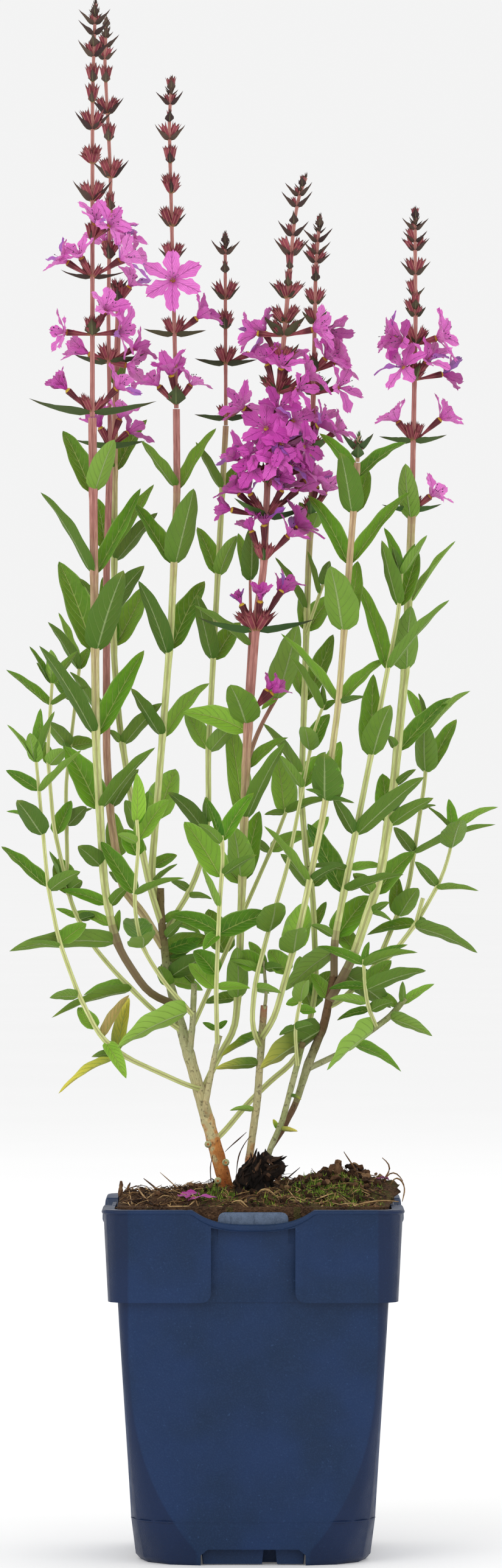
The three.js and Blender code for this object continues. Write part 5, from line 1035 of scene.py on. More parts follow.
class Piece:
    """Gathers skins in layout millimetres and makes one mesh of them in metres."""

    def __init__(self):
        self.points, self.faces, self.charts, self.finishes, self.tones, self.ages = [], [], [], [], [], []
        self.count = 0

    def add(self, points, faces, chart, finish, tone=0.5, age=0.0):
        """points n x 3, chart n x 2, faces m x 4, where a triangle repeats its last corner. The finish,
        tone and age are one for all the faces or one for each."""
        self.points.append(points)
        self.charts.append(chart)
        self.faces.append(np.asarray(faces) + self.count)
        self.finishes += [finish] * len(faces) if isinstance(finish, str) else list(finish)
        self.tones.append(np.broadcast_to(tone, len(faces)))
        self.ages.append(np.broadcast_to(age, len(faces)))
        self.count += len(points)

    def make(self, name, slot, *nodes, crease=50):
        """One object at the origin: its faces' finishes as materials, tone and age as attributes."""
        points = (np.concatenate(self.points) + SHIFT) * MM
        faces, chart = np.concatenate(self.faces), np.concatenate(self.charts)
        kept = np.ones(faces.shape, bool)
        kept[:, 3] = faces[:, 3] != faces[:, 2]
        corners = faces[kept].astype(np.int32)
        mesh = bpy.data.meshes.new(name)
        mesh.vertices.add(len(points))
        mesh.vertices.foreach_set("co", points.astype(np.float32).ravel())
        mesh.loops.add(len(corners))
        mesh.loops.foreach_set("vertex_index", corners)
        mesh.polygons.add(len(faces))
        starts = np.concatenate([[0], np.cumsum(kept.sum(1))[:-1]]).astype(np.int32)
        mesh.polygons.foreach_set("loop_start", starts)
        names = list(dict.fromkeys(self.finishes))
        for finish in names:
            mesh.materials.append(FINISHES[finish])
        slots = np.array([names.index(finish) for finish in self.finishes], np.int32)
        mesh.polygons.foreach_set("material_index", slots)
        mesh.polygons.foreach_set("use_smooth", np.ones(len(faces), bool))
        mesh.update(calc_edges=True)
        mesh.uv_layers.new(name="chart").data.foreach_set("uv", chart[corners].astype(np.float32).ravel())
        for label, values in (("tone", self.tones), ("age", self.ages)):
            attribute = mesh.attributes.new(label, "FLOAT", "FACE")
            attribute.data.foreach_set("value", np.concatenate(values).astype(np.float32))
        mesh.validate()
        mesh.set_sharp_from_angle(angle=math.radians(crease))
        return settle(bpy.data.objects.new(name, mesh), slot, *nodes)


def settle(obj, slot, *nodes):
    """A piece in the scene, on the one body, standing for its nodes. The slot is not used."""
    bpy.context.scene.collection.objects.link(obj)
    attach(obj, "root")
    if nodes:
        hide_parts(*nodes)
    return obj


def lens(sheet, normal, thickness):
    """A thin closed skin: the sheet, and a second one under it that shares its rim."""
    rows, columns = sheet.shape[:2]
    upper = np.arange(rows * columns).reshape(rows, columns)
    lower = upper.copy()
    inner = (rows - 2, columns - 2)
    lower[1:-1, 1:-1] = rows * columns + np.arange(inner[0] * inner[1]).reshape(inner)
    under = (sheet - normal * thickness)[1:-1, 1:-1].reshape(-1, 3)
    return np.concatenate([sheet.reshape(-1, 3), under]), quads(upper), quads(lower)[:, ::-1]


def lens_chart(t, s):
    """The chart of a lens: across and along from 0 to 1, the inner points again for its underside."""
    grid = np.stack(np.broadcast_arrays((s[None] + 1) / 2, t[:, None]), axis=-1)
    return np.concatenate([grid.reshape(-1, 2), grid[1:-1, 1:-1].reshape(-1, 2)])


def blade(piece, foot, tip, form, seed, finishes, tone, age):
    """A leaf or bract: across the middle line of its frame, half widths from its outline; both halves
    rise from the midrib as the share from it to the power 1.25, and the margin waves along its length."""
    rows, cells = form["grid"]
    t = np.linspace(0, 1, rows + 1)
    s = np.linspace(-1, 1, cells + 1)
    middle, side, normal = blade_frame(foot, tip, form["arch"], form["roll"], t)
    length = np.linalg.norm(tip - foot)
    half = form["width"] / 2 * form["outline"](t)[:, None]
    share = np.abs(s)[None]
    lift = form["fold"] * half * (share**1.25 - 0.45)
    phase = 2 * math.pi * noise(seed + 0.2)
    waves = np.sin(2 * math.pi * form["waves"] * t[:, None] + phase + 1.7 * np.sign(s)[None])
    lift = lift + form["wavy"] * form["width"] * share**2 * waves * np.sin(math.pi * t)[:, None]
    droop = form["curl"] * length * (noise(seed + 0.6) - 0.35) * t[:, None] ** 3
    swing = 0.05 * length * (noise(seed + 0.4) - 0.5) * np.sin(math.pi * t)[:, None]
    place = middle[:, None] + side[:, None] * (s[None] * half + swing)[..., None]
    sheet = place + normal[:, None] * (lift - droop)[..., None]
    across_normal = np.broadcast_to(normal[:, None], sheet.shape)
    points, upper, lower = lens(sheet, across_normal, form["thickness"])
    chart = lens_chart(t, s)
    faces = np.concatenate([upper, lower])
    piece.add(points, faces, chart, [finishes[0]] * len(upper) + [finishes[1]] * len(lower), tone, age)


def rings_along(path, radii, profile, reference=(0.0, 1.0, 0.0), spin=0.0, closed=False):
    """Rings of points round a path: the profile gives the radius round each ring as a share, and the
    reference direction, made square to the path, is where the ring's quarter turn lies. A closed path
    goes on from its last place to its first."""
    run = np.roll(path, -1, 0) - np.roll(path, 1, 0) if closed else np.gradient(path, axis=0)
    tangent = unit(run)
    deep = unit(np.asarray(reference) - tangent * (tangent @ np.asarray(reference))[:, None])
    wide = np.cross(tangent, deep)
    angle = np.linspace(0, 2 * math.pi, len(profile), endpoint=False) + spin
    reach = np.asarray(radii)[:, None] * np.asarray(profile)[None]
    flat = wide[:, None] * np.cos(angle)[None, :, None] + deep[:, None] * np.sin(angle)[None, :, None]
    return path[:, None] + flat * reach[..., None]


def banded(values, columns):
    """One value for each face of a tube, from one for each ring: the mean of its two rings, and the end
    rings' own for the two ends."""
    band = np.repeat((values[:-1] + values[1:]) / 2, columns)
    return np.concatenate([band, np.full(columns, values[0]), np.full(columns, values[-1])])


def tube(piece, rings, finish, tone=0.5, age=0.0):
    """The skin over rings of points, closed at both ends by a middle point, facing outwards."""
    rows, columns = rings.shape[:2]
    index = np.arange(rows * columns).reshape(rows, columns)
    middles = np.array([rings[0].mean(0), rings[-1].mean(0)])
    points = np.concatenate([rings.reshape(-1, 3), middles])
    round_ = np.arange(columns)
    after = (round_ + 1) % columns
    first, last = rows * columns, rows * columns + 1
    caps = [
        np.stack([round_, after, np.full(columns, first), np.full(columns, first)], 1),
        np.stack([index[-1][after], index[-1], np.full(columns, last), np.full(columns, last)], 1),
    ]
    faces = np.concatenate([quads(index, wrap=True)[:, ::-1], *caps])
    along = np.concatenate([[0], np.cumsum(np.linalg.norm(np.diff(rings.mean(1), axis=0), axis=1))])
    chart = np.stack(np.broadcast_arrays(round_[None] / columns, along[:, None] / 10), -1).reshape(-1, 2)
    chart = np.concatenate([chart, [[0.5, 0], [0.5, along[-1] / 10]]])
    if np.ndim(tone):
        tone = banded(tone, columns)
    piece.add(points, faces, chart, finish, tone, age)


def softened(places, step):
    """A path walked in even steps of about that many millimetres, its bends rounded by two passes that
    move each inner point halfway to the middle of its neighbours."""
    places = np.array([view_point(place) for place in places])
    run = np.concatenate([[0], np.cumsum(np.linalg.norm(np.diff(places, axis=0), axis=1))])
    count = max(int(run[-1] / step), 3)
    at = np.linspace(0, run[-1], count + 1)
    path = np.stack([np.interp(at, run, places[:, k]) for k in range(3)], axis=1)
    for _ in range(2):
        path[1:-1] = path[1:-1] / 2 + (path[:-2] + path[2:]) / 4
    return path, at / run[-1], run / run[-1]


# The plant's own forms


def leaf_outline(t):
    """The half width of a leaf along its length, as a share of its widest: the way from the foot to a
    power near a third, times the way left to the tip to a power near three quarters, one at its peak."""
    t = np.clip(t, 0.003, 0.999)
    return (t / 0.294) ** 0.3 * ((1 - t) / 0.706) ** 0.72


def drawn_outline(stations):
    """An outline with straight lines between its stations."""
    return lambda t: np.interp(t, *stations)


def petal_outline(t):
    """The half width of a petal along its length, as a share of its widest: a sine of the way along to a
    power just over one, from a narrow claw to its broadest past the middle and a blunt end."""
    return np.sin(math.pi * (0.07 + 0.78 * t**1.2))


def leaf_form(width, roll, large):
    """The form of a leaf: large ones have a finer grid and wavier margins."""
    return dict(
        width=width, roll=roll, arch=LEAF_ARCH, outline=leaf_outline, grid=(18, 8) if large else (12, 4),
        fold=0.42, waves=2.6, wavy=0.05 if large else 0.03, curl=0.09, thickness=0.28,
    )


def square_profile(count=16):
    """A stem's cross section: a square with rounded corners and shallow grooves along its flats."""
    angle = np.arange(count) * 2 * math.pi / count
    square = (np.abs(np.cos(angle)) ** 5 + np.abs(np.sin(angle)) ** 5) ** -0.2
    return square * (1 - 0.05 * np.cos(4 * angle))


def round_profile(count, seed, rough):
    """A woody stem's cross section: round, with uneven long ridges."""
    return np.array([1 + rough * (noise(seed + k) - 0.5) for k in range(count)])


def stalk(piece, run, nodes, reddens, step=4.0, brown_foot=0, stout=1.0):
    """A square stem: widths straight between the run's own, swollen by a seventh at each leaf pair, and
    toned from green to reddish brown between two rows. A brown foot ages down to its end."""
    places, widths = run
    path, at, marks = softened(places, step)
    radii = np.interp(at, marks, widths) * VIEW_STEP * stout
    heights = np.array([row_height(row) for row in nodes])
    if len(heights):
        nearest = np.abs(path[:, 2][:, None] - heights[None]).min(1)
        radii = radii * (1 + 0.15 * np.exp(-((nearest / 1.8) ** 2)))
    low, high = (row_height(row) for row in reddens)
    tone = np.clip((path[:, 2] - low) / (high - low), 0, 1)
    foot_height = path[0, 2] + brown_foot * VIEW_STEP
    brown = np.clip((foot_height - path[:, 2]) / 12, 0, 0.9)
    rings = rings_along(path, radii, square_profile())
    tube(piece, rings, "stalk", tone, banded(brown, rings.shape[1]))


def woody_stalk(piece, run, seed, tone_rows, knots=(), blush=((0, 0), (1, 0)), scars=()):
    """A woody stem: round, ridged lengthwise, with swollen rings at its knots and a cut top. Its tone
    runs between two rows, and its blush, red above zero and dark below, through rows from the top."""
    places, widths = run
    path, at, marks = softened(places, 2.5)
    radii = np.interp(at, marks, widths) * VIEW_STEP
    for row, swell in knots:
        height = row_height(row)
        radii = radii * (1 + swell * np.exp(-(((path[:, 2] - height) / 1.6) ** 2)))
    ripple = 1 + 0.03 * np.sin(path[:, 2] * 0.9 + seed) + 0.02 * np.sin(path[:, 2] * 2.3 + 2 * seed)
    low, high = (row_height(row) for row in tone_rows)
    tone = np.clip((high - path[:, 2]) / (high - low), 0, 1)
    rings = rings_along(path, radii * ripple, round_profile(18, seed, 0.14))
    blush_rows, blushes = zip(*blush)
    heights = [-row_height(row) for row in blush_rows]
    tube(piece, rings, "bark", tone, banded(np.interp(-path[:, 2], heights, blushes), 18))
    for scar in scars:
        branch_scar(piece, np.array(view_point(scar)))


def branch_scar(piece, place, half=1.15):
    """Where a twig has dropped: a low round rim about a sunken middle, facing the front."""
    path = place - np.array([0, 1.0, 0]) * np.array([-1.2, 0, 0.35, 0.4, 0.1])[:, None]
    rings = rings_along(path[[0, 1, 2]], half * np.array([1.4, 1.1, 0.75]), np.ones(10), (0.0, 0.0, 1.0))
    inner = rings_along(path[[2, 3]], half * np.array([0.5, 0.35]), np.ones(10), (0.0, 0.0, 1.0))
    tube(piece, np.concatenate([rings, inner]), "bark", np.array([0.5, 0.2, 0.1, 0.75, 0.8]))


def calyx(piece, foot, mouth, seed, tone, fat=1.0):
    """A calyx: six ribs round a cup that swells towards its rim, a long tooth on each rib, and a sunken
    throat. Even points of a ring are ribs, odd ones are valleys."""
    length = np.linalg.norm(mouth - foot)
    axis = (mouth - foot) / length
    count = 12
    rim = mouth - axis * 0.24 * length
    shares = np.array([0.0, 0.3, 0.68, 1.0])
    path = foot + (rim - foot) * shares[:, None]
    radii = fat * CALYX_RADIUS * length * np.array([0.34, 0.76, 0.9, 0.94])
    ribs = 1 + 0.11 * np.cos(math.pi * np.arange(count))
    rings = rings_along(path, radii, ribs, reference=across(axis)[1], spin=2 * math.pi * noise(seed))
    index = np.arange(4 * count).reshape(4, count)
    out = unit(rings[-1][::2] - rim)
    reach = np.array([0.18 + 0.14 * noise(seed + k) for k in range(6)])[:, None] * length
    apexes = rings[-1][::2] + axis * reach + out * reach * 0.16
    throat = rim - axis * 0.14 * length
    points = np.concatenate([rings.reshape(-1, 3), apexes, [foot, throat]])
    rib, before, after = index[-1][::2], index[-1][1::2][[5, 0, 1, 2, 3, 4]], index[-1][1::2]
    apex, base, sunk = 4 * count + np.arange(6), 4 * count + 6, 4 * count + 7
    ring = np.arange(count)
    triangles = [
        (rib, before, apex), (after, rib, apex), (before, after, apex), (after, before, np.full(6, sunk)),
        (ring, (ring + 1) % count, np.full(count, base)),
    ]
    three = np.concatenate([np.stack([a, b, c, c], 1) for a, b, c in triangles])
    faces = np.concatenate([quads(index, wrap=True)[:, ::-1], three])
    chart = np.stack(np.broadcast_arrays(ring[None] / count, shares[:, None] * 0.75), -1).reshape(-1, 2)
    tips = np.stack([np.arange(6) / 6, np.ones(6)], 1)
    chart = np.concatenate([chart, tips, [[0.5, 0], [0.5, 0.6]]])
    piece.add(points, faces, chart, "calyx", tone)


def petal(piece, mouth, forward, upward, sideways, length, half, seed, tone, wilt):
    """A petal: a narrow claw that widens to a blunt end, bowed off its straight line by a sine, crinkled
    by sines along and across, twisted a little about its length. A wilted one curls in on itself."""
    t = np.linspace(0, 1, 10)
    s = np.linspace(-1, 1, 6)
    crumple = 0.6 if wilt > 0.5 else 0.85 + 0.35 * noise(seed + 0.65)
    twist = (noise(seed + 0.15) - 0.5) * (2.4 if wilt > 0.5 else 0.9) * t
    wide = half * crumple * petal_outline(t)
    notch = 0.05 * np.sin(6 * s + 9 * noise(seed)) - 0.05 * s**2
    reach = length * (t[:, None] + notch[None] * t[:, None] ** 4)
    side = sideways * np.cos(twist)[:, None] + upward * np.sin(twist)[:, None]
    normal = upward * np.cos(twist)[:, None] - sideways * np.sin(twist)[:, None]
    bow = (0.09 + 0.1 * (noise(seed + 0.8) - 0.5)) * length * np.sin(math.pi * t)
    bow = bow - 0.1 * length * t**3 * (noise(seed + 0.35) - 0.2) * (3 if wilt > 0.5 else 1)
    phase = 6 * noise(seed + 0.55)
    crinkle = 0.14 * half * np.sin(13 * t[:, None] + phase + 2 * s[None]) * (0.25 + s[None] ** 2)
    crinkle = crinkle + 0.12 * half * np.sin(6 * s[None] + phase) * t[:, None] + 0.12 * half * s[None] ** 2
    margin = np.sin(15 * t[:, None] + phase + 2.4 * np.sign(s)[None]) * s[None] ** 2
    ragged = 1 + 0.14 * margin * (t > 0.3)[:, None]
    middle = mouth + forward * reach[..., None]
    sheet = middle + side[:, None] * (s[None] * wide[:, None] * ragged)[..., None]
    sheet = sheet + normal[:, None] * (crinkle + bow[:, None])[..., None]
    points, upper, lower = lens(sheet, np.broadcast_to(normal[:, None], sheet.shape), 0.16)
    faces = np.concatenate([upper, lower])
    piece.add(points, faces, lens_chart(t, s), "petal", tone, wilt)


def flower(piece, foot, mouth, size, spread, seed, count, shade):
    """A flower on its own calyx tube, with petals where its solid has them, a throat and stamens.
    The shade takes its petals from their usual tones, at one, down to the deepest, at zero."""
    axis = unit(mouth - foot)
    forward, upward, sideways, length = petals_of(foot, mouth, size, spread, seed, count)
    half = BROAD_PETAL * size / 2
    bloom_tone = noise(seed + 0.9)
    for k in range(count):
        wilt = 1.0 if noise(seed + k + 0.11) > WILTED_FROM else 0.3 * noise(seed + k + 0.21)
        start = mouth + forward[k] * 0.85 + axis * 0.2
        tone = shade * (0.6 * bloom_tone + 0.4 * noise(seed + k + 0.45))
        petal(piece, start, forward[k], upward[k], sideways[k], length[k, 0], half, seed + k, tone, wilt)
    flower_tube(piece, foot, mouth, bloom_tone)
    for k in range(STAMENS):
        stamen(piece, mouth, axis, size, seed + k, k)


def flower_tube(piece, foot, mouth, bloom_tone):
    """The ribbed tube below a flower, widest at its mouth, and the yellow throat that closes it."""
    axis = unit(mouth - foot)
    beside = across(axis)[1]
    at = np.array([0, 0.35, 0.7, 0.9, 1.0])
    path = foot + (mouth - foot) * at[:, None]
    cup = min(8.5 / np.linalg.norm(mouth - foot), 1)
    radii = 0.5 + 1.0 * np.clip((at - 1 + cup) / cup, 0, 1) ** 0.7
    ribs = 1 + 0.1 * np.cos(math.pi * np.arange(12))
    tube(piece, rings_along(path, radii, ribs, reference=beside), "calyx", 0.35 + 0.4 * bloom_tone)
    dome = mouth + axis * np.array([-0.3, 0.45, 0.95])[:, None]
    tube(piece, rings_along(dome, [1.4, 1.3, 0.7], np.ones(8), reference=beside), "throat", bloom_tone)


def stamen(piece, mouth, axis, size, seed, k):
    """A stamen: a thread that bends outwards from the throat, and the small dark anther at its end."""
    u, v = across(axis)
    angle = 2 * math.pi * (k / STAMENS + 0.1 * noise(seed))
    out = u * math.cos(angle) + v * math.sin(angle)
    far = size * (0.3 + 0.28 * noise(seed + 0.31))
    end = mouth + axis * far + out * far * (0.25 + 0.3 * noise(seed + 0.61))
    bend = mouth + axis * far * 0.55 + out * far * 0.12
    thread = np.array([mouth + out * 0.5, bend, end])
    tube(piece, rings_along(thread, [0.14, 0.12, 0.1], np.ones(3), v), "filament", 0.5)
    tip = end + unit(end - bend) * np.array([-0.1, 0.25, 0.6])[:, None]
    tube(piece, rings_along(tip, [0.1, 0.24, 0.1], np.ones(4), v), "anther", 0.5)


def bract_form(width, row):
    """The form of a bract: the low ones are heart-shaped and leafy, those above are narrow."""
    leafy = row > LEAFY_BRACT_ROW
    return dict(
        width=width * (LEAFY_BRACT_WIDTH if leafy else 1), roll=0, arch=BRACT_ARCH,
        outline=drawn_outline(HEART_OUTLINE if leafy else BRACT_OUTLINE),
        grid=(6, 4), fold=0.75, waves=1.5, wavy=0.04, curl=0.12, thickness=0.25,
    )


def grow_leaf(piece, tree, name, run, leaf):
    """A leaf at its row of a stem, turned as its solid is; a small one that has no solid is not turned."""
    row, column, tip_row, width, side = leaf[:5]
    path = run[0]
    start = axis_at(path, max(row, path[-1][1] + LEAST_FROM_TOP))
    over, down = column - start[0], tip_row - start[1]
    reach = math.hypot(over, down)
    full = full_width(width, reach) * VIEW_STEP
    base = view_point(start)
    tip = view_point((column, tip_row, start[2] - lean_of(over, down, width, side) * VIEW_STEP))
    roll = roll_of(base, tip, width * VIEW_STEP / full, side)
    offset = seat_offset(run, start[1])
    if tree is None:
        found = (base + outward(base, tip) * offset, tip, 1)
    else:
        longer = MIDDLE_LEAF_STATIONS if reach < MIDDLE_LEAF else LEAF_STATIONS
        stations = SMALL_LEAF_STATIONS if reach < SMALL_LEAF else longer

        def corners_for(foot, end, share):
            return blade_corners(foot, end, full * share, stations, LEAF_KEEL, LEAF_ARCH, roll)

        found = settled(tree, base, tip, offset, corners_for)
    if found is None:
        return
    foot, end, share = found
    seed = row + 0.37 * column
    usual = OLD_LEAF_AGE if row > OLD_LEAF_ROW else 0.08 - 0.7 * noise(seed + 0.13) ** 2
    age = LEAF_AGES.get((name, row, column), usual)
    form = leaf_form(full * share, roll, reach > SMALL_LEAF)
    blade(piece, foot, end, form, seed, ("leaf", "leaf underside"), noise(seed), age)


def grow_flower(piece, tree, name, run, placing, seed):
    """A flower at its row of a spike, turned as its solid is; one that has no solid is not turned."""
    row, column, mouth_row, lean, size, spread = placing
    start = axis_at(run[0], row)
    mouth = view_point((column, mouth_row, start[2] - lean * VIEW_STEP))
    count = 6 if size >= SIX_PETALS else 5

    def corners_for(foot, end, share):
        return flower_corners(foot, end, size * share * VIEW_STEP, spread, seed, count)

    found = (view_point(start), mouth, 1)
    if tree is not None:
        found = settled(tree, view_point(start), mouth, seat_offset(run, row), corners_for)
    if found is None:
        return
    foot, end, share = found
    shade = DEEP_SHADE if row > DEEP_MAGENTA.get(name, math.inf) else 1
    flower(piece, foot, end, size * share * VIEW_STEP, spread, seed, count, shade)


def towards(base, azimuth, rise, length):
    """The end of a run from a base: its azimuth and rise in degrees, its length in view steps."""
    a, r = math.radians(azimuth), math.radians(rise)
    flat = math.cos(r)
    return base + np.array([flat * math.cos(a), flat * math.sin(a), math.sin(r)]) * length * VIEW_STEP


def grow_calyx(piece, tree, base, offset, whorl, k):
    """A calyx of a whorl, turned as its solid is: every other one is in the far axil, and those of an
    axil are fanned out evenly."""
    row, turn, calyces, calyx_length, _ = whorl
    axil = k % 2
    in_axil = math.ceil((calyces - axil) / 2)
    fan = (k // 2 - (in_axil - 1) / 2) * min(FAN_STEP, WIDEST_FAN / in_axil)
    azimuth = 180 + 90 * turn + 180 * axil + fan + 8 * (noise(row + k) - 0.5)
    rise = 72 - 0.6 * calyx_length + 10 * (noise(row + k + 0.4) - 0.5)
    mouth = towards(base, azimuth, rise, calyx_length)
    roll = 2 * math.pi * noise(row + k + 0.6)
    found = settled(tree, base, mouth, offset, lambda foot, end, share: calyx_corners(foot, end, roll))
    if found is None:
        return
    foot, end, _ = found
    lift = CALYX_LIFT if calyx_length < OPEN_CALYX else NO_LIFT
    calyx(piece, foot, foot + (end - foot) * lift, row + k, 0.2 + 0.8 * noise(row + k + 0.3))


def fill_axil(piece, base, offset, whorl, k):
    """A finer calyx beside those of the solid, aslant in one of a whorl's two axils."""
    row, turn, _, calyx_length, _ = whorl
    beside = 34 * (k // 2 * 2 - 1)
    azimuth = 180 + 90 * turn + 180 * (k % 2) + 50 * (noise(row + k + 7.3) - 0.5) + beside
    rise = 66 - 0.5 * calyx_length + 26 * (noise(row + k + 7.4) - 0.5)
    end = towards(base, azimuth, rise, calyx_length * (0.7 + 0.22 * noise(row + k + 7.7)))
    foot = base + outward(base, end) * offset
    calyx(piece, foot, end, row + k + 20, 0.15 + 0.7 * noise(row + k + 7.9), 1.05)


def grow_bract(piece, tree, base, offset, whorl, k):
    """One of a whorl's two bracts: a short one stands steeper than a long one, and is wider for its
    length."""
    row, turn, _, _, length = whorl
    short = length < SHORT_BRACT
    azimuth = 180 + 90 * turn + 180 * k + 10 * (noise(row + k + 0.8) - 0.5)
    width = (0.56 if short else 0.4) * min(length, WIDE_BRACT) * VIEW_STEP
    tip = towards(base, azimuth, 30 if short else 12, length)

    def corners_for(foot, end, share):
        return blade_corners(foot, end, width, BRACT_MIDDLE, BRACT_KEEL, BRACT_ARCH, 0)

    found = settled(tree, base, tip, offset, corners_for)
    if found is None:
        return
    foot, end, _ = found
    form = bract_form(width * (1 if short else LONG_BRACT_NARROWING), row)
    tip = foot + (end - foot) * (BRACT_LIFT if short else NO_LIFT)
    age = min(max((row - 430) / 400, 0), 1)
    blade(piece, foot, tip, form, row + k, ("bract", "bract"), noise(row + k + 0.5), age)


def grow_whorl(piece, tree, run, whorl):
    """A whorl: its solid's calyces and bracts, and finer calyces between them where they are long."""
    row, _, calyces, calyx_length, bract_length = whorl
    base = view_point(axis_at(run[0], row))
    offset = seat_offset(run, row)
    for k in range(calyces):
        grow_calyx(piece, tree, base, offset, whorl, k)
    fillers = 2 * ((calyx_length >= FILLED_CALYX) + (calyx_length >= OPEN_CALYX))
    for k in range(fillers):
        fill_axil(piece, base, offset, whorl, k)
    for k in range(2 if bract_length else 0):
        grow_bract(piece, tree, base, offset, whorl, k)


def bud_tuft(piece, run, name):
    """The crowd of narrow bud scales round the tip of a spike, shorter and more upright towards its end."""
    path, _ = run
    tip = path[-1]
    foot_row = tip[1] + 26
    for k in range(BUD_SCALES):
        share = k / (BUD_SCALES - 1)
        row = foot_row + (tip[1] - foot_row) * share
        base = view_point(axis_at(path, min(row, path[0][1])))
        length = 17 - 7 * share
        end = towards(base, GOLDEN_ANGLE * k, 42 + 40 * share, length)
        form = bract_form(length * 0.42 * VIEW_STEP, 0)
        form.update(grid=(4, 2), curl=0.0)
        age = 0.9 if name == "spike_h" else 0.0
        blade(piece, base, end, form, k, ("bract", "bract"), noise(k + tip[1]), age)


# Finishes


def paint(code):
    """A linear colour from a six-digit colour code."""
    channels = [int(code[i : i + 2], 16) / 255 for i in (1, 3, 5)]
    return (*(c / 12.92 if c <= 0.04045 else ((c + 0.055) / 1.055) ** 2.4 for c in channels), 1)


class Nodes:
    """Short ways to place shader nodes in one tree. Each gives its output, and put gives the node: a
    value that is a socket is linked to its input, and others are set."""

    def __init__(self, tree):
        self.tree = tree

    def put(self, kind, values=None, **settings):
        node = self.tree.nodes.new("ShaderNode" + kind)
        for key, value in settings.items():
            setattr(node, key, value)
        for key, value in (values or {}).items():
            if isinstance(value, bpy.types.NodeSocket):
                self.tree.links.new(value, node.inputs[key])
            else:
                node.inputs[key].default_value = value
        return node

    def math(self, operation, a, b=0.0, clamp=False):
        return self.put("Math", {0: a, 1: b}, operation=operation, use_clamp=clamp).outputs[0]

    def times(self, a, b, clamp=False):
        return self.math("MULTIPLY", a, b, clamp)

    def plus(self, a, b, clamp=False):
        return self.math("ADD", a, b, clamp)

    def less(self, a, b, clamp=False):
        return self.math("SUBTRACT", a, b, clamp)

    def mix(self, factor, a, b):
        return self.put("Mix", {0: factor, 6: a, 7: b}, data_type="RGBA").outputs[2]

    def tint(self, colour, code, share, strength, clamp=False):
        """A colour carried towards a painted one, by a share times a strength."""
        return self.mix(self.times(share, strength, clamp), colour, paint(code))

    def toned(self, low, high):
        """A colour between two painted ones, by the faces' tone."""
        return self.mix(self.attribute("tone"), paint(low), paint(high))

    def step(self, value, low, high):
        """A smooth rise from zero at the low value to one at the high one."""
        values = {"Value": value, "From Min": low, "From Max": high}
        return self.put("MapRange", values, interpolation_type="SMOOTHSTEP").outputs[0]

    def ramp(self, value, *stops):
        """A colour between the stops, each a place from 0 to 1 and its colour."""
        node = self.put("ValToRGB", {0: value})
        while len(node.color_ramp.elements) < len(stops):
            node.color_ramp.elements.new(0.5)
        for element, (place, colour) in zip(node.color_ramp.elements, stops):
            element.position, element.color = place, colour
        return node.outputs[0]

    def attribute(self, name):
        return self.put("Attribute", attribute_name=name).outputs["Fac"]

    def noise(self, vector, scale, detail=3.0, rough=0.55):
        values = {"Vector": vector, "Scale": scale, "Detail": detail, "Roughness": rough}
        return self.put("TexNoise", values).outputs[0]

    def object_place(self):
        return self.put("TexCoord").outputs["Object"]

    def chart(self):
        """Across and along on the skin's own chart."""
        parts = self.put("SeparateXYZ", {0: self.put("UVMap", uv_map="chart").outputs[0]})
        return parts.outputs[0], parts.outputs[1]

    def bump(self, height, strength, distance):
        return self.put("Bump", {"Height": height, "Strength": strength, "Distance": distance}).outputs[0]

    def surface(self, colour, height, strength, distance):
        """What most finishes are made of: a colour and a bump."""
        return {"Base Color": colour, "Normal": self.bump(height, strength, distance)}

    def veins(self, u, v, pairs, slope, midrib, fine):
        """The veins of a blade, from its chart: shares of vein and midrib, and the share from the midrib."""
        values = {"Across": u, "Along": v, "Pairs": pairs, "Slope": slope, "Midrib": midrib, "Fine": fine}
        return self.put("Group", values, node_tree=VEINS).outputs

    def mottle(self, scale, place=None):
        """Coarse and fine spots over the piece."""
        values = {"Place": place or self.object_place(), "Scale": scale}
        return self.put("Group", values, node_tree=MOTTLE).outputs


def effect(name, inputs, outputs):
    """An empty node group with the given inputs, numbers or vectors, and number outputs, and its ends."""
    tree = bpy.data.node_groups.new(name, "ShaderNodeTree")
    for label, value in inputs.items():
        kind = "NodeSocketVector" if isinstance(value, tuple) else "NodeSocketFloat"
        tree.interface.new_socket(label, in_out="INPUT", socket_type=kind).default_value = value
    for label in outputs:
        tree.interface.new_socket(label, in_out="OUTPUT", socket_type="NodeSocketFloat")
    nodes = Nodes(tree)
    return nodes, tree.nodes.new("NodeGroupInput").outputs, tree.nodes.new("NodeGroupOutput").inputs


def vein_effect():
    """Veins of a leaf or petal on its chart: a midrib where the share from it is small, and pairs that
    leave it aslant, each where the fraction of pairs x (along - slope x share to the power 1.3) is near a
    half. Both fade away from their middles."""
    inputs = {"Across": 0.5, "Along": 0.5, "Pairs": 9.0, "Slope": 0.3, "Midrib": 0.07, "Fine": 0.16}
    nodes, given, out = effect("veins", inputs, ("Veins", "Midrib", "Share"))
    share = nodes.math("ABSOLUTE", nodes.less(nodes.times(given["Across"], 2.0), 1.0))
    bent = nodes.times(nodes.math("POWER", share, 1.3), given["Slope"])
    wave = nodes.math("FRACT", nodes.times(nodes.less(given["Along"], bent), given["Pairs"]))
    gap = nodes.times(nodes.math("ABSOLUTE", nodes.less(wave, 0.5)), 2.0)
    line = nodes.less(1.0, nodes.math("DIVIDE", gap, given["Fine"]), clamp=True)
    fade = nodes.less(1.0, nodes.times(share, 0.75), clamp=True)
    middle = nodes.less(1.0, nodes.math("DIVIDE", share, given["Midrib"]), clamp=True)
    nodes.tree.links.new(nodes.times(line, fade), out["Veins"])
    nodes.tree.links.new(middle, out["Midrib"])
    nodes.tree.links.new(share, out["Share"])
    return nodes.tree


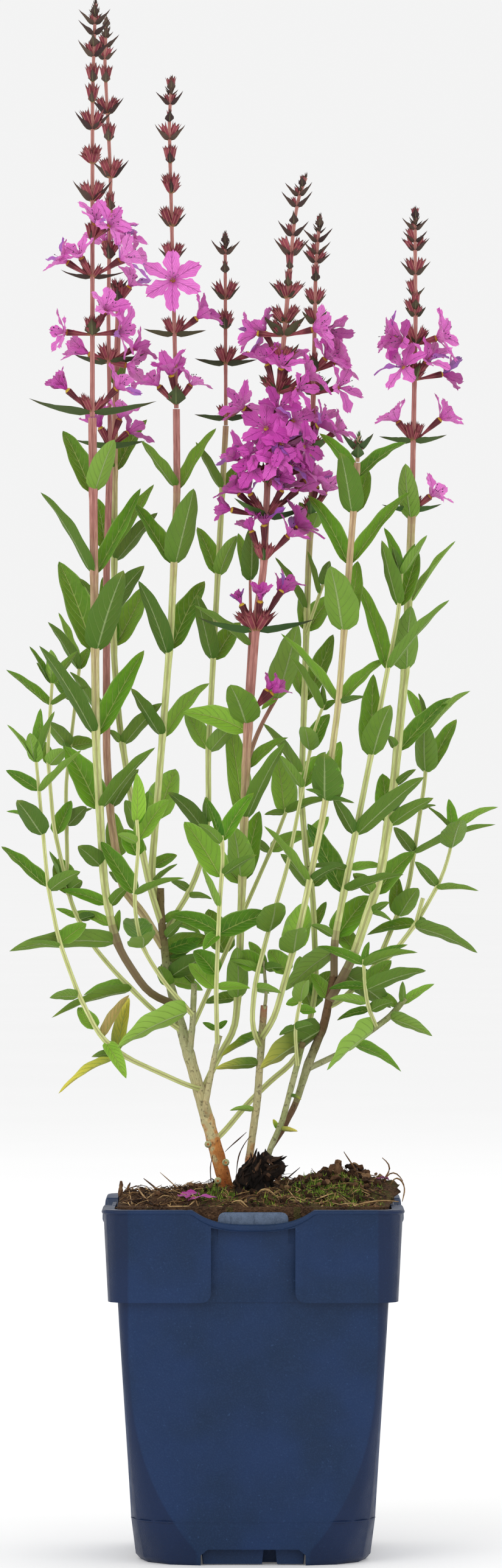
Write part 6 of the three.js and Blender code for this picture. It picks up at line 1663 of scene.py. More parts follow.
def mottle_effect():
    """Two sizes of noise over a piece, each spread to fill the range from 0 to 1."""
    nodes, given, out = effect("mottle", {"Place": (0.0, 0.0, 0.0), "Scale": 100.0}, ("Coarse", "Fine"))
    coarse = nodes.noise(given["Place"], given["Scale"], 2.0)
    fine = nodes.noise(given["Place"], nodes.times(given["Scale"], 6.0), 4.0)
    nodes.tree.links.new(nodes.step(coarse, 0.3, 0.7), out["Coarse"])
    nodes.tree.links.new(nodes.step(fine, 0.3, 0.7), out["Fine"])
    return nodes.tree


# The effects that the finishes share
VEINS = vein_effect()
MOTTLE = mottle_effect()

# The shader's sockets that a finish may set
SOCKETS = {
    "specular": "Specular IOR Level", "scatter": "Subsurface Weight", "sheen": "Sheen Weight",
    "glow": "Emission Strength",
}


def finish(name, make, roughness=0.5, **constants):
    """A material whose colour, roughness and bump come from make; constants go on the shader itself."""
    material = bpy.data.materials.new(name)
    material.use_nodes = True
    material.node_tree.nodes.clear()
    nodes = Nodes(material.node_tree)
    shader = nodes.put("BsdfPrincipled", {"Roughness": roughness, "Emission Color": (1, 1, 1, 1)})
    for key, value in constants.items():
        shader.inputs[SOCKETS[key]].default_value = value
    for key, socket in make(nodes).items():
        nodes.tree.links.new(socket, shader.inputs[key])
    output = nodes.put("OutputMaterial")
    nodes.tree.links.new(shader.outputs[0], output.inputs[0])
    return material


def aged(nodes, colour, along, lime, yellow, tan):
    """A leaf colour carried towards lime where the age is below zero. Above zero it yellows from the tip
    down, by twice the age less the way left to the tip, and near one it dries to tan."""
    age = nodes.attribute("age")
    colour = nodes.mix(nodes.times(age, -1.0, clamp=True), colour, lime)
    left = nodes.less(1.0, along)
    share = nodes.less(nodes.times(age, 2.0), left, clamp=True)
    return nodes.mix(share, colour, nodes.mix(nodes.step(age, 0.7, 1.0), yellow, tan))


def leaf_top(nodes):
    """Fresh green above, with a painted shade darkening it near the midrib in the blade's fold, and a pale
    midrib, side veins and margin.
    """
    u, v = nodes.chart()
    veins = nodes.veins(u, v, pairs=8.0, slope=0.26, midrib=0.07, fine=0.22)
    spots = nodes.mottle(90.0)
    green = nodes.toned("#2c660e", "#5c9a18")
    green = nodes.tint(green, "#25580c", spots["Coarse"], 0.3)
    # painted shade: the green darkened towards the midrib, in the valley of the blade's fold
    green = nodes.tint(green, "#1c5014", nodes.step(veins["Share"], 0.7, 0.0), 0.4)
    green = nodes.tint(green, "#72a022", spots["Fine"], 0.2)
    green = aged(nodes, green, v, paint("#8fbe38"), paint("#dcd044"), paint("#b0945c"))
    green = nodes.tint(green, "#98bc54", veins["Veins"], 0.8)
    green = nodes.tint(green, "#a5bf5c", nodes.step(veins["Share"], 0.86, 1.0), 0.5)
    colour = nodes.tint(green, "#bccf6a", veins["Midrib"], 0.8)
    raised = nodes.plus(veins["Veins"], nodes.times(veins["Midrib"], 2.0))
    height = nodes.less(nodes.times(spots["Fine"], 0.25), raised)
    return nodes.surface(colour, height, 0.6, 0.0008)


def leaf_below(nodes):
    """The greyer, more olive underside, whose midrib and veins stand out."""
    u, v = nodes.chart()
    veins = nodes.veins(u, v, pairs=8.0, slope=0.26, midrib=0.09, fine=0.2)
    spots = nodes.mottle(90.0)
    green = nodes.toned("#3e6422", "#648a2a")
    green = nodes.tint(green, "#4b6c2a", spots["Coarse"], 0.35)
    green = aged(nodes, green, v, paint("#8cb444"), paint("#d4c852"), paint("#a68e60"))
    green = nodes.tint(green, "#8aaa4e", veins["Veins"], 0.6)
    colour = nodes.tint(green, "#b4c886", veins["Midrib"], 0.85)
    raised = nodes.plus(veins["Veins"], nodes.times(veins["Midrib"], 2.5))
    return nodes.surface(colour, raised, 0.6, 0.0008)


def bract_look(nodes):
    """Dull brown near the spike's tip, grey-green lower down, with a browner tip and a pale midrib."""
    u, v = nodes.chart()
    veins = nodes.veins(u, v, pairs=5.0, slope=0.3, midrib=0.12, fine=0.2)
    young = nodes.toned("#3e2e2e", "#5a4a40")
    leafy = nodes.toned("#3c5630", "#4c6e34")
    colour = nodes.mix(nodes.attribute("age"), young, leafy)
    colour = nodes.tint(colour, "#4c2c2c", nodes.step(v, 0.6, 1.0), 0.5)
    colour = nodes.tint(colour, "#8f9a66", veins["Midrib"], 0.5)
    return nodes.surface(colour, veins["Veins"], 0.3, 0.0003)


def calyx_look(nodes):
    """Dark wine red with paler ribs, a greenish foot and darker teeth."""
    u, v = nodes.chart()
    wave = nodes.math("COSINE", nodes.times(u, 12 * math.pi))
    ribs = nodes.step(wave, 0.1, 0.9)
    spots = nodes.mottle(500.0)
    red = nodes.toned("#6a2535", "#9e4c58")
    red = nodes.tint(red, "#5c1e2c", spots["Coarse"], 0.35)
    colour = nodes.tint(red, "#c08272", ribs, 0.5)
    colour = nodes.tint(colour, "#a39250", nodes.step(v, 0.3, 0.0), 0.6)
    colour = nodes.tint(colour, "#3f141e", nodes.step(v, 0.72, 1.0), 0.7)
    return nodes.surface(colour, ribs, 0.4, 0.0004)


def petal_look(nodes):
    """Orchid magenta, deeper towards the claw and along the veins; wilted petals turn violet."""
    u, v = nodes.chart()
    veins = nodes.veins(u, v, pairs=5.0, slope=0.75, midrib=0.09, fine=0.26)
    spots = nodes.mottle(260.0)
    shades = (0.0, paint("#92267a")), (0.25, paint("#d045b2")), (1.0, paint("#fb86e2"))
    colour = nodes.ramp(nodes.attribute("tone"), *shades)
    colour = nodes.tint(colour, "#b03498", spots["Coarse"], 0.2)
    colour = nodes.tint(colour, "#941a6a", nodes.step(v, 0.25, 0.0), 0.5)
    lines = nodes.math("MAXIMUM", nodes.times(veins["Veins"], 0.9), nodes.times(veins["Midrib"], 0.95))
    colour = nodes.mix(lines, colour, paint("#921c78"))
    colour = nodes.tint(colour, "#8058b8", nodes.step(nodes.attribute("age"), 0.3, 1.0), 0.6)
    crease = nodes.plus(nodes.times(spots["Fine"], 0.5), lines)
    return nodes.surface(colour, crease, 0.35, 0.0005)


def stalk_look(nodes):
    """Pale yellow-green below and reddish brown above, by tone, with darker lines along the flats."""
    u, v = nodes.chart()
    flats = nodes.step(nodes.math("COSINE", nodes.times(u, 8 * math.pi)), 0.2, 1.0)
    strands = nodes.put("CombineXYZ", {0: nodes.times(u, 60.0), 1: nodes.times(v, 1.4)})
    streaks = nodes.step(nodes.noise(strands.outputs[0], 1.0, 3.0), 0.35, 0.65)
    tone = nodes.attribute("tone")
    green = nodes.mix(streaks, paint("#b0b968"), paint("#dade9e"))
    green = nodes.tint(green, "#7c6c46", flats, 0.5)
    red = nodes.mix(streaks, paint("#985c54"), paint("#c28a80"))
    red = nodes.tint(red, "#6c3833", flats, 0.35)
    colour = nodes.mix(tone, green, red)
    colour = nodes.mix(nodes.attribute("age"), colour, paint("#6e5440"))
    return nodes.surface(colour, streaks, 0.25, 0.0003)


def bark_look(nodes):
    """Woody stems: olive above and orange-brown near the soil, by tone. The age makes them reddish above
    zero and dark below. Streaks run along them, with dark flecks."""
    u, v = nodes.chart()
    strands = nodes.put("CombineXYZ", {0: nodes.times(u, 30.0), 1: nodes.times(v, 2.2)})
    streaks = nodes.step(nodes.noise(strands.outputs[0], 1.0, 4.0), 0.35, 0.7)
    spots = nodes.mottle(120.0)
    tone = nodes.plus(nodes.attribute("tone"), nodes.times(nodes.less(spots["Coarse"], 0.5), 0.22))
    colour = nodes.ramp(
        tone, (0.0, paint("#8b9a5c")), (0.3, paint("#b6b88a")), (0.7, paint("#cfc290")),
        (0.78, paint("#cc8644")), (1.0, paint("#a0541e")),
    )
    blush = nodes.attribute("age")
    colour = nodes.tint(colour, "#b4484a", blush, 0.9, clamp=True)
    colour = nodes.tint(colour, "#66402f", blush, -0.9, clamp=True)
    colour = nodes.tint(colour, "#7c5a34", streaks, 0.3)
    colour = nodes.tint(colour, "#3c2416", nodes.step(spots["Fine"], 0.75, 1.0), 0.6)
    height = nodes.plus(streaks, spots["Fine"])
    return nodes.surface(colour, height, 0.5, 0.0005)


def soil_look(nodes):
    """Dark peat of several browns, in crumbs, with a green cast where moss grows."""
    place = nodes.object_place()
    spots = nodes.mottle(160.0, place)
    crumbs = nodes.put("TexVoronoi", {"Vector": place, "Scale": 520.0}).outputs["Distance"]
    brown = nodes.mix(spots["Coarse"], paint("#30221a"), paint("#5e4532"))
    brown = nodes.tint(brown, "#80624a", spots["Fine"], 0.5)
    brown = nodes.tint(brown, "#56642a", nodes.attribute("age"), 0.7)
    height = nodes.plus(crumbs, nodes.times(spots["Fine"], 0.8))
    return nodes.surface(brown, height, 0.9, 0.0015)


def toned_look(*stops, scale=300.0):
    """A finish of a few colours in a row, chosen by tone and mottled."""

    def make(nodes):
        spots = nodes.mottle(scale)
        shift = nodes.times(nodes.less(spots["Coarse"], 0.5), 0.35)
        tone = nodes.plus(nodes.attribute("tone"), shift, clamp=True)
        places = [(i / (len(stops) - 1), paint(stop)) for i, stop in enumerate(stops)]
        return nodes.surface(nodes.ramp(tone, *places), spots["Fine"], 0.4, 0.0004)

    return make


def pot_corner_shade_and_gloss(nodes, place):
    """One in the smooth corners of the pot, which get a painted shade standing in for the paler reflection
    of the flat panels, and zero on its grained panels. A panel's half width falls with the cube of the way
    down from its top, so the corners widen towards the foot."""
    parts = nodes.put("SeparateXYZ", {0: place}).outputs
    x, y = (nodes.math("ABSOLUTE", nodes.less(parts[i], SHIFT[i] * MM)) for i in range(2))
    down = nodes.math("DIVIDE", nodes.less(PANEL_TOP, parts[2]), PANEL_DROP, clamp=True)
    narrowing = nodes.times(nodes.math("POWER", down, 3.0), PANEL_NARROWING)
    panel_half = nodes.less(PANEL_HALF, narrowing)
    beyond = nodes.less(nodes.math("MINIMUM", x, y), panel_half)
    return nodes.step(beyond, -0.6 * MM, 0.6 * MM)


def plastic_look(nodes):
    """Moulded navy plastic: fine pebbled grain with paler tops, a few specks, and smoother corners darkened
    by a painted shade that stands in for the panels' paler reflection.
    """
    place = nodes.object_place()
    grain = nodes.noise(place, 1500.0, 3.0)
    spots = nodes.mottle(32.0, place)
    specks = nodes.step(nodes.noise(place, 900.0, 2.0), 0.64, 0.8)
    colour = nodes.mix(spots["Coarse"], paint("#0d2645"), paint("#122c53"))
    colour = nodes.tint(colour, "#284268", nodes.step(grain, 0.42, 0.72), 0.22)
    colour = nodes.tint(colour, "#40608f", specks, 0.25)
    # painted shade: the corners are darkened towards #081a3c, standing in for the paler reflection on the
    # flat panels; they are also made less rough
    corner = pot_corner_shade_and_gloss(nodes, place)
    colour = nodes.tint(colour, "#081a3c", corner, 0.6)
    dust = nodes.times(spots["Fine"], 0.1)
    rough = nodes.less(nodes.plus(0.46, dust), nodes.times(corner, 0.1))
    return nodes.surface(colour, grain, 0.35, 0.0003) | {"Roughness": rough}


def label_tab_look(nodes):
    """The thin tab: paler and cloudier than the pot, with a faint frost."""
    spots = nodes.mottle(420.0)
    colour = nodes.mix(spots["Coarse"], paint("#38485f"), paint("#4a5b74"))
    colour = nodes.tint(colour, "#76869c", spots["Fine"], 0.3)
    return nodes.surface(colour, spots["Fine"], 0.2, 0.0002)


ROTTEN_BROWNS = ("#0d0a09", "#1d1714", "#33261e", "#5a4232")
CRUMB_BROWNS = ("#241912", "#422e21", "#664a35", "#86694c")
FIBRE_BROWNS = ("#2c1c14", "#5a3e28", "#927048", "#c0a070")

FINISHES = {
    "leaf": finish("leaf_upper_side", leaf_top, 0.5, scatter=0.05, specular=0.18),
    "leaf underside": finish("leaf_underside", leaf_below, 0.6, scatter=0.05, specular=0.14),
    "bract": finish("bract", bract_look, 0.65, specular=0.15),
    "calyx": finish("calyx", calyx_look, 0.6, specular=0.2),
    "petal": finish("petal", petal_look, 0.6, scatter=0.1, specular=0.12, sheen=0.1),
    "throat": finish("flower_throat", toned_look("#cdb040", "#bc9430", "#9a5c34"), 0.6, specular=0.15),
    "filament": finish("filament", toned_look("#b84aa0", "#d69ac8"), 0.5, specular=0.2),
    "anther": finish("anther", toned_look("#2a2430", "#4a3848"), 0.6, specular=0.2),
    "stalk": finish("square_stalk", stalk_look, 0.5, specular=0.3),
    "bark": finish("woody_stem", bark_look, 0.65, specular=0.25),
    "stump": finish("rotten_wood", toned_look(*ROTTEN_BROWNS, scale=220.0), 0.85, specular=0.12),
    "soil": finish("potting_soil", soil_look, 0.95, specular=0.1),
    "crumb": finish("soil_crumb", toned_look(*CRUMB_BROWNS), 0.95, specular=0.1),
    "fibre": finish("dry_fibre", toned_look(*FIBRE_BROWNS), 0.7, specular=0.2),
    "moss": finish("moss", toned_look("#3a4c1a", "#66842a", "#a4b44c"), 0.8, specular=0.15),
    "plastic": finish("navy_plastic", plastic_look, 0.5, specular=0.25),
    "label tab": finish("label_tab", label_tab_look, 0.4, specular=0.4),
}


# The plant, node by node


def grow_stem(name, stem):
    """One node's stalk, branches and leaves as one piece."""
    piece, tree = Piece(), corner_tree(name)
    run, branches = stalk_of(stem), branches_of(stem)
    if name in WOODY:
        woody_stalk(piece, run, **WOODY[name])
        for branch in branches:
            woody_stalk(piece, branch, WOODY[name]["seed"] + 1, WOODY[name]["tone_rows"])
    else:
        rows = [leaf[0] for leaf in stem.get("leaves", [])]
        reddens = REDDENS.get(name, GREEN_THROUGHOUT)
        stalk(piece, run, rows, reddens, brown_foot=BROWN_FEET.get(name, 0), stout=STEM_STOUTNESS)
        for branch in branches:
            stalk(piece, branch, [], reddens, stout=STEM_STOUTNESS)
    for leaf in stem.get("leaves", []):
        grow_leaf(piece, tree, name, run, leaf)
    for leaf in stem.get("branch_leaves", []):
        grow_leaf(piece, tree, name, branches[leaf[5]], leaf)
    for leaf in (*stem.get("small_leaves", ()), *MORE_LEAVES.get(name, ())):
        grow_leaf(piece, None, name, run, leaf)
    if name in WOODY:
        piece.make("woody_" + name, "woody_stem", name)
    else:
        piece.make("leafy_" + name, "green_leaf", name)


def grow_spike(name, stem):
    """One flower spike as one piece: its stalk, flowers, whorls and the buds at its tip."""
    spike_name = name.replace("stem", "spike")
    piece, tree = Piece(), corner_tree(spike_name)
    run = spike_of(stem)
    whorl_rows = [whorl[0] for whorl in stem["whorls"]]
    stalk(piece, run, whorl_rows, REDDENS.get(name, GREEN_THROUGHOUT), step=3.0, stout=SPIKE_STOUTNESS)
    for i, placing in enumerate(stem.get("flowers", [])):
        grow_flower(piece, tree, spike_name, run, placing, placing[0] + 3 * i)
    for i, placing in enumerate(MORE_FLOWERS.get(name, ())):
        grow_flower(piece, None, spike_name, run, placing, placing[0] + 7 * i + 0.37)
    for whorl in stem["whorls"]:
        grow_whorl(piece, tree, run, whorl)
    bud_tuft(piece, run, spike_name)
    piece.make("flowering_" + spike_name, "flower", spike_name)


# Soil and what lies on it


def quarter_turn(turn):
    """What turns rows of places by so many quarters about the vertical."""
    cosine, sine = math.cos(turn * math.pi / 2), math.sin(turn * math.pi / 2)
    return np.array([[cosine, sine, 0], [-sine, cosine, 0], [0, 0, 1]])


def rounded_ring(half, radius, flat_steps=36, bend_steps=10):
    """A square ring with rounded corners, clockwise from above: each quarter is a straight side and then
    an arc."""
    inner = half - radius
    side = np.linspace(-inner, inner, flat_steps, endpoint=False)
    angle = np.linspace(-math.pi / 2, 0, bend_steps, endpoint=False)
    straight = np.stack([side, np.full(flat_steps, -half)], 1)
    arc = np.stack([inner + radius * np.cos(angle), -inner + radius * np.sin(angle)], 1)
    quarter = np.concatenate([straight, arc])
    return np.concatenate([quarter @ quarter_turn(turn)[:2, :2] for turn in range(4)])[::-1]


def ripples(x, y, size, seed, waves=8):
    """Uneven ground: sines that cross at seeded angles, with crests about that size apart, summed and
    divided by the square root of their number."""
    total = np.zeros(np.broadcast(x, y).shape)
    for k in range(waves):
        angle = 2 * math.pi * noise(seed + k)
        pitch = 2 * math.pi / (size * (0.6 + 0.9 * noise(seed + k + 0.5)))
        total += np.sin(pitch * (x * math.cos(angle) + y * math.sin(angle)) + 6.3 * noise(seed + k + 0.7))
    return total / math.sqrt(waves)


def bell(x, y, middle, spread):
    """A hill of height one that falls off as a bell, with its half widths across and back."""
    return np.exp(-(((x - middle[0]) / spread[0]) ** 2 + ((y - middle[1]) / spread[1]) ** 2))


def soil_height(x, y):
    """The frame's soil top: a crown, a mound to the right, and two long ripples."""
    share = np.minimum(np.hypot(x, y) / 62, 1)
    ripple = 1.3 * np.sin(0.21 * x + 1.1) * np.cos(0.17 * y) + 0.9 * np.sin(0.43 * x - 0.31 * y)
    mound = MOUND_HEIGHT * bell(x, y, MOUND_MIDDLE, MOUND_SPREAD)
    return SOIL_EDGE + (SOIL_CROWN - SOIL_EDGE) * (1 - share**2) + mound + ripple * (1 - 0.5 * share)


def ground(x, y):
    """The dressed soil top: the frame's, with lumps of three sizes and a bell-shaped heap at each place."""
    lumps = 0.9 * ripples(x, y, 14, 1.7) + 0.6 * ripples(x, y, 5, 4.1) + 0.35 * ripples(x, y, 2.2, 8.3)
    heaps = [high * bell(x, y, (a, b), (wide, deep)) for a, b, wide, deep, high in HEAPS]
    return soil_height(x, y) + lumps + sum(heaps)


def moss_share(x, y):
    """How mossy the ground is: the highest of bell-shaped patches, broken up by ripples."""
    patches = [thick * bell(x, y, (a, b), (wide, deep)) for a, b, wide, deep, thick in MOSS_PATCHES]
    return np.clip(np.max(patches, axis=0) * 1.5 + 0.35 * ripples(x, y, 7, 2.9) - 0.35, 0, 1)


def soil_piece():
    """The soil: rings that fill the pot from its floor, then shrink towards the middle of the bumpy top,
    which bulges over the rim at the right."""
    ring = rounded_ring(SOIL_HALF, SOIL_CORNER)
    rings = [
        np.column_stack([rounded_ring(half, radius), np.full(len(ring), height)])
        for height, half, radius in SOIL_RINGS
    ]
    rings.append(np.column_stack([ring, np.full(len(ring), SOIL_UNDER_RIM)]))
    for share in np.linspace(1, SOIL_INNERMOST, SOIL_STEPS):
        x, y = ring[:, 0] * share, ring[:, 1] * share
        height = ground(x, y)
        bulge = (BULGE + 1.6 * ripples(y, height, 5, 3.3)) * share**12
        bulge = bulge * np.exp(-(((y - BULGE_MIDDLE) / BULGE_SPREAD) ** 2)) * (x > BULGE_FROM)
        least = SOIL_AT_RIM if share > 0.9 else 0
        rings.append(np.column_stack([x + bulge, y, height.clip(least)]))
    piece = Piece()
    tube(piece, np.array(rings), "soil")
    centres = piece.points[0][piece.faces[0][:, :3]].mean(1)
    piece.ages[0] = moss_share(centres[:, 0], centres[:, 1]) * (centres[:, 2] > MOSS_ABOVE)
    piece.make("soil_in_pot", "potting_soil", "soil", crease=180)


def lump(piece, centre, size, rng, finish, tone):
    """A crumb: five uneven rings round a short slanting axis."""
    direction = unit(rng.normal(size=3)) * size
    path = centre + direction * np.array([-1, -0.6, 0, 0.6, 1])[:, None]
    radii = size * np.array([0.35, 0.75, 0.9, 0.7, 0.3])
    rings = rings_along(path, radii, 0.75 + 0.5 * rng.random(6), across(unit(direction))[1])
    rings += rng.normal(size=rings.shape) * 0.12 * size
    tube(piece, rings, finish, tone)


def scatter(rng, count):
    """Seeded places over the pot's square."""
    return rng.uniform(-POT_REACH, POT_REACH, size=(count, 2))


def crumbs_piece():
    """Crumbs of peat over the soil, thicker on the mound and along the rim."""
    rng = np.random.default_rng(7)
    piece = Piece()
    for x, y in scatter(rng, CRUMBS):
        on_mound = bell(x, y, LOOSE_MIDDLE, LOOSE_SPREAD)
        near_rim = max(abs(x), abs(y)) > 44
        if rng.random() > 0.45 + 0.5 * on_mound + 0.25 * near_rim:
            continue
        size = rng.uniform(0.4, 1.4) * (1 + on_mound * rng.random())
        lift = size * rng.uniform(0.0, 0.8) + 3.0 * on_mound * rng.random() ** 2
        centre = np.array([x, y, float(ground(x, y)) + lift])
        lump(piece, centre, size, rng, "crumb", rng.random() ** 1.5)
    piece.make("peat_crumbs", "potting_soil")


def strand(piece, path, half, tone):
    """A fibre: a thin four-sided tube that tapers to both ends."""
    radii = half * (1 - 0.6 * np.abs(np.linspace(-1, 1, len(path))) ** 2)
    tube(piece, rings_along(path, radii, np.ones(4), (0.31, 0.2, 0.93)), "fibre", tone)


def fibres_piece():
    """Short curved fibres strewn over the soil, and the longer strands that stand out in front of it."""
    rng = np.random.default_rng(19)
    piece = Piece()
    t = np.linspace(-1, 1, 5)[:, None]
    for x, y in scatter(rng, FIBRES):
        angle = rng.uniform(0, 2 * math.pi)
        length = rng.uniform(2, 8)
        direction = np.array([math.cos(angle), math.sin(angle), 0.0])
        bow = np.array([-math.sin(angle), math.cos(angle), 0.0]) * rng.normal() * 0.25 * length
        path = np.array([x, y, 0.0]) + direction * t * length + bow * (1 - t**2)
        path[:, :2] = np.clip(path[:, :2], -LONGEST_REACH, LONGEST_REACH)
        slope = rng.uniform(-0.1, 0.45)
        under = ground(path[:, 0], path[:, 1]).clip(soil_height(x, y) - 1)
        path[:, 2] = under + 0.5 + slope * (t[:, 0] + 1) * length / 2
        strand(piece, path, rng.uniform(0.14, 0.34), rng.random() ** 1.7)
    for places, half, tone in STRANDS:
        path, _, _ = softened(places, 2.0)
        strand(piece, path, half, tone)
    piece.make("peat_fibres", "potting_soil")


def moss_piece():
    """Moss: small upright three-sided tufts where the ground is mossy."""
    rng = np.random.default_rng(31)
    piece = Piece()
    for x, y in scatter(rng, TUFTS):
        if rng.random() > moss_share(np.float64(x), np.float64(y)):
            continue
        height = rng.uniform(1.0, 3.2)
        foot = np.array([x, y, float(ground(x, y)) - 0.3])
        tip = foot + np.array([rng.normal() * 0.8, rng.normal() * 0.8, height])
        angle = rng.uniform(0, 2) + np.arange(3) * 2 * math.pi / 3
        ring = foot + np.stack([0.45 * np.cos(angle), 0.45 * np.sin(angle), np.zeros(3)], 1)
        points = np.concatenate([ring, [tip]])
        faces = np.array([[0, 1, 3, 3], [1, 2, 3, 3], [2, 0, 3, 3], [2, 1, 0, 0]])
        piece.add(points, faces, np.zeros((4, 2)), "moss", rng.random())
    piece.make("moss_tufts", "potting_soil")


def fallen_petals_piece():
    """Petals that have dropped on the soil, lying nearly flat."""
    piece = Piece()
    for k, (column, row, depth, heading, length) in enumerate(FALLEN_PETALS):
        place = view_point((column, row, depth))
        place[2] = float(ground(place[0], place[1])) + 1.4
        angle = math.radians(heading)
        forward = np.array([math.cos(angle), math.sin(angle), 0.12])
        sideways = np.array([-math.sin(angle), math.cos(angle), 0.0])
        start = place - forward * length / 2
        petal(piece, start, forward, np.array([0, 0, 1.0]), sideways, length, 2.6, 40 + k, 0.1, 0.3)
    piece.make("fallen_petals", "flower")


def shred(piece, rng):
    """A fibre of rotten wood: it climbs the trunk's side between two rows, close to its face, and turns
    a little round it. Most are nearly black, a few brown."""
    columns, marks, halves, depths = np.array(TRUNK)[::-1].T
    rows = rng.uniform(1908, 1990) - np.linspace(0, rng.uniform(6, 24), 5)
    angle = rng.uniform(0, 2 * math.pi) + rng.normal() * 0.35 * np.linspace(0, 1, 5)
    half = np.interp(rows, marks, halves) * (0.98 + 0.1 * rng.random() * np.linspace(0.2, 1, 5))
    middle = view_point((np.interp(rows, marks, columns), rows, np.interp(rows, marks, depths))).T
    deep = np.minimum(0.8 * half, DEEPEST_TRUNK)
    out = np.stack([half * np.cos(angle), deep * np.sin(angle), 0 * half], 1)
    radii = rng.uniform(0.25, 0.8) * np.array([0.4, 1, 1, 0.8, 0.2])
    tube(piece, rings_along(middle + out * VIEW_STEP, radii, np.ones(4)), "stump", rng.random() ** 1.6)


def trunk_bumps(around, n):
    """How far the trunk's nine-sided ring with that number stands out, round it."""
    marks = np.linspace(0, 2 * math.pi, 10)
    return np.interp(around, marks, [0.86 + 0.3 * noise(7 * n + k % 9 + 0.5) for k in range(10)])


def trunk_ring(around, level):
    """A ring of the trunk at a level between its own rings: bumps, cracks lengthwise and pits."""
    low = min(int(level), len(TRUNK) - 2)
    part = level - low
    column, row, half, depth = np.array(TRUNK[low]) * (1 - part) + np.array(TRUNK[low + 1]) * part
    bump = trunk_bumps(around, low) * (1 - part) + trunk_bumps(around, low + 1) * part
    cracks = 0.09 * np.abs(np.sin(6.5 * around + 0.5 * level))
    bump = bump * (1 - cracks + 0.05 * np.sin(17 * around + 3 * level))
    wide = half * VIEW_STEP * bump
    deep = min(0.8 * half, DEEPEST_TRUNK) * VIEW_STEP * bump
    rise = 0.5 * np.sin(5 * around + level) * (level > 3)
    ring = np.stack([wide * np.cos(around), deep * np.sin(around), rise], 1)
    return view_point((column, row, depth)) + ring


def splinter(piece, rng):
    """A splinter that stands out at the stump's right, thinner towards its end."""
    start = view_point((rng.uniform(438, 462), rng.uniform(1900, 1936), rng.uniform(-20, -9)))
    heading = unit(np.array([1 + rng.random(), 0.6 * rng.normal(), 0.25 + 0.5 * rng.normal()]))
    path = start + heading * rng.uniform(2, 5) * np.linspace(-0.5, 1, 4)[:, None]
    path += rng.normal(size=(4, 3)) * 0.25
    radii = np.array([0.9, 1, 0.7, 0.15]) * rng.uniform(0.5, 1.1)
    tube(piece, rings_along(path, radii, np.ones(5)), "stump", rng.random())


def stump_piece():
    """The rotten stump: the frame's rings, walked in finer steps round and up, its arms and root as
    rough tubes, and shreds and splinters of its wood."""
    piece = Piece()
    around = np.linspace(0, 2 * math.pi, 40, endpoint=False)
    rings = [trunk_ring(around, level) for level in np.linspace(0, len(TRUNK) - 1, 26)]
    tube(piece, np.array(rings)[:, ::-1], "stump", 0.3)
    for k, (places, widths) in enumerate(STUMP_ARMS):
        path, at, marks = softened(places, 0.9)
        radii = np.interp(at, marks, widths) * VIEW_STEP
        radii = radii * (1 + 0.13 * np.sin(path[:, 0] * 2.1 + k) + 0.09 * np.sin(path[:, 0] * 5.3))
        tube(piece, rings_along(path, radii, round_profile(10, 5 * k, 0.45)), "stump", 0.45)
    rng = np.random.default_rng(5)
    for _ in range(SHREDS):
        shred(piece, rng)
    for _ in range(SPLINTERS):
        splinter(piece, rng)
    piece.make("rotten_stump", "rotten_wood", "old_stump")


# Pot


def pot_piece():
    """The pot's own solid, its loose triangles joined into flat faces and its edges slightly rounded."""
    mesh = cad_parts["pot"].data.copy()
    work = bmesh.new()
    work.from_mesh(mesh)
    bmesh.ops.remove_doubles(work, verts=work.verts, dist=2e-6)
    bmesh.ops.dissolve_limit(work, angle_limit=FLAT_WITHIN, verts=work.verts, edges=work.edges)
    raise_tab_feet(work.verts)
    work.to_mesh(mesh)
    work.free()
    mesh.name = "square_pot"
    mesh.materials.clear()
    mesh.materials.append(FINISHES["plastic"])
    pot = bpy.data.objects.new("square_pot", mesh)
    settle(pot, "pot_plastic", "pot")
    mesh.polygons.foreach_set("use_smooth", np.ones(len(mesh.polygons), bool))
    mesh.set_sharp_from_angle(angle=math.radians(40))
    bevel = pot.modifiers.new("rounded_edges", "BEVEL")
    bevel.width = ROUNDED_EDGE * MM
    bevel.segments = 2
    bevel.limit_method = "ANGLE"
    bevel.angle_limit = ROUNDED_FROM
    bevel.harden_normals = True
    return pot


def raise_tab_feet(corners):
    """The four label tabs end behind the lip: the corners of a tab's foot, just proud of the wall, move
    up."""
    for corner in corners:
        out = max(abs(corner.co.x - SHIFT[0] * MM), abs(corner.co.y - SHIFT[1] * MM)) / MM
        on_wall = TAB_WALL[0] < out < TAB_WALL[1]
        if on_wall and TAB_FEET[0] * MM < corner.co.z < TAB_FEET[1] * MM:
            corner.co.z = TAB_END * MM


def rim_drop(place):
    """How far the rim dips in the middle of a side: most at its middle, none past the dip's half width."""
    share = np.minimum(np.abs(place) / RIM_DIP_HALF, 1)
    return RIM_DIP * (1 - share**3)


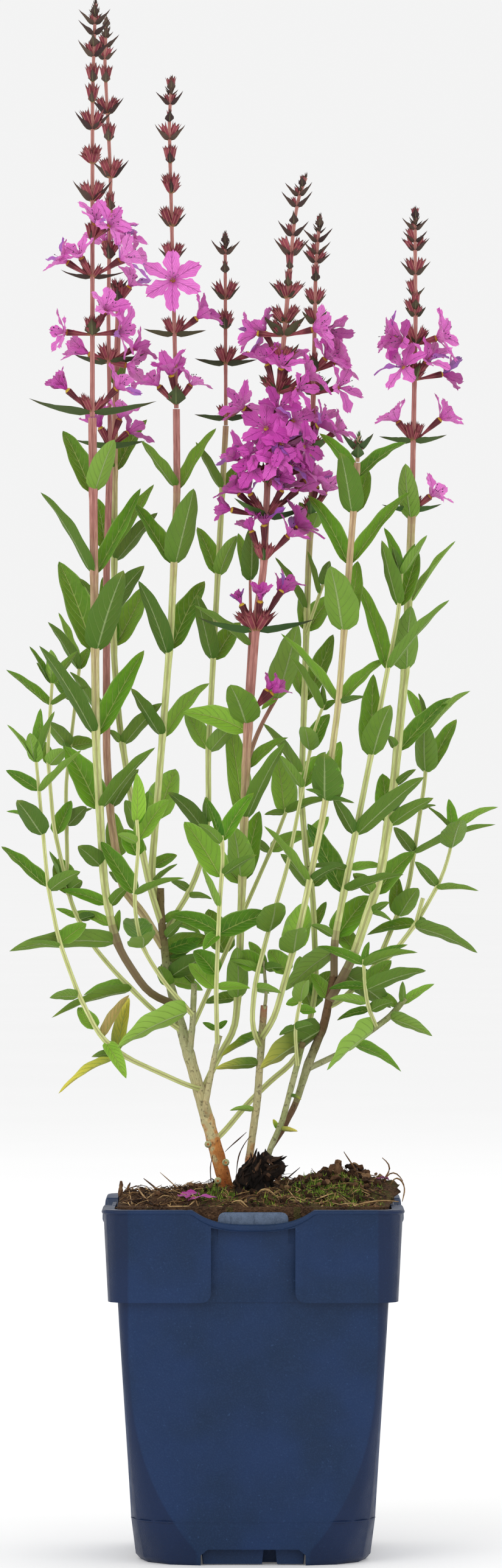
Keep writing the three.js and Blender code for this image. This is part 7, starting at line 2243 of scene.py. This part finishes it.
def pot_trim_piece():
    """The rolled lip, the fine seam near the foot, and on each side a label tab's face with its ribs and
    the plates behind the notches of the foot."""
    piece = Piece()
    half, radius, drop = LIP
    ring = rounded_ring(half, radius, 60, 12)
    place = np.where(np.abs(ring[:, 0]) < np.abs(ring[:, 1]), ring[:, 0], ring[:, 1])
    lip = np.column_stack([ring, POT_HEIGHT - drop - rim_drop(place)])
    closed_bead(piece, lip, LIP_BEAD[0] + LIP_BEAD[1] * rim_drop(place) / RIM_DIP)
    half, radius, height, thickness = SEAM
    ring = rounded_ring(half, radius)
    closed_bead(piece, np.column_stack([ring, np.full(len(ring), height)]), np.full(len(ring), thickness))
    for turn in range(4):
        side = quarter_turn(turn)
        label_tab(piece, side)
        for left, right, back in FOOT_PLATES:
            low_left, low_right = left + FOOT_PLATE_SLANT, right - FOOT_PLATE_SLANT
            outline = np.array([
                [low_right, FOOT_PLATE_LOW], [right, FOOT_PLATE_HIGH],
                [left, FOOT_PLATE_HIGH], [low_left, FOOT_PLATE_LOW],
            ])
            plate(piece, outline, back, FOOT_PLATE_THICKNESS, side, "plastic")
    piece.make("pot_trim", "pot_plastic")


def label_tab(piece, side):
    """A label tab on one side: a plate with two round upper corners, and three short upright ribs."""
    for x in TAB_RIBS:
        path = np.array([[x, *place] for place in TAB_RIB_LINE]) @ side
        tube(piece, rings_along(path, TAB_RIB_RADII, np.ones(6), (0.7, 0.71, 0)), "label tab")
    angle = np.linspace(0, math.pi / 2, 6)
    middle = (TAB_HALF - TAB_CORNER, TAB_TOP - TAB_CORNER)
    arc = np.stack([np.cos(angle), np.sin(angle)], 1) * TAB_CORNER + middle
    outline = np.concatenate([[[TAB_HALF, TAB_FOOT]], arc, arc[::-1] * [-1, 1], [[-TAB_HALF, TAB_FOOT]]])
    plate(piece, outline, TAB_BACK, TAB_THICKNESS, side, "label tab")


def plate(piece, outline, back, thickness, side, finish):
    """A thin upright plate: its outline at the back, again near the front, and a little smaller at the
    front."""
    low = outline[:, 1].min()
    rings = []
    for y, k in ((back, 1.0), (back - 0.73 * thickness, 1.0), (back - thickness, 0.985)):
        wide, up = outline[:, 0] * k, low + (outline[:, 1] - low) * k
        rings.append(np.column_stack([wide, np.full(len(outline), y), up]))
    tube(piece, np.array(rings) @ side, finish)


def closed_bead(piece, path, half):
    """A round bead along a closed path, the last of its rings joined to the first."""
    rings = rings_along(path, half, np.ones(8), reference=(0.0, 0.0, 1.0), closed=True)
    index = np.arange(len(path) * 8).reshape(-1, 8)
    index = np.concatenate([index, index[:1]])
    faces = quads(index, wrap=True)[:, ::-1]
    piece.add(rings.reshape(-1, 3), faces, np.zeros((len(path) * 8, 2)), "plastic")


# Studio


def studio():
    """A wide pale floor, soft lamps in an evenly pale room, and the camera."""
    mesh = bpy.data.meshes.new("pale_floor")
    corners = [(-FLOOR, -FLOOR, 0), (FLOOR, -FLOOR, 0), (FLOOR, FLOOR, 0), (-FLOOR, FLOOR, 0)]
    mesh.from_pydata(corners, [], [(0, 1, 2, 3)])
    mesh.materials.append(finish("pale_paper", paper_look, 0.9, specular=0.0, glow=0.08))
    floor = bpy.data.objects.new("pale_floor", mesh)
    bpy.context.scene.collection.objects.link(floor)
    for name, (place, size, power) in LAMPS.items():
        lamp(name, place, size, power)
    world = bpy.data.worlds.new("studio")
    world.use_nodes = True
    background = world.node_tree.nodes["Background"]
    background.inputs[0].default_value = (1, 1, 1, 1)
    background.inputs[1].default_value = ROOM_LIGHT
    bpy.context.scene.world = world
    camera()


def paper_look(nodes):
    """Even off-white."""
    grain = nodes.noise(nodes.object_place(), 3.0)
    return {"Base Color": nodes.mix(grain, (0.9, 0.9, 0.9, 1), (0.93, 0.93, 0.93, 1))}


def lamp(name, place, size, power):
    """A square soft lamp aimed at the middle of the plant."""
    data = bpy.data.lights.new(name, "AREA")
    data.size, data.energy = size, power
    obj = bpy.data.objects.new(name, data)
    obj.location = place
    obj.rotation_euler = (Vector(LAMP_AIM) - Vector(place)).to_track_quat("-Z", "Y").to_euler()
    bpy.context.scene.collection.objects.link(obj)


def camera():
    """Level, three metres in front, framing the photograph's full height."""
    data = bpy.data.cameras.new("camera")
    eye = view_point((VIEW_MIDDLE[0], VIEW_MIDDLE[1], 0)) + SHIFT
    data.lens = data.sensor_width * VIEW_DISTANCE / (VIEW_HEIGHT * VIEW_STEP)
    obj = bpy.data.objects.new("camera", data)
    obj.location = Vector((eye[0], SHIFT[1] - VIEW_DISTANCE, eye[2])) * MM
    obj.rotation_euler = (math.pi / 2, 0, 0)
    bpy.context.scene.collection.objects.link(obj)
    bpy.context.scene.camera = obj


studio()
bpy.context.scene.view_settings.view_transform = "Standard"
for stem_name, stem_plan in STEMS.items():
    grow_stem(stem_name, stem_plan)
    if "spike" in stem_plan:
        grow_spike(stem_name, stem_plan)
soil_piece()
crumbs_piece()
fibres_piece()
moss_piece()
fallen_petals_piece()
stump_piece()
pot_piece()
pot_trim_piece()
